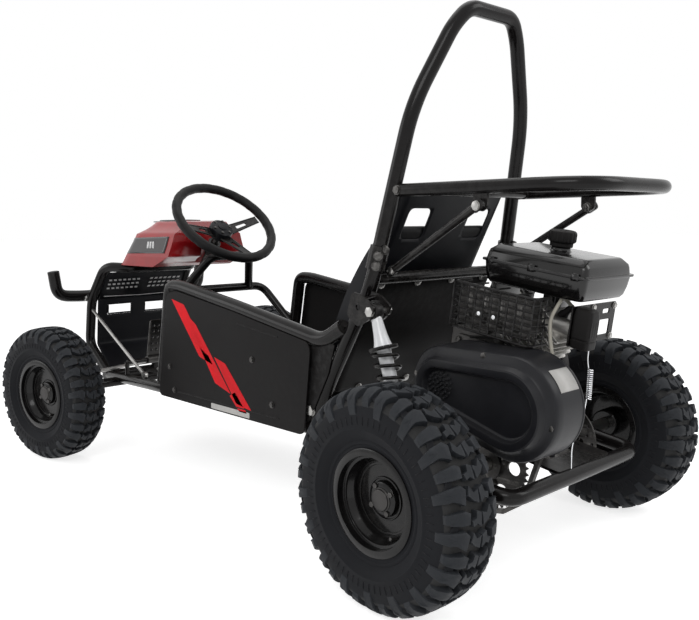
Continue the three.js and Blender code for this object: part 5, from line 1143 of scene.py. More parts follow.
def makeSteeringWheel():
    mesh = bmesh.new()
    route = []
    count = 132
    for i in range(count):
        a = 2 * math.pi * i / count
        # finger bumps on the inner side of the grip
        r = steering["radius"] - 0.0008 * max(0, math.sin(a * 22))
        route.append(columnTurn @ Vector((r * math.cos(a), r * math.sin(a), 0)))
    sweep(mesh, route, steering["grip"] * 0.99, 16, 0, closed=True)
    for degrees in steering["spokes"]:
        spoke = columnTurn @ Matrix.Rotation(math.radians(degrees), 4, "Z")
        outline = [(0.016, -0.017), (0.06, -0.0135), (0.118, -0.0100), (0.118, 0.0100), (0.06, 0.0135), (0.016, 0.017)]
        cup = math.atan2(0.034, 0.102)
        place = spoke @ Matrix.Translation((0, 0, -0.0425)) @ Matrix.Rotation(-cup, 4, "Y")
        addPlate(mesh, roundedOutline(outline, 0.006), 0.0034, place,
                 [roundedOutline([(0.052, -0.0055), (0.082, -0.0045), (0.082, 0.0045), (0.052, 0.0055)], 0.004, 5)], 1)
        for side in (-1, 1):
            edge = [place @ Vector((0.024, side * 0.0155, 0.001)), place @ Vector((0.06, side * 0.0128, 0.001)),
                    place @ Vector((0.118, side * 0.0095, 0.001))]
            addTube(mesh, edge, 0.0021, 0.02, 10, 1)
    profile = [(0.0306, -0.0428), (0.0308, -0.0250), (0.0292, -0.0205), (0.0245, -0.0180), (0.0150, -0.0166), (0, -0.0163)]
    addTurned(mesh, profile, columnTurn, 44, 2)
    addTurned(mesh, [(0.0128, -0.0166), (0.0128, -0.0150), (0.0108, -0.0142), (0, -0.0140)], columnTurn, 30, 2)
    for k in range(6):
        a = 2 * math.pi * k / 6 + 0.3
        centre = columnTurn @ Vector((0.0225 * math.cos(a), 0.0225 * math.sin(a), -0.0182))
        addBolt(mesh, centre, columnTurn.to_3x3() @ Vector((0, 0, 1)), 0.0062, 0.003, 0.0042, 3)
    finishPiece("steeringWheel", mesh, ["gripRubber", "frameBlack", "plasticBlack", "darkSteel"], "steering",
                ["steering_wheel"])
    mesh = bmesh.new()
    foot = -(pitmanReach + 32) / 1000
    addRod(mesh, columnTurn @ Vector((0, 0, foot)), columnTurn @ Vector((0, 0, -0.0340)), 0.0096, 24, 0, 0.0006)
    for level in (-0.056, -0.112):
        addTurned(mesh, [(0.0098, level), (0.0135, level), (0.0135, level + 0.005), (0.0098, level + 0.005)], columnTurn, 24, 1, closed=True)
    low = -pitmanReach / 1000
    outline = roundedOutline([(-0.050, -0.0080), (0.0115, -0.0115), (0.0115, 0.0115), (-0.050, 0.0080)], 0.007, 6)
    addPlate(mesh, outline, 0.0076, columnTurn @ Matrix.Translation((0, 0, low)), (), 1)
    addBolt(mesh, columnTurn @ Vector((-0.042, 0, low + 0.004)), columnTurn.to_3x3() @ Vector((0, 0, 1)), 0.013, 0.006, 0.0082, 0, nut=True)
    addRod(mesh, columnTurn @ Vector((-0.042, 0, low - 0.0078)), columnTurn @ Vector((-0.042, 0, low)), 0.0062, 16, 0)
    finishPiece("steeringColumn", mesh, ["darkSteel", "frameBlack"], "steering", ["steering_column"])


def makeTieRods():
    turn = steering["rest"]
    for name, s in sides:
        mesh = bmesh.new()
        eye = Vector((1194 - 62 * math.cos(turn), s * 296 - 62 * math.sin(turn), 214))
        pitman = turn * steering["ratio"]
        inner = columnAt(pitmanReach)
        ball = Vector((inner.x * 1000 + 594.4 - 42 * math.cos(pitman) * math.sin(columnTilt), -42 * math.sin(pitman) + s * 26, 214))
        run = (ball - eye).normalized()
        low, high = spot(*(eye - Vector((0, 0, 4.8)))), spot(*(eye + Vector((0, 0, 4.8))))
        addTurned(mesh, [(0.0054, 0), (0.0096, 0), (0.0096, 0.0096), (0.0054, 0.0096)], facing(low, high - low, (0, 1, 0)), 24, 1, closed=True)
        start, end = eye + run * 8, ball - run * 0.5
        addRod(mesh, spot(*start), spot(*end), 0.0052, 18, 0, 0.0005)
        for a, b in ((9, 34), ((end - eye).length - 30, (end - eye).length - 4)):
            addRod(mesh, spot(*(eye + run * a)), spot(*(eye + run * b)), 0.0059, 6, 1, 0.0004)
        finishPiece("tieRod." + name, mesh, ["zincSteel", "darkSteel"], "tie_rod_" + name, ["tie_rod_" + name])


def makeSpindles():
    for name, s in sides:
        corner = Matrix.Translation(spot(1194, s * 296, 0)) @ Matrix.Rotation(steering["rest"], 4, "Z")
        mesh = bmesh.new()
        level = 0.1695
        addTurned(mesh, [(0.0076, -0.0324), (0.0138, -0.0324), (0.0143, -0.031), (0.0143, 0.031), (0.0138, 0.0324), (0.0076, 0.0324)],
                  corner @ Matrix.Translation((0, 0, level)), 28, 0, closed=True)
        axle = corner @ Matrix.Translation((0, 0, level))
        at = lambda y: axle @ Vector((0, s * y / 1000, 0))
        addRod(mesh, at(10), at(38), 0.0168, 26, 0, 0.0012)
        addRod(mesh, at(12), at(78), 0.0121, 26, 1, 0.0008)
        addRod(mesh, at(76), at(85.5), 0.0085, 20, 1, 0.0012)
        arm = roundedOutline([(-0.070, -0.0078), (-0.004, -0.0130), (-0.004, 0.0130), (-0.070, 0.0078)], 0.007, 6)
        armLevel = level + 0.01625
        addPlate(mesh, arm, 0.0076, corner @ Matrix.Translation((0, 0, armLevel + 0.004)), (), 0)
        pin = corner @ Vector((-0.062, 0, 0))
        addRod(mesh, pin + Vector((0, 0, armLevel)), pin + Vector((0, 0, 0.2215)), 0.0046, 16, 1)
        addBolt(mesh, pin + Vector((0, 0, armLevel - 0.0001)), (0, 0, -1), 0.0125, 0.005, 0.008, 1)
        for w in (0.006,):
            addBox(mesh, (-0.012, s * 0.010 - 0.002, -0.016), (0.012, s * 0.018 + 0.002, -0.010), axle, 0, 0.0008)
        finishPiece("spindle." + name, mesh, ["darkSteel", "zincSteel"], "spindle_" + name, ["spindle_" + name])


makePanels()
makeFirewall()
makeFloor()
makeNose()
makeCowl()
makePedals()
makeSteeringWheel()
makeTieRods()
makeSpindles()
print("panels, nose and steering made")

# ---- tyres: a carcass and its tread blocks; one entry for each size, in millimetres
tyres = {
    "rear": {"radius": 176.4, "half": 56, "rim": 84, "rimHalf": 46, "depth": 10.5, "pitches": 17},
    "front": {"radius": 169.4, "half": 49, "rim": 88, "rimHalf": 41, "depth": 9.0, "pitches": 18},
}
# tread blocks of one pitch on one side: corners as (share of the pitch, share out from the middle)
blocks = [
    [(0.04, 0.05), (0.34, 0.02), (0.29, 0.19), (0.46, 0.32), (0.26, 0.40), (0.12, 0.24)],
    [(0.54, 0.03), (0.86, 0.01), (0.92, 0.17), (0.76, 0.21), (0.72, 0.36), (0.58, 0.32), (0.63, 0.18)],
    [(0.06, 0.52), (0.40, 0.44), (0.52, 0.56), (0.50, 0.78), (0.42, 0.99), (0.16, 0.99), (0.20, 0.72)],
    [(0.66, 0.44), (0.90, 0.40), (0.98, 0.54), (0.96, 0.74), (0.92, 0.88), (0.70, 0.88), (0.66, 0.66)],
]


def tyrePaths(size):
    r, h, rim, d = size["radius"], size["half"], size["rim"], size["depth"]
    tall = r - rim
    top = [(0, r, 0), (0.45, r - 0.9, 0.46 * h), (0.62, r - 3.2, 0.66 * h), (0.8, rim + 0.855 * tall, 0.90 * h),
           (0.9, rim + 0.74 * tall, 0.955 * h), (1.0, rim + 0.58 * tall, 0.985 * h)]
    base = [(0, r - d, 0), (0.45, r - d - 0.9, 0.43 * h), (0.62, r - d - 2.8, 0.60 * h), (0.8, rim + 0.79 * tall, 0.83 * h),
            (0.9, rim + 0.71 * tall, 0.915 * h), (1.0, rim + 0.57 * tall, 0.962 * h)]

    def follow(table, s):
        a = min(abs(s), 1.0)
        for low, high in zip(table, table[1:]):
            if a <= high[0]:
                break
        f = (a - low[0]) / (high[0] - low[0])
        return low[1] + (high[1] - low[1]) * f, math.copysign(low[2] + (high[2] - low[2]) * f, s)

    return (lambda s: follow(top, s)), (lambda s: follow(base, s))


def addBlock(mesh, corners, top, base, place, angleAt, side, material=0):
    # a fan of quads over the block's outline, following the tread's curve, and its drafted walls
    middle = (sum(c[0] for c in corners) / len(corners), sum(c[1] for c in corners) / len(corners))
    edge = []
    for i, a in enumerate(corners):
        b = corners[(i + 1) % len(corners)]
        steps = 3 if abs(b[1] - a[1]) > 0.15 else 2
        edge += [(a[0] + (b[0] - a[0]) * k / steps, a[1] + (b[1] - a[1]) * k / steps) for k in range(steps)]

    def vertex(path, u, s, grow=1.0, sink=0.0):
        u, s = middle[0] + (u - middle[0]) * grow, middle[1] + (s - middle[1]) * grow
        radius, y = path(side * min(s, 1.0))
        turn = angleAt(u)
        return mesh.verts.new(place @ Vector(((radius - sink) * math.cos(turn) / 1000, (radius - sink) * math.sin(turn) / 1000, y / 1000)))

    rings = [[vertex(top, u, s, 0.5) for u, s in edge], [vertex(top, u, s) for u, s in edge],
             [vertex(base, u, s, 1.10, 1.0) for u, s in edge]]
    centre = vertex(top, *middle)
    count = len(edge)
    for i in range(count):
        j = (i + 1) % count
        faces = [(centre, rings[0][i], rings[0][j]), (rings[0][i], rings[1][i], rings[1][j], rings[0][j]),
                 (rings[1][i], rings[2][i], rings[2][j], rings[1][j])]
        for loop in faces:
            mesh.faces.new(loop if side < 0 else loop[::-1]).material_index = material


def makeTyre(name, kind, place, body, node):
    size = tyres[kind]
    top, base = tyrePaths(size)
    r, h, rim = size["radius"], size["half"], size["rim"]
    tall = r - rim
    mesh = bmesh.new()
    toe = size["rimHalf"] - 3.5
    side = [(rim - 8.6, toe - 0.2), (rim - 0.5, toe), (rim + 0.05 * tall, toe + 0.4), (rim + 0.075 * tall, toe + 2.6),
            (rim + 0.11 * tall, toe + 2.9), (rim + 0.13 * tall, toe + 2.0), (rim + 0.22 * tall, h * 0.925),
            (rim + 0.30 * tall, h * 0.962), (rim + 0.315 * tall, h * 0.985), (rim + 0.345 * tall, h * 0.985),
            (rim + 0.36 * tall, h * 0.972), (rim + 0.47 * tall, h * 0.972)]
    crown = [base(s) for s in (1.0, 0.95, 0.9, 0.85, 0.8, 0.71, 0.62, 0.53, 0.45, 0.3, 0.15, 0)]
    outer = side + crown
    inner = [(rim - 8.6, toe - 9), (rim + 0.3 * tall, h - 11), (rim + 0.7 * tall, h - 14), (r - size["depth"] - 8, h * 0.5)]
    mirror = [(a, -b) for a, b in outer[:-1]][::-1]
    section = outer + mirror + [(a, -b) for a, b in inner] + inner[::-1]
    addTurned(mesh, [(a / 1000, b / 1000) for a, b in section], place, 102, 0, closed=True)
    # the rubber between the blocks gets the darker nearBlack finish, painted shade in the grooves
    hub = place.inverted()
    for face in mesh.faces:
        at = hub @ face.calc_center_median()
        if math.hypot(at.x, at.y) * 1000 > rim + 0.72 * tall:
            face.material_index = 1
    pitch = 2 * math.pi / size["pitches"]
    for k in range(size["pitches"]):
        for way in (1, -1):
            shift = 0.5 if way < 0 else 0.0
            for corners in blocks:
                addBlock(mesh, corners, top, base, place, lambda u: (k + shift + u * 0.97) * pitch, way, 2)
            # a low web joins each long shoulder block to its neighbour, and small ribs run down the wall
            web = [(0.46, 0.70), (0.70, 0.64), (0.70, 0.76), (0.46, 0.82)]
            addBlock(mesh, web, lambda s: tuple(a + (b - a) * 0.5 for a, b in zip(base(s), top(s))), base, place,
                     lambda u: (k + shift + u * 0.97) * pitch, way)
            for j in range(4):
                turn = (k + shift + (j + 0.5) / 4) * pitch
                route = [place @ Vector((q * math.cos(turn) / 1000, q * math.sin(turn) / 1000, way * y / 1000)) for q, y in
                         ((rim + 0.40 * tall, h * 0.972), (rim + 0.47 * tall, h * 0.974), (rim + 0.54 * tall, h * 0.966))]
                sweep(mesh, route, 0.0010, 6)
    return finishPiece(name, mesh, ["tyreRubber", "nearBlack", "treadRubber"], body, [node], angle=32, edge=0.0009, segments=1)


rims = {
    "rear": {"radius": 84, "half": 46, "seat": 75, "well": 60},
    "front": {"radius": 88, "half": 41, "seat": 79, "well": 64},
}


def makeRim(name, kind, place, out, body, node):
    size = rims[kind]
    r, h, seat, well = size["radius"], size["half"], size["seat"], size["well"]
    mesh = bmesh.new()
    face = [(seat - 3.2, h - 0.2), (r - 1.4, h), (r, h - 1.0), (r, h - 2.6), (seat + 0.8, h - 3.2), (seat, h - 8), (seat - 0.6, h * 0.66),
            (well + 3, h * 0.42), (well, h * 0.33)]
    hollow = [(seat - 3.4, h * 0.80), (seat - 4.4, h * 0.74), (seat - 8.5, h * 0.72), (seat - 9.6, h * 0.64),
              (well - 0.4, h * 0.50), (well - 1.8, h * 0.42), (well - 3.2, h * 0.34)]
    mirror = [(a, -b) for a, b in face[::-1]]
    back = [(seat - 3.2, -h * 0.8), (well - 3.2, -h * 0.34)]
    section = face + mirror + back + hollow[::-1]
    addTurned(mesh, [(a / 1000, b / 1000) for a, b in section], place, 72, 0, closed=True)
    # dished centre with its bore, two raised rings and the hub
    centre = place @ Matrix.Translation((0, 0, out * 0.0096))
    disc = circle(0, 0, (well - 2.2) / 1000, 60)
    addPlate(mesh, disc, 0.0030, centre, [circle(0, 0, 0.0285, 40)])
    out3 = Vector((0, 0, out))
    for a, b in (((well - 2.8), (well - 7.5)), (34.5, 31.0)):
        ring = [(a / 1000, out * 0.0110), ((a - 0.6) / 1000, out * 0.0135), ((b + 0.6) / 1000, out * 0.0135), (b / 1000, out * 0.0110)]
        addTurned(mesh, ring, place, 60, 0, closed=True)
    hub = [(0.0128, -0.0205), (0.0255, -0.0205), (0.0280, -0.018), (0.0288, -0.008), (0.0288, 0.0105), (0.0272, 0.0185), (0.0215, 0.0208), (0.0128, 0.0208)]
    addTurned(mesh, [(a, out * b) for a, b in hub], place, 44, 0, closed=True)
    # dust cap with its lip, over the axle's end
    cap = [(0.0190, 0.0204), (0.0190, 0.0222), (0.0172, 0.0228), (0.0166, 0.0250), (0.0145, 0.0259), (0, 0.0261)]
    addTurned(mesh, [(a, out * b) for a, b in cap], place, 36, 1)
    for k in range(4):
        a = 2 * math.pi * k / 4 + 0.55
        at = place @ Vector((0.0232 * math.cos(a), 0.0232 * math.sin(a), out * 0.0186))
        addBolt(mesh, at, place.to_3x3() @ out3, 0.0085, 0.005, 0.0048, 1)
    # valve stem
    a = 2.2
    start = place @ Vector((0.0640 * math.cos(a), 0.0640 * math.sin(a), out * h * 0.46 / 1000))
    end = place @ Vector((0.0590 * math.cos(a), 0.0590 * math.sin(a), out * (h * 0.46 + 17) / 1000))
    addRod(mesh, start, end, 0.0030, 12, 1, 0.0008)
    return finishPiece(name, mesh, ["rimBlack", "darkSteel"], body, [node], edge=0.0004, segments=1)


for name, s in sides:
    hubTurn = Matrix.Rotation(-math.pi / 2, 4, "X")
    rear = Matrix.Translation(spot(0, s * 332, 176.5)) @ hubTurn
    makeTyre("rearTyre." + name, "rear", rear, "rear_wheels", "rear_tyre_" + name)
    makeRim("rearRim." + name, "rear", rear, s, "rear_wheels", "rear_rim_" + name)
    corner = Matrix.Translation(spot(1194, s * 296, 0)) @ Matrix.Rotation(steering["rest"], 4, "Z")
    front = corner @ Matrix.Translation((0, s * 0.060, 0.1695)) @ hubTurn
    makeTyre("frontTyre." + name, "front", front, "front_wheel_" + name, "front_tyre_" + name)
    makeRim("frontRim." + name, "front", front, s, "front_wheel_" + name, "front_rim_" + name)
print("wheels made")

# ---- swing arm, rear axle, sprocket, disc and shocks
acrossTurn = Matrix.Rotation(-math.pi / 2, 4, "X")


def inArm(along, y, up):
    return armTurn() @ Matrix.Translation((along / 1000, y / 1000, up / 1000))


def fromArm(x, level):
    px, pz = layout["armPivot"]
    a, u, t = x - px, level - pz, layout["armTilt"]
    return a * math.cos(t) + u * math.sin(t), u * math.cos(t) - a * math.sin(t)


def armPlate(mesh, points, y, thick, material=0, holes=()):
    place = inArm(0, y, 0) @ Matrix.Rotation(math.pi / 2, 4, "X")
    outline = [(a / 1000, b / 1000) for a, b in points]
    addPlate(mesh, outline, thick / 1000, place, [circle(a / 1000, b / 1000, r / 1000, 24) for a, b, r in holes], material)


armReach = math.hypot(461, 68)
axleAlong, axleUp = fromArm(0, 176.5)
footAlong, footUp = fromArm(67, 228)


def makeSwingArm():
    mesh = bmesh.new()
    loop = [(-14, 150), (-45, 150), (-115, 198), (-armReach, 198), (-armReach, -198), (-115, -198), (-45, -150), (-14, -150)]
    addTube(mesh, [armSpot(a, y, 0) for a, y in loop], tubes["frame"], 0.034, 20)
    addTube(mesh, [armSpot(-225, -198, 0), armSpot(-225, 198, 0)], tubes["beam"])
    plate = [((-armReach) / 1000, -0.102), (-0.212, -0.102), (-0.212, 0.062), (-armReach / 1000, 0.062)]
    slots = [rectangle(x - 0.018, x + 0.018, y - 0.0055, y + 0.0055, 0.005) for x in (-0.25, -0.33) for y in (-0.088, 0.050)]
    slots.append(rectangle(-0.425, -0.372, -0.06, 0.03, 0.014))
    addPlate(mesh, roundedOutline(plate, 0.008), 0.005, inArm(0, 0, 13), slots)
    for _, s in sides:
        addTurned(mesh, [(0.0086, -0.014), (0.0200, -0.014), (0.0208, -0.012), (0.0208, 0.012), (0.0200, 0.014), (0.0086, 0.014)],
                  inArm(0, s * 150, 0) @ acrossTurn, 34, 0, closed=True)
        # bearing housing: a flange with three bolts round a ball bearing
        hub = inArm(axleAlong, s * 198, axleUp) @ acrossTurn
        addTurned(mesh, [(0.0132, -0.0146), (0.0345, -0.0146), (0.0357, -0.0130), (0.0357, 0.0130), (0.0345, 0.0146), (0.0132, 0.0146)],
                  hub, 48, 0, closed=True)
        for k in range(3):
            a = 2 * math.pi * k / 3 + 0.5
            for way in (1, -1):
                at = hub @ Vector((0.0275 * math.cos(a), 0.0275 * math.sin(a), way * 0.0146))
                addBolt(mesh, at, hub.to_3x3() @ Vector((0, 0, way)), 0.0105, 0.005, 0.0065, 1)
        for way in (1, -1):
            addTurned(mesh, [(0.0134, way * 0.0147), (0.0205, way * 0.0147), (0.0200, way * 0.0156), (0.0134, way * 0.0156)], hub, 36, 2, closed=True)
        ear = [(footAlong - 15, 2), (footAlong - 11, footUp + 8), (footAlong + 11, footUp + 8), (footAlong + 15, 2)]
        armPlate(mesh, roundedOutline(ear, 6), s * 207.5, 5)
        armPlate(mesh, roundedOutline([(footAlong - 9, -5), (footAlong - 10, footUp + 8), (footAlong + 10, footUp + 8), (footAlong + 9, -5)], 6),
                 s * 239, 4)
        addTube(mesh, [armSpot(footAlong, s * 205, -2), armSpot(footAlong, s * 239, -2)], 0.0042)
        addRod(mesh, armSpot(footAlong, s * 203, footUp), armSpot(footAlong, s * 241, footUp), 0.0049, 16, 1)
        addBolt(mesh, armSpot(footAlong, s * 236.8, footUp), (0, s, 0), 0.0155, 0.0062, 0.0098, 1)
        for a in (-225,):
            weldBead(mesh, armSpot(a, s * 184, 0), (0, 1, 0), 0.0132)
    piece = finishPiece("swingArm", mesh, ["frameBlack", "zincSteel", "darkSteel"], "arm", ["swing_arm"])
    return piece


def toothed(count, root, tip, steps=4):
    outline = []
    for k in range(count):
        for share, radius in ((0.0, root), (0.18, root), (0.36, root + (tip - root) * 0.7), (0.44, tip), (0.56, tip),
                              (0.64, root + (tip - root) * 0.7), (0.82, root)):
            a = 2 * math.pi * (k + share) / count
            outline.append((radius * math.cos(a), radius * math.sin(a)))
    return outline


def makeAxle():
    centre = Matrix.Translation(spot(0, 0, 176.5)) @ acrossTurn
    mesh = bmesh.new()
    addTurned(mesh, [(0.0118, -0.3570), (0.0123, -0.3562), (0.0123, 0.3562), (0.0118, 0.3570)], centre, 30)
    for y in (0.176, -0.176, 0.120, -0.120):
        addTurned(mesh, [(0.0124, y - 0.005), (0.0190, y - 0.005), (0.0196, y - 0.004), (0.0196, y + 0.004), (0.0190, y + 0.005), (0.0124, y + 0.005)],
                  centre, 30, 1, closed=True)
    finishPiece("rearAxle", mesh, ["zincSteel", "darkSteel"], "rear_wheels", ["rear_axle"])
    mesh = bmesh.new()
    plane = centre @ Matrix.Translation((0, 0, 0.080))
    holes = [circle(0.052 * math.cos(a), 0.052 * math.sin(a), 0.0125, 26) for a in (2 * math.pi * k / 6 for k in range(6))]
    addPlate(mesh, toothed(44, 0.0745, 0.0798), 0.0042, plane, [*holes, circle(0, 0, 0.022, 32)])
    addTurned(mesh, [(0.0131, 0.0706), (0.0285, 0.0706), (0.0285, 0.0895), (0.0131, 0.0895)], centre, 36, 1, closed=True)
    for k in range(4):
        a = 2 * math.pi * k / 4 + 0.3
        addBolt(mesh, centre @ Vector((0.0345 * math.cos(a), 0.0345 * math.sin(a), 0.0821)), (0, 1, 0), 0.0105, 0.005, 0.0065, 1)
    finishPiece("axleSprocket", mesh, ["darkSteel", "darkSteel"], "rear_wheels", ["axle_sprocket"], edge=0.0003, segments=1)
    mesh = bmesh.new()
    plane = centre @ Matrix.Translation((0, 0, -0.150))
    holes = []
    for ring, (count, at) in enumerate(((12, 0.0665), (12, 0.0575))):
        holes += [circle(at * math.cos(a), at * math.sin(a), 0.0032, 14) for a in
                  (2 * math.pi * (k + ring * 0.5) / count for k in range(count))]
    holes += [circle(0.0405 * math.cos(a), 0.0405 * math.sin(a), 0.0085, 20) for a in (2 * math.pi * k / 6 for k in range(6))]
    addPlate(mesh, circle(0, 0, 0.0742, 90), 0.0036, plane, [*holes, circle(0, 0, 0.020, 30)])
    addTurned(mesh, [(0.0131, -0.1575), (0.0280, -0.1575), (0.0280, -0.1425), (0.0131, -0.1425)], centre, 36, 1, closed=True)
    finishPiece("brakeDisc", mesh, ["darkSteel", "darkSteel"], "rear_wheels", ["brake_disc"], edge=0.0003, segments=1)


def makeCaliper():
    mesh = bmesh.new()
    top = axleUp + 76 * 0.3 + 34
    front = axleAlong + 76 * 0.4 + 44
    place = inArm(0, 0, 0)
    box = lambda a0, a1, y0, y1, u0, u1, edge=0.003, material=0: addBox(
        mesh, (a0 / 1000, y0 / 1000, u0 / 1000), (a1 / 1000, y1 / 1000, u1 / 1000), place, material, edge)
    box(front - 43, front - 2, -165, -153.2, top - 33, top - 2)
    box(front - 43, front - 2, -146.8, -135.5, top - 33, top - 2)
    box(front - 20, front - 1, -165, -135.5, top - 33, top - 1, 0.003)
    box(front - 21, front - 1, -184.5, -158, -6, top - 18, 0.002)
    for u in (top - 10, top - 25):
        addBolt(mesh, armSpot(front - 10, -165, u), (0, -1, 0), 0.011, 0.0055, 0.007, 1)
    addTurned(mesh, [(0.0105, 0), (0.0112, -0.001), (0.0112, -0.006), (0.009, -0.0085), (0, -0.0087)],
              inArm(front - 31, -165, top - 18) @ acrossTurn, 28, 1)
    finishPiece("brakeCaliper", mesh, ["castAlloy", "darkSteel"], "arm", ["brake_caliper"])


shock = {"lean": math.atan2(70, 217), "length": math.hypot(70, 217), "coils": 7}


def makeShocks():
    length = shock["length"]
    for name, s in sides:
        top = Matrix.Translation(spot(137, s * 226, 445)) @ Matrix.Rotation(shock["lean"], 4, "Y")
        z = lambda v: v / 1000
        eye = [(0.0056, -0.0094), (0.0132, -0.0094), (0.0139, -0.0085), (0.0139, 0.0085), (0.0132, 0.0094), (0.0056, 0.0094)]
        mesh = bmesh.new()
        addTurned(mesh, eye, top @ acrossTurn, 30, 1, closed=True)
        # the pale upper body with its blind bore, a black collar and the tube that the rod slides in
        flare = [(0, -9), (8.2, -9), (9.6, -15), (10.4, -24), (11.8, -40), (14.2, -54), (16.4, -61.5), (7, -61.5), (7, -26), (0, -26)]
        addTurned(mesh, [(r / 1000, z(h)) for r, h in flare], top, 34, 0)
        collar = [(7.2, -61.6), (25.2, -62.2), (25.6, -63.5), (25.6, -66.6), (24.6, -67.8), (7.2, -67.8)]
        addTurned(mesh, [(r / 1000, z(h)) for r, h in collar], top, 38, 1, closed=True)
        tube = [(7, -67.9), (12.6, -67.9), (12.6, -70.5), (12.2, -71), (12.2, -124), (11.4, -127.5), (7, -127.8)]
        addTurned(mesh, [(r / 1000, z(h)) for r, h in tube], top, 30, 0, closed=True)
        finishPiece("shockBody." + name, mesh, ["shockWhite", "engineBlack"], "shock_body_" + name,
                    ["shock_body_" + name], angle=50)
        mesh = bmesh.new()
        low = top @ Matrix.Translation((0, 0, z(-length)))
        lowEye = [(0.0098, -0.0094), (0.0132, -0.0094), (0.0139, -0.0085), (0.0139, 0.0085), (0.0132, 0.0094), (0.0098, 0.0094)]
        addTurned(mesh, lowEye, low @ acrossTurn, 30, 1, closed=True)
        fork = [(11.6, 10.5), (12.6, 13), (12.6, 17), (24.6, 17.2), (25.4, 18.4), (25.4, 22.2), (24.4, 23), (7, 23)]
        addTurned(mesh, [(r / 1000, z(h)) for r, h in fork], low, 38, 1)
        addTurned(mesh, [(0.0056, z(22)), (0.0056, z(length - 75))], low, 22, 0)
        finishPiece("shockRod." + name, mesh, ["brightChrome", "engineBlack"], "shock_rod_" + name,
                    ["shock_rod_" + name], angle=50)
        # coil with ground ends: the pitch closes up over the first and last half turn
        mesh = bmesh.new()
        high, foot = -62 - 6 - 0.3 - 3.2, -length + 17 + 6 + 0.3 + 3.2
        steps = shock["coils"] * 22
        route = []
        for i in range(steps + 1):
            share = i / steps
            turn = share * shock["coils"] * 2 * math.pi
            eased = share + 0.022 * math.sin(4 * math.pi * share) * (1 - abs(2 * share - 1)) * -1
            route.append(top @ Vector((0.021 * math.cos(turn), 0.021 * math.sin(turn), z(high + (foot - high) * eased))))
        sweep(mesh, route, 0.0031, 12)
        coil = finishPiece("shockSpring." + name, mesh, ["frameBlack"], None,
                           ["shock_spring_" + name], angle=50)
        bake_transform(coil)


makeSwingArm()
makeAxle()
makeCaliper()
makeShocks()
print("swing arm, axle and shocks made")

# ---- engine on the arm: belt cover, block, head, tank, exhaust, filter and starter
engine = {
    "crank": (-284, 130), "jack": (-424, 130), "coverSmall": 67.8, "coverLarge": 86.8, "outer": 186, "inner": 92,
    "head": (-326.4, 180.6), "headAxis": (-0.643, 0.766), "fins": 7, "tank": (-459, -248, -103, 60), "flange": 336,
}


def raceTrack(grow, count=40):
    # round the two pulley centres, in the arm's plane; grow is measured outwards from the cover's edge
    (ca, cu), (ja, ju) = engine["crank"], engine["jack"]
    small, large = engine["coverSmall"] + grow, engine["coverLarge"] + grow
    lean = math.asin((large - small) / (ca - ja))
    outline = []
    for i in range(count + 1):
        a = -(math.pi / 2 - lean) + (math.pi - 2 * lean) * i / count
        outline.append((ca + small * math.cos(a), cu + small * math.sin(a)))
    for i in range(count + 1):
        a = (math.pi / 2 - lean) + (math.pi + 2 * lean) * i / count
        outline.append((ja + large * math.cos(a), ju + large * math.sin(a)))
    return outline


def armFacing(y):
    # a plane across the arm at this y: local X is along, local Y is up, local Z points left
    return inArm(0, y, 0) @ Matrix.Rotation(math.pi / 2, 4, "X") @ Matrix.Scale(-1, 4, (0, 0, 1))


def makeCover():
    mesh = bmesh.new()
    # skin of the cover as rings of the same outline: (grow, y)
    skin = [(0, 92), (0, 94), (-0.4, 150), (-1.2, 163), (-3.6, 167.4), (-8, 169.4), (-14, 171), (-18, 174), (-20.5, 180),
            (-22.5, 184.6), (-25, 186), (-33, 186), (-36, 184.6), (-38, 180), (-39.2, 175.4), (-41.5, 173.2), (-44, 172.4)]
    rings = []
    for grow, y in skin:
        rings.append([mesh.verts.new(armSpot(a, y, u)) for a, u in raceTrack(grow)])
    for low, high in zip(rings, rings[1:]):
        bridge(mesh, low, high)
    mesh.faces.new(rings[-1])
    inside = [[mesh.verts.new(armSpot(a, y, u)) for a, u in raceTrack(-3)] for y in (92, 160)]
    bridge(mesh, rings[0], inside[0])
    bridge(mesh, inside[0], inside[1])
    mesh.faces.new(inside[1][::-1])
    bmesh.ops.recalc_face_normals(mesh, faces=mesh.faces)
    # raised lip round the open edge
    lip = [Vector(armSpot(a, 96, u)) for a, u in raceTrack(-1.2)]
    sweep(mesh, lip, 0.0023, 10, closed=True)
    cover = finishPiece("driveCover", mesh, ["coverBlack"], "arm", ["drive_cover"], angle=26)
    addVents(cover)
    cover.modifiers.new("shading", "WEIGHTED_NORMAL").keep_sharp = True
    return cover


def slotPrism(mesh, centre, length, width, turn, deep, out):
    # a capsule pushed through the cover, used to cut its holes
    outline = []
    half = (length - width) / 2
    for end, start in ((1, -math.pi / 2), (-1, math.pi / 2)):
        for k in range(7):
            a = start + math.pi * k / 6
            outline.append((end * half + width / 2 * math.cos(a), width / 2 * math.sin(a)))
    c, s = math.cos(turn), math.sin(turn)
    near, far = [], []
    for x, y in outline:
        a, u = centre[0] + x * c - y * s, centre[1] + x * s + y * c
        near.append(mesh.verts.new(armSpot(a, deep, u)))
        far.append(mesh.verts.new(armSpot(a, out, u)))
    bridge(mesh, near, far)
    capLoop(mesh, near)
    capLoop(mesh, far)


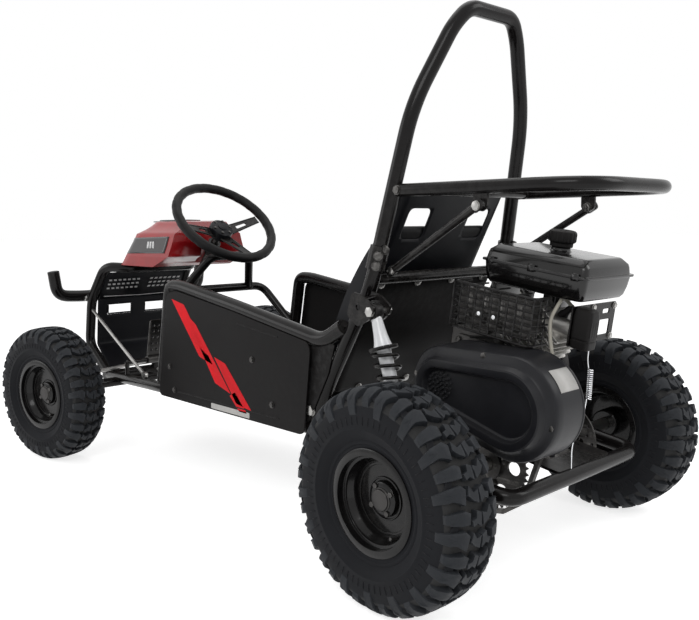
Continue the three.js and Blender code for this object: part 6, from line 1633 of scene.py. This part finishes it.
def addVents(cover):
    (ca, cu), (ja, ju) = engine["crank"], engine["jack"]
    cut = bmesh.new()
    # rings of round holes over the small pulley
    for ring, (count, radius) in enumerate(((1, 0), (6, 7.6), (12, 15.2), (17, 22.6))):
        for k in range(count):
            a = 2 * math.pi * k / count + ring * 0.3
            slotPrism(cut, (ca + radius * math.cos(a), cu + radius * math.sin(a)), 4.3, 4.2, a, 165, 178)
    bmesh.ops.recalc_face_normals(cut, faces=cut.faces)
    data = bpy.data.meshes.new("ventCuts")
    cut.to_mesh(data)
    cut.free()
    cutter = bpy.data.objects.new("ventCuts", data)
    bpy.context.scene.collection.objects.link(cutter)
    holes = cover.modifiers.new("vents", "BOOLEAN")
    holes.operation, holes.solver, holes.object = "DIFFERENCE", "EXACT", cutter
    applyModifiers(cover)
    bpy.data.objects.remove(cutter)


def makeCoverExtras():
    # blank plate label, and the cover's screws
    mesh = bmesh.new()
    (ca, cu), (ja, ju) = engine["crank"], engine["jack"]
    # the label follows the wall's curve
    rows = []
    for k in range(13):
        turn = math.radians(122 + 26 * k / 12)
        reach = engine["coverLarge"] + 0.35
        rows.append([mesh.verts.new(armSpot(ja + reach * math.cos(turn), y, ju + reach * math.sin(turn))) for y in (100, 150)])
    for low, high in zip(rows, rows[1:]):
        mesh.faces.new((low[0], low[1], high[1], high[0]))
    label = finishPiece("coverLabel", mesh, ["labelPale"], "arm", [])
    film = label.modifiers.new("thickness", "SOLIDIFY")
    film.thickness, film.offset = 0.0004, 0
    mesh = bmesh.new()
    for a, u in ((ca + 58.5, cu + 4), (ja - 76, ju - 6), ((ca + ja) / 2 - 6, cu + 70.5), ((ca + ja) / 2 + 4, cu - 69.5)):
        addBolt(mesh, armSpot(a, 166.4, u), (0, 1, 0), 0.0092, 0.004, 0.0062, 0)
    finishPiece("coverScrews", mesh, ["darkSteel"], "arm", [])


def makeBlock():
    mesh = bmesh.new()
    outline = [(-361.6, 16.2), (-210.4, 16.2), (-210.4, 211.4), (-288.6, 211.4), (-361.6, 150.4)]
    addPlate(mesh, roundedOutline([(a / 1000, u / 1000) for a, u in outline], 0.012), 0.1394, armFacing(-6))
    (ca, cu) = engine["crank"]
    crankAt = inArm(ca, 0, cu) @ acrossTurn
    for ring in ([(30, 63), (33.4, 63), (33.4, 86), (30, 86)], [(34, 63.6), (52, 63.6), (50, 69), (34, 70)]):
        addTurned(mesh, [(r / 1000, y / 1000) for r, y in ring], crankAt, 44, 0, closed=True)
    # side plate with its rim of screws, ribs over the crankcase, mounting feet and a filler plug
    plate = roundedOutline([(a / 1000, u / 1000) for a, u in ((-350, 28), (-222, 28), (-222, 196), (-290, 196), (-350, 146))], 0.010)
    addPlate(mesh, plate, 0.004, armFacing(65.5))
    for a, u in ((-342, 38), (-286, 36), (-230, 38), (-230, 112), (-230, 186), (-292, 188), (-342, 140), (-342, 88)):
        addBolt(mesh, armSpot(a, 67.4, u), (0, 1, 0), 0.0095, 0.0045, 0.0062, 1)
    for k in range(6):
        y = -62 + 22 * k
        addBox(mesh, (-0.2125, (y - 1.6) / 1000, 0.036), (-0.2072, (y + 1.6) / 1000, 0.200), inArm(0, 0, 0), 0, 0.001)
    for u, y in ((23, -52), (23, 40)):
        addBox(mesh, (-0.3616, (y - 12) / 1000, 0.0160), (-0.204, (y + 12) / 1000, 0.0235), inArm(0, 0, 0), 0, 0.002)
    addTurned(mesh, [(0.0135, 0.0), (0.0135, 0.006), (0.0115, 0.0085), (0.0115, 0.012), (0.009, 0.0135), (0, 0.0135)],
              inArm(-226, 50, 24) @ Matrix.Rotation(math.pi / 2, 4, "Y"), 20, 1)
    addBox(mesh, (-0.2882, 0.0404, 0.128), (-0.2474, 0.0636, 0.2153), inArm(0, 0, 0), 0, 0.004)
    finishPiece("engineBlock", mesh, ["darkSteel", "darkSteel"], "arm", ["engine_block"], edge=0.0012)
    mesh = bmesh.new()
    back = raceTrack(-4.2)
    addPlate(mesh, [(a / 1000, u / 1000) for a, u in back], 0.0046, armFacing(89.2), [circle(ca / 1000, cu / 1000, 0.031, 40)])
    for a, u in ((ca + 44, cu + 22), (ca + 44, cu - 22), (ca - 40, cu + 26)):
        addBolt(mesh, armSpot(a, 86.9, u), (0, -1, 0), 0.0095, 0.0045, 0.006, 1)
    finishPiece("coverPlate", mesh, ["frameBlack", "zincSteel"], "arm", [])


def makeHead():
    (ha, hu), (da, du) = engine["head"], engine["headAxis"]
    # local X is the head's sideways axis, local Y is across the kart, local Z runs along the cylinder
    side = Vector((du, 0, -da))
    turn = Matrix(((du, 0, da), (0, 1, 0), (-da, 0, du))).to_4x4()
    place = inArm(ha, 0, hu) @ turn
    mesh = bmesh.new()
    for k in range(engine["fins"]):
        at = 9 + 13.57 * k
        grow = -2 if k in (0, engine["fins"] - 1) else 0
        fin = roundedOutline(rectangle((-45.6 - grow) / 1000, (45.6 + grow) / 1000, (-41.6 - grow) / 1000, (53.6 + grow) / 1000, 0), 0.008)
        addPlate(mesh, fin, 0.0026, place @ Matrix.Translation((0, 0, (at + 2) / 1000)))
        if k < engine["fins"] - 1:
            for half in (1,):
                addPlate(mesh, roundedOutline(rectangle(-0.041, 0.041, -0.037, 0.049, 0), 0.008), 0.0022,
                         place @ Matrix.Translation((0, 0, (at + 8.8) / 1000)))
    addPlate(mesh, roundedOutline(rectangle(-0.034, 0.034, -0.030, 0.042, 0), 0.006), 0.1030, place @ Matrix.Translation((0, 0, 0.0517)))
    for x, y in ((-28, -22), (28, -22), (28, 34), (-28, 34)):
        addBolt(mesh, place @ Vector((x / 1000, y / 1000, 0.0962)), place.to_3x3() @ Vector((0, 0, 1)), 0.0095, 0.0045, 0.006, 1)
    finishPiece("cylinderHead", mesh, ["castAlloy", "zincSteel"], "arm", ["cylinder_head"], edge=0.0006, segments=1)
    return place


def makeTank():
    a0, a1, y0, y1 = engine["tank"]
    flange = engine["flange"]
    mesh = bmesh.new()

    def ring(level, inset, radius):
        box = roundedOutline(rectangle(a0 + inset, a1 - inset, y0 + inset, y1 - inset, 0), radius, 6)
        return [mesh.verts.new(armSpot(a, y, level)) for a, y in box]

    shell = [(296.4, 20, 10), (298, 13, 12), (304, 9.0, 12), (318, 6, 12), (flange - 0.6, 4.2, 12), (flange - 0.4, 0.2, 12),
             (flange + 3.6, 0.2, 12), (flange + 3.8, 5.2, 12), (351, 7.0, 12), (356, 8.6, 12), (364.0, 17.5, 10), (365.4, 20, 9), (365.8, 24, 8)]
    rings = [ring(*row) for row in shell]
    for low, high in zip(rings, rings[1:]):
        bridge(mesh, low, high)
    mesh.faces.new(rings[0])
    mesh.faces.new(rings[-1])
    bmesh.ops.recalc_face_normals(mesh, faces=mesh.faces)
    neck = inArm(-355, -22, 0)
    addTurned(mesh, [(0.0150, 0.3600), (0.0200, 0.3655), (0.0172, 0.3680), (0.0168, 0.3720), (0.0150, 0.3722)], neck, 36, 0, closed=True)
    for a in (a0 + 22, a1 - 22, (a0 + a1) / 2):
        for y, way in ((y0 + 1.0, -1), (y1 - 1.0, 1)):
            addBox(mesh, ((a - 7) / 1000, (y - 1.2) / 1000, (flange - 4) / 1000), ((a + 7) / 1000, (y + 1.2) / 1000, (flange + 9) / 1000),
                   inArm(0, 0, 0), 0, 0.001)
    # two stays hold it: one on the block, one on the head
    for a0s, a1s, y0s, y1s, u0s in ((-259, -247.4, -61.6, 17.6, 212.2), (-383.6, -358.4, -32.6, 17.6, 271)):
        addBox(mesh, (a0s / 1000, y0s / 1000, u0s / 1000), (a1s / 1000, y1s / 1000, 0.304), inArm(0, 0, 0), 0, 0.0015)
    finishPiece("fuelTank", mesh, ["tankGloss"], "arm", ["fuel_tank"], edge=0.0010, angle=32)
    # ribbed cap
    mesh = bmesh.new()
    cap = inArm(-355, -22, 0)
    count = 72
    rows = [(18.6, 373), (19.8, 374), (19.8, 379)]
    profile = [(19.8, 380), (22.6, 381.6), (24.4, 384), (24.4, 396), (23.0, 399.5), (20.4, 401.2), (17, 401.8), (16.4, 400.6), (7, 400.4), (6.4, 401.6), (0.0, 402)]
    rings = []
    for r, up in rows + profile[:-1]:
        ribbed = 382 < up < 398
        rings.append([mesh.verts.new(cap @ Vector(((r - (1.3 if ribbed and k % 4 > 1 else 0)) * math.cos(2 * math.pi * k / count) / 1000,
                                                   (r - (1.3 if ribbed and k % 4 > 1 else 0)) * math.sin(2 * math.pi * k / count) / 1000, up / 1000)))
                      for k in range(count)])
    for low, high in zip(rings, rings[1:]):
        bridge(mesh, low, high)
    mesh.faces.new(rings[0])
    mesh.faces.new(rings[-1])
    bmesh.ops.recalc_face_normals(mesh, faces=mesh.faces)
    finishPiece("fuelCap", mesh, ["plasticMatte"], "cap", ["fuel_cap"], edge=0.0004, segments=1, angle=30)


def makeExhaust():
    mesh = bmesh.new()
    box = [(-394.6, 225.4), (-243.4, 225.4), (-243.4, 290.6), (-394.6, 290.6)]
    addPlate(mesh, roundedOutline([(a / 1000, u / 1000) for a, u in box], 0.022, 6), 0.0332, armFacing(84))
    for k in range(4):
        a = -370 + 34 * k
        addBox(mesh, ((a - 6) / 1000, 0.0995, 0.234), ((a + 6) / 1000, 0.1008, 0.282), inArm(0, 0, 0), 0, 0.0006)
    addRod(mesh, armSpot(-268, 84, 290), armSpot(-268, 84, 296), 0.0062, 16, 0)
    finishPiece("muffler", mesh, ["darkSteel"], "arm", ["muffler"], edge=0.0025)
    # wire cage round it: thick hoops, thin wires and two bright screws
    mesh = bmesh.new()
    a0, a1, y0, y1, u0, u1 = -404, -234, 58, 110, 216, 300
    out = 2.6
    for u in [u0 + out + (u1 - u0 - 2 * out) * k / 7 for k in range(8)]:
        thick = 0.0025 if u in (u0 + out,) or u > u1 - out - 1 else 0.0016
        path = [(a0 + out, y0 + out), (a0 + out, y1 - out), (a1 - out, y1 - out), (a1 - out, y0 + out)]
        addTube(mesh, [armSpot(a, y, u) for a, y in path], thick, 0.012, 10)
    for a in [a0 + out + (a1 - a0 - 2 * out) * k / 10 for k in range(11)]:
        addTube(mesh, [armSpot(a, y1 - out + 1.2, u0 + out), armSpot(a, y1 - out + 1.2, u1 - out)], 0.0014, 0.0, 8)
    for y in (y0 + 14, y0 + 32):
        for a in (a0 + 0.9 + 1, a1 - 0.9 - 1):
            addTube(mesh, [armSpot(a, y, u0 + out), armSpot(a, y, u1 - out)], 0.0014, 0.0, 8)
    for a in (a0 + 40, a0 + 85, a1 - 40):
        addTube(mesh, [armSpot(a, y1 - out, u1 - out), armSpot(a, y0 + out, u1 - out)], 0.0016, 0.0, 8)
    for a in (-296, -327):
        addBolt(mesh, armSpot(a, y1 - out + 0.4, 252), (0, 1, 0), 0.0044, 0.0016, 0.0034, 1)
    finishPiece("mufflerGuard", mesh, ["engineBlack", "brightChrome"], "arm", ["muffler_guard"], angle=50)


def makeFilter():
    mesh = bmesh.new()
    rings = []
    for u, inset in ((222.4, 3), (224, 0.6), (236, 0), (237, 1.4), (239, 1.4), (240, 0), (273, 0), (286, 2), (289.6, 6)):
        shape = roundedOutline(rectangle(-473.6 + inset, -439.4 - inset * 0.3, 20.4 + inset, 51.6 - inset, 0), 7, 5)
        rings.append([mesh.verts.new(armSpot(a, y, u)) for a, y in shape])
    for low, high in zip(rings, rings[1:]):
        bridge(mesh, low, high)
    mesh.faces.new(rings[0])
    mesh.faces.new(rings[-1])
    bmesh.ops.recalc_face_normals(mesh, faces=mesh.faces)
    for k in range(4):
        y = 26 + 7 * k
        addBox(mesh, (-0.4748 + 0.0010, (y - 1.2) / 1000, 0.244), (-0.4725, (y + 1.2) / 1000, 0.270), inArm(0, 0, 0), 0, 0.0004)
    finishPiece("airFilterBox", mesh, ["plasticMatte"], "arm", ["air_filter_box"], edge=0.0008)
    # slotted bracket plate on the tank's side of the box
    mesh = bmesh.new()
    place = inArm(-437.6, 0, 0) @ Matrix(((0, 0, -1, 0), (-1, 0, 0, 0), (0, 1, 0, 0), (0, 0, 0, 1)))
    slots = [rectangle(0.036, 0.074, 0.2330, 0.2600, 0.004), rectangle(0.046, 0.068, 0.2705, 0.2785, 0.003)]
    outline = roundedOutline(rectangle(-0.0520, 0.0880, 0.2225, 0.2895, 0), 0.004)
    addPlate(mesh, outline, 0.0026, place, slots)
    for y, u in ((-81, 229), (-81, 283), (-12, 284)):
        addBolt(mesh, armSpot(-439.0, y, u), armTurn().to_3x3() @ Vector((-1, 0, 0)), 0.0090, 0.004, 0.006, 1)
    addRod(mesh, armSpot(-439, 28, 246), armSpot(-392, 28, 246), 0.0168, 28, 2, 0.001)
    finishPiece("filterBracket", mesh, ["frameBlack", "zincSteel", "castAlloy"], "arm", [], edge=0.0005, segments=1)


def makeRecoil():
    (ca, cu) = engine["crank"]
    centre = inArm(ca, 0, cu) @ acrossTurn
    mesh = bmesh.new()
    dome = [(81.4, -76.6), (81.8, -78), (81.4, -97), (79, -101.8), (70, -102.4), (66, -103), (58.6, -104), (57.2, -106), (56.6, -109), (54, -110.2),
            (14, -110.2), (12, -109), (0, -108.8)]
    addTurned(mesh, [(r / 1000, y / 1000) for r, y in dome], centre, 64)
    for k in range(16):
        a = 2 * math.pi * k / 16
        start, end = centre @ Vector((0.0215 * math.cos(a), 0.0215 * math.sin(a), -0.1100)), centre @ Vector((0.0480 * math.cos(a + 0.22), 0.0480 * math.sin(a + 0.22), -0.1100))
        addRod(mesh, start, end, 0.0016, 10, 1)
    for k in range(3):
        a = 2 * math.pi * k / 3 + 0.4
        addBolt(mesh, centre @ Vector((0.0735 * math.cos(a), 0.0735 * math.sin(a), -0.1022)), (0, -1, 0), 0.0095, 0.0045, 0.0062, 2)
    finishPiece("recoilStarter", mesh, ["engineBlack", "nearBlack", "zincSteel"], "arm", ["recoil_starter"], edge=0.0008)
    mesh = bmesh.new()
    grip = [(0, -25.6), (6, -25.4), (8.4, -22), (8.8, -15), (6.6, -8), (6.4, 0), (6.6, 8), (8.8, 15), (8.4, 22), (6, 25.4), (0, 25.6)]
    place = inArm(-347.7, -93.3, 193.7) @ acrossTurn
    addTurned(mesh, [(r / 1000, y / 1000) for r, y in grip], place, 28)
    finishPiece("starterHandle", mesh, ["gripRubber"], "handle", ["starter_handle"], edge=0.0004, segments=1)
    # the rope's short end at rest
    mesh = bmesh.new()
    inner, outer = armSpot(-333, -93.3, 193.7), armSpot(-344, -93.3, 193.7)
    sweep(mesh, [inner.lerp(outer, k / 10) for k in range(11)], 0.0015, 10)
    rope = finishPiece("starterRope", mesh, ["cableBlack"], None)
    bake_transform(rope)


def makeLeads(headPlace):
    mesh = bmesh.new()
    boot = headPlace @ Matrix.Translation((0, 0.006, 0.1036))
    addTurned(mesh, [(0.0085, 0.0), (0.0085, 0.006), (0.0062, 0.012), (0.0054, 0.026), (0.0036, 0.029), (0, 0.029)], boot, 22, 1)
    tip = boot @ Vector((0, 0, 0.027))
    # the lead leaves the boot, loops past the guard's rear and drops behind the cover
    route = [tip, *(armSpot(*p) for p in ((-400, 20, 296), (-416, 58, 292), (-411, 70, 266), (-418, 75, 240), (-430, 80, 212), (-440, 82, 190)))]
    sweep(mesh, smoothRoute(route, 0.02, 5), 0.0031, 12)
    # throttle cable between the tank and the block
    addTube(mesh, [spot(-70, 66, 330), spot(-58, 72, 372), spot(-20, 80, 400), spot(40, 86, 396)], 0.0026, 0.03, 10, 2, 8)
    finishPiece("plugLead", mesh, ["leadPale", "plasticMatte", "cableBlack"], "arm", [], angle=60)
    # return spring between the filter box and the arm's tail, hung on two wires
    mesh = bmesh.new()
    top, foot = Vector((-470, 22, 190)), Vector((-474, 20, 138))
    coils = 15
    route = []
    for k in range(coils * 10 + 1):
        centre = top.lerp(foot, k / (coils * 10))
        turn = 2 * math.pi * k / 10
        route.append(armSpot(centre.x + 4.2 * math.cos(turn), centre.y + 4.2 * math.sin(turn), centre.z))
    sweep(mesh, route, 0.0009, 6, 0)
    addTube(mesh, [armSpot(-462, 24, 223), armSpot(-464, 26, 204), route[0]], 0.0012, 0.01, 8, 0)
    addTube(mesh, [route[-1], armSpot(-472, 24, 100), armSpot(-462, 30, 60), armSpot(-466, 26, 14)], 0.0012, 0.02, 8, 0)
    finishPiece("returnSpring", mesh, ["brightChrome"], "arm", [], angle=60)


for node, material in (("drive_pulley", "zincSteel"), ("driven_pulley", "zincSteel"), ("drive_belt", "beltRubber"), ("drive_chain", "darkSteel")):
    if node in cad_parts:
        part = bpy.data.objects[node]
        for holder in part.material_slots:
            holder.material = finishes[material]

makeCover()
makeCoverExtras()
makeBlock()
headPlace = makeHead()
makeTank()
makeExhaust()
makeFilter()
makeRecoil()
makeLeads(headPlace)
print("engine made")

# ---- bucket seat: shell, stuffed pad with its channels, and the pad's vinyl
seat = {
    "curve": [(690, 288), (540, 273), (390, 268), (318, 292), (238, 455), (140, 645)],
    "half": 152, "wall": 5, "wing": 62, "padHalf": 144.0, "padFrom": 0.0665, "padTo": 0.9335,
    "thick": 38, "crown": 15, "edge": 9, "across": (0.2, 0.34, 0.62, 0.76, 0.9), "along": (0.28, 0.72),
}


def seatSamples(count=96):
    # centripetal curve through the seat's side profile, as points (x, z) in millimetres
    p = [Vector(q) for q in seat["curve"]]
    p = [p[0] * 2 - p[1], *p, p[-1] * 2 - p[-2]]
    samples = []
    for i in range(1, len(p) - 2):
        a, b, c, d = p[i - 1], p[i], p[i + 1], p[i + 2]
        t0 = 0.0
        t1 = t0 + (b - a).length ** 0.5
        t2 = t1 + (c - b).length ** 0.5
        t3 = t2 + (d - c).length ** 0.5
        for k in range(count):
            t = t1 + (t2 - t1) * k / count
            u = a * (t1 - t) / (t1 - t0) + b * (t - t0) / (t1 - t0)
            v = b * (t2 - t) / (t2 - t1) + c * (t - t1) / (t2 - t1)
            w = c * (t3 - t) / (t3 - t2) + d * (t - t2) / (t3 - t2)
            m = u * (t2 - t) / (t2 - t0) + v * (t - t0) / (t2 - t0)
            n = v * (t3 - t) / (t3 - t1) + w * (t - t1) / (t3 - t1)
            samples.append(m * (t2 - t) / (t2 - t1) + n * (t - t1) / (t2 - t1))
    samples.append(p[-2])
    lengths = [0.0]
    for a, b in zip(samples, samples[1:]):
        lengths.append(lengths[-1] + (b - a).length)
    return samples, lengths


seatLine, seatLengths = seatSamples()


def seatAt(share):
    # point and inward normal at a share of the length
    want = max(0.0, min(1.0, share)) * seatLengths[-1]
    i = 1
    while i < len(seatLengths) - 1 and seatLengths[i] < want:
        i += 1
    f = (want - seatLengths[i - 1]) / (seatLengths[i] - seatLengths[i - 1])
    point = seatLine[i - 1].lerp(seatLine[i], f)
    ahead, behind = seatLine[min(i + 3, len(seatLine) - 1)], seatLine[max(i - 4, 0)]
    along = (ahead - behind).normalized()
    return point, Vector((along.y, -along.x)) * -1 if along.x > 0 else Vector((along.y, -along.x))


def seatVinyl():
    vinyl = finishes["gripRubber"].copy()
    vinyl.name = "seatVinyl"
    return vinyl


def padSurface(u, v, lift):
    # u across from −1 to 1, v along from 0 to 1
    share = seat["padFrom"] + (seat["padTo"] - seat["padFrom"]) * v
    point, normal = seatAt(share)
    at = point + normal * lift
    return spot(at.x, u * seat["padHalf"], at.y)


def makeSeatPad():
    mesh = bmesh.new()
    across, along = 34, 88
    grids = []
    for top in (True, False):
        grid = []
        for j in range(along + 1):
            row = []
            for i in range(across + 1):
                u, v = 2 * i / across - 1, j / along
                rim = min(1.0, (1 - abs(u)) / 0.10) ** 0.5 * min(1.0, v / 0.035, (1 - v) / 0.035) ** 0.5 if abs(u) < 1 and 0 < v < 1 else 0
                crown = math.cos(u * math.pi / 2) * math.sin(v * math.pi)
                height = seat["edge"] + (seat["thick"] - 14 - seat["edge"] + seat["crown"] * crown) * rim
                lift = height if top else 3.2
                row.append(mesh.verts.new(padSurface(u * 0.975, 0.012 + v * 0.976, lift)))
            grid.append(row)
        grids.append(grid)
    for grid, way in zip(grids, (1, -1)):
        for j in range(along):
            for i in range(across):
                loop = [grid[j][i], grid[j][i + 1], grid[j + 1][i + 1], grid[j + 1][i]]
                mesh.faces.new(loop if way > 0 else loop[::-1])
    high, low = grids
    edgeHigh = high[0][:-1] + [r[-1] for r in high[:-1]] + high[-1][:0:-1] + [r[0] for r in high[:0:-1]]
    edgeLow = low[0][:-1] + [r[-1] for r in low[:-1]] + low[-1][:0:-1] + [r[0] for r in low[:0:-1]]
    bridge(mesh, edgeHigh, edgeLow)
    bmesh.ops.recalc_face_normals(mesh, faces=mesh.faces)
    data = bpy.data.meshes.new("seatPad")
    mesh.to_mesh(data)
    mesh.free()
    pad = bpy.data.objects.new("seatPad", data)
    bpy.context.scene.collection.objects.link(pad)
    inflatePad(pad)
    shapePad(pad)
    for face in pad.data.polygons:
        face.use_smooth = True
    pad.data.materials.clear()
    pad.data.materials.append(finishes["seatVinyl"])
    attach(pad, "frame")
    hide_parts("seat_pad")


def inflatePad(pad):
    # swells the pad with a short cloth run, capped so that it stays in its place
    scene = bpy.context.scene
    before = scene.frame_current
    remesh = pad.modifiers.new("remesh", "REMESH")
    remesh.mode, remesh.voxel_size = "VOXEL", 0.006
    applyModifiers(pad)
    rest = [v.co.copy() for v in pad.data.vertices]
    cloth = pad.modifiers.new("cloth", "CLOTH")
    setting = cloth.settings
    setting.quality, setting.mass = 5, 0.3
    setting.tension_stiffness = setting.compression_stiffness = 22
    setting.shear_stiffness, setting.bending_stiffness = 12, 3
    setting.use_pressure, setting.uniform_pressure_force = True, 4.0
    setting.effector_weights.gravity = 0
    cloth.point_cache.frame_start, cloth.point_cache.frame_end = 1, 20
    for step in range(1, 21):
        scene.frame_set(step)
    graph = bpy.context.evaluated_depsgraph_get()
    swollen = pad.evaluated_get(graph)
    moved = [v.co.copy() for v in swollen.data.vertices]
    pad.modifiers.clear()
    cap = 0.007
    for v, start, end in zip(pad.data.vertices, rest, moved):
        shift = end - start
        v.co = start + (shift if shift.length < cap else shift.normalized() * cap)
    scene.frame_set(before)
    smooth = pad.modifiers.new("smooth", "SMOOTH")
    smooth.factor, smooth.iterations = 0.5, 3
    applyModifiers(pad)


def shapePad(pad):
    # sewn channels pressed into the finished form, and the pad kept in the space of its solid
    points = [(share, *seatAt(share)) for share in (i / 220 for i in range(221))]
    worldOf = pad.matrix_world
    widest = seat["padHalf"]
    shiftX = spot(0, 0, 0).x * 1000
    for v in pad.data.vertices:
        x, y, z = v.co.x * 1000 - shiftX, v.co.y * 1000, v.co.z * 1000
        here = Vector((x, z))
        share, point, normal = min(points, key=lambda row: (row[1] - here).length_squared)
        lift = (here - point).dot(normal)
        along = (share - seat["padFrom"]) / (seat["padTo"] - seat["padFrom"])
        u = y / widest
        if lift > 12:
            press = 0.0
            length = seatLengths[-1] * (seat["padTo"] - seat["padFrom"])
            for line in seat["across"]:
                press = max(press, math.exp(-((along - line) * length / 7.5) ** 2))
            for line in seat["along"]:
                press = max(press, 0.9 * math.exp(-((u - (line * 2 - 1)) * widest / 7.0) ** 2))
            lift = min(lift, seat["thick"] + seat["crown"] - 3) - 9.0 * press * min(1.0, (lift - 12) / 12)
        lift = max(lift, 2.4)
        at = point + normal * lift + (here - point - normal * (here - point).dot(normal))
        y = max(-widest, min(widest, y))
        v.co = (spot(at.x, y, at.y))


def makeSeatShell():
    mesh = bmesh.new()
    across, along = 40, 96
    wall = seat["wall"]
    wing = lambda s: seat["wing"] * (0.35 + 0.65 * math.sin(math.pi * min(1.0, 1.15 * s)) ** 0.6)

    def shellPoint(i, j, thick):
        share = j / along
        point, normal = seatAt(share)
        u = 2 * i / across - 1
        base = 0.80
        half = seat["half"] - 0.8
        if abs(u) <= base:
            y, lift = u / base * (half - 14), 0.0
            tilt = 0.0
        else:
            t = (abs(u) - base) / (1 - base)
            rise = wing(share)
            bend = min(1.0, t * 3.0)
            y = math.copysign(half - 14 + 14 * math.sin(bend * math.pi / 2), u)
            lift = 14 * (1 - math.cos(bend * math.pi / 2)) * min(1.0, rise / 14) + max(0.0, (t - 1 / 3) * 1.5) * max(0.0, rise - 14)
            tilt = bend * math.pi / 2
        inward = thick
        at = point + normal * (lift + inward * math.cos(tilt))
        return spot(at.x, y - math.copysign(inward * math.sin(tilt), u), at.y)

    grids = [[[mesh.verts.new(shellPoint(i, j, t)) for i in range(across + 1)] for j in range(along + 1)] for t in (0.2, wall - 2.6)]
    for grid, way in zip(grids, (1, -1)):
        for j in range(along):
            for i in range(across):
                loop = [grid[j][i], grid[j][i + 1], grid[j + 1][i + 1], grid[j + 1][i]]
                mesh.faces.new(loop if way > 0 else loop[::-1])
    a, b = grids
    edges = []
    for grid in (a, b):
        edges.append(grid[0][:-1] + [r[-1] for r in grid[:-1]] + grid[-1][:0:-1] + [r[0] for r in grid[:0:-1]])
    bridge(mesh, edges[0], edges[1])
    bmesh.ops.recalc_face_normals(mesh, faces=mesh.faces)
    shell = finishPiece("seatShell", mesh, ["plasticBlack"], "frame", ["seat_shell"], angle=50)
    return shell


def makeSeatLegs():
    mesh = bmesh.new()
    floorTop = 215.9
    for x, level in ((418, 272), (662, 286)):
        for _, s in sides:
            y = s * (seat["half"] - seat["wing"])
            low = spot(x - 13.6, min(y, y + s * 4.8), floorTop + 0.6)
            high = spot(x + 13.6, max(y, y + s * 4.8), level)
            addBox(mesh, low, high, None, 0, 0.0008)
            addBox(mesh, spot(x - 13.6, min(y, y + s * 22), floorTop + 0.6), spot(x + 13.6, max(y, y + s * 22), floorTop + 4.4), None, 0, 0.0008)
            addBolt(mesh, spot(x, y + s * 13, floorTop + 4.2), (0, 0, 1), 0.010, 0.005, 0.0065, 1)
    finishPiece("seatLegs", mesh, ["frameBlack", "zincSteel"], "frame", [])


def cutHarness(piece):
    cut = bmesh.new()
    for _, s in sides:
        outline = roundedOutline(rectangle(min(s * 0.058, s * 0.118), max(s * 0.058, s * 0.118), 0.566, 0.622, 0), 0.012, 5)
        near = [cut.verts.new(spot(100, y * 1000, z * 1000)) for y, z in outline]
        far = [cut.verts.new(spot(300, y * 1000, z * 1000)) for y, z in outline]
        bridge(cut, near, far)
        capLoop(cut, near)
        capLoop(cut, far)
    bmesh.ops.recalc_face_normals(cut, faces=cut.faces)
    data = bpy.data.meshes.new("harnessCuts")
    cut.to_mesh(data)
    cut.free()
    cutter = bpy.data.objects.new("harnessCuts", data)
    bpy.context.scene.collection.objects.link(cutter)
    holes = piece.modifiers.new("holes", "BOOLEAN")
    holes.operation, holes.solver, holes.object = "DIFFERENCE", "EXACT", cutter
    applyModifiers(piece)
    bpy.data.objects.remove(cutter)


cutHarness(makeSeatShell())
makeSeatLegs()
makeSeatPad()
print("seat made")
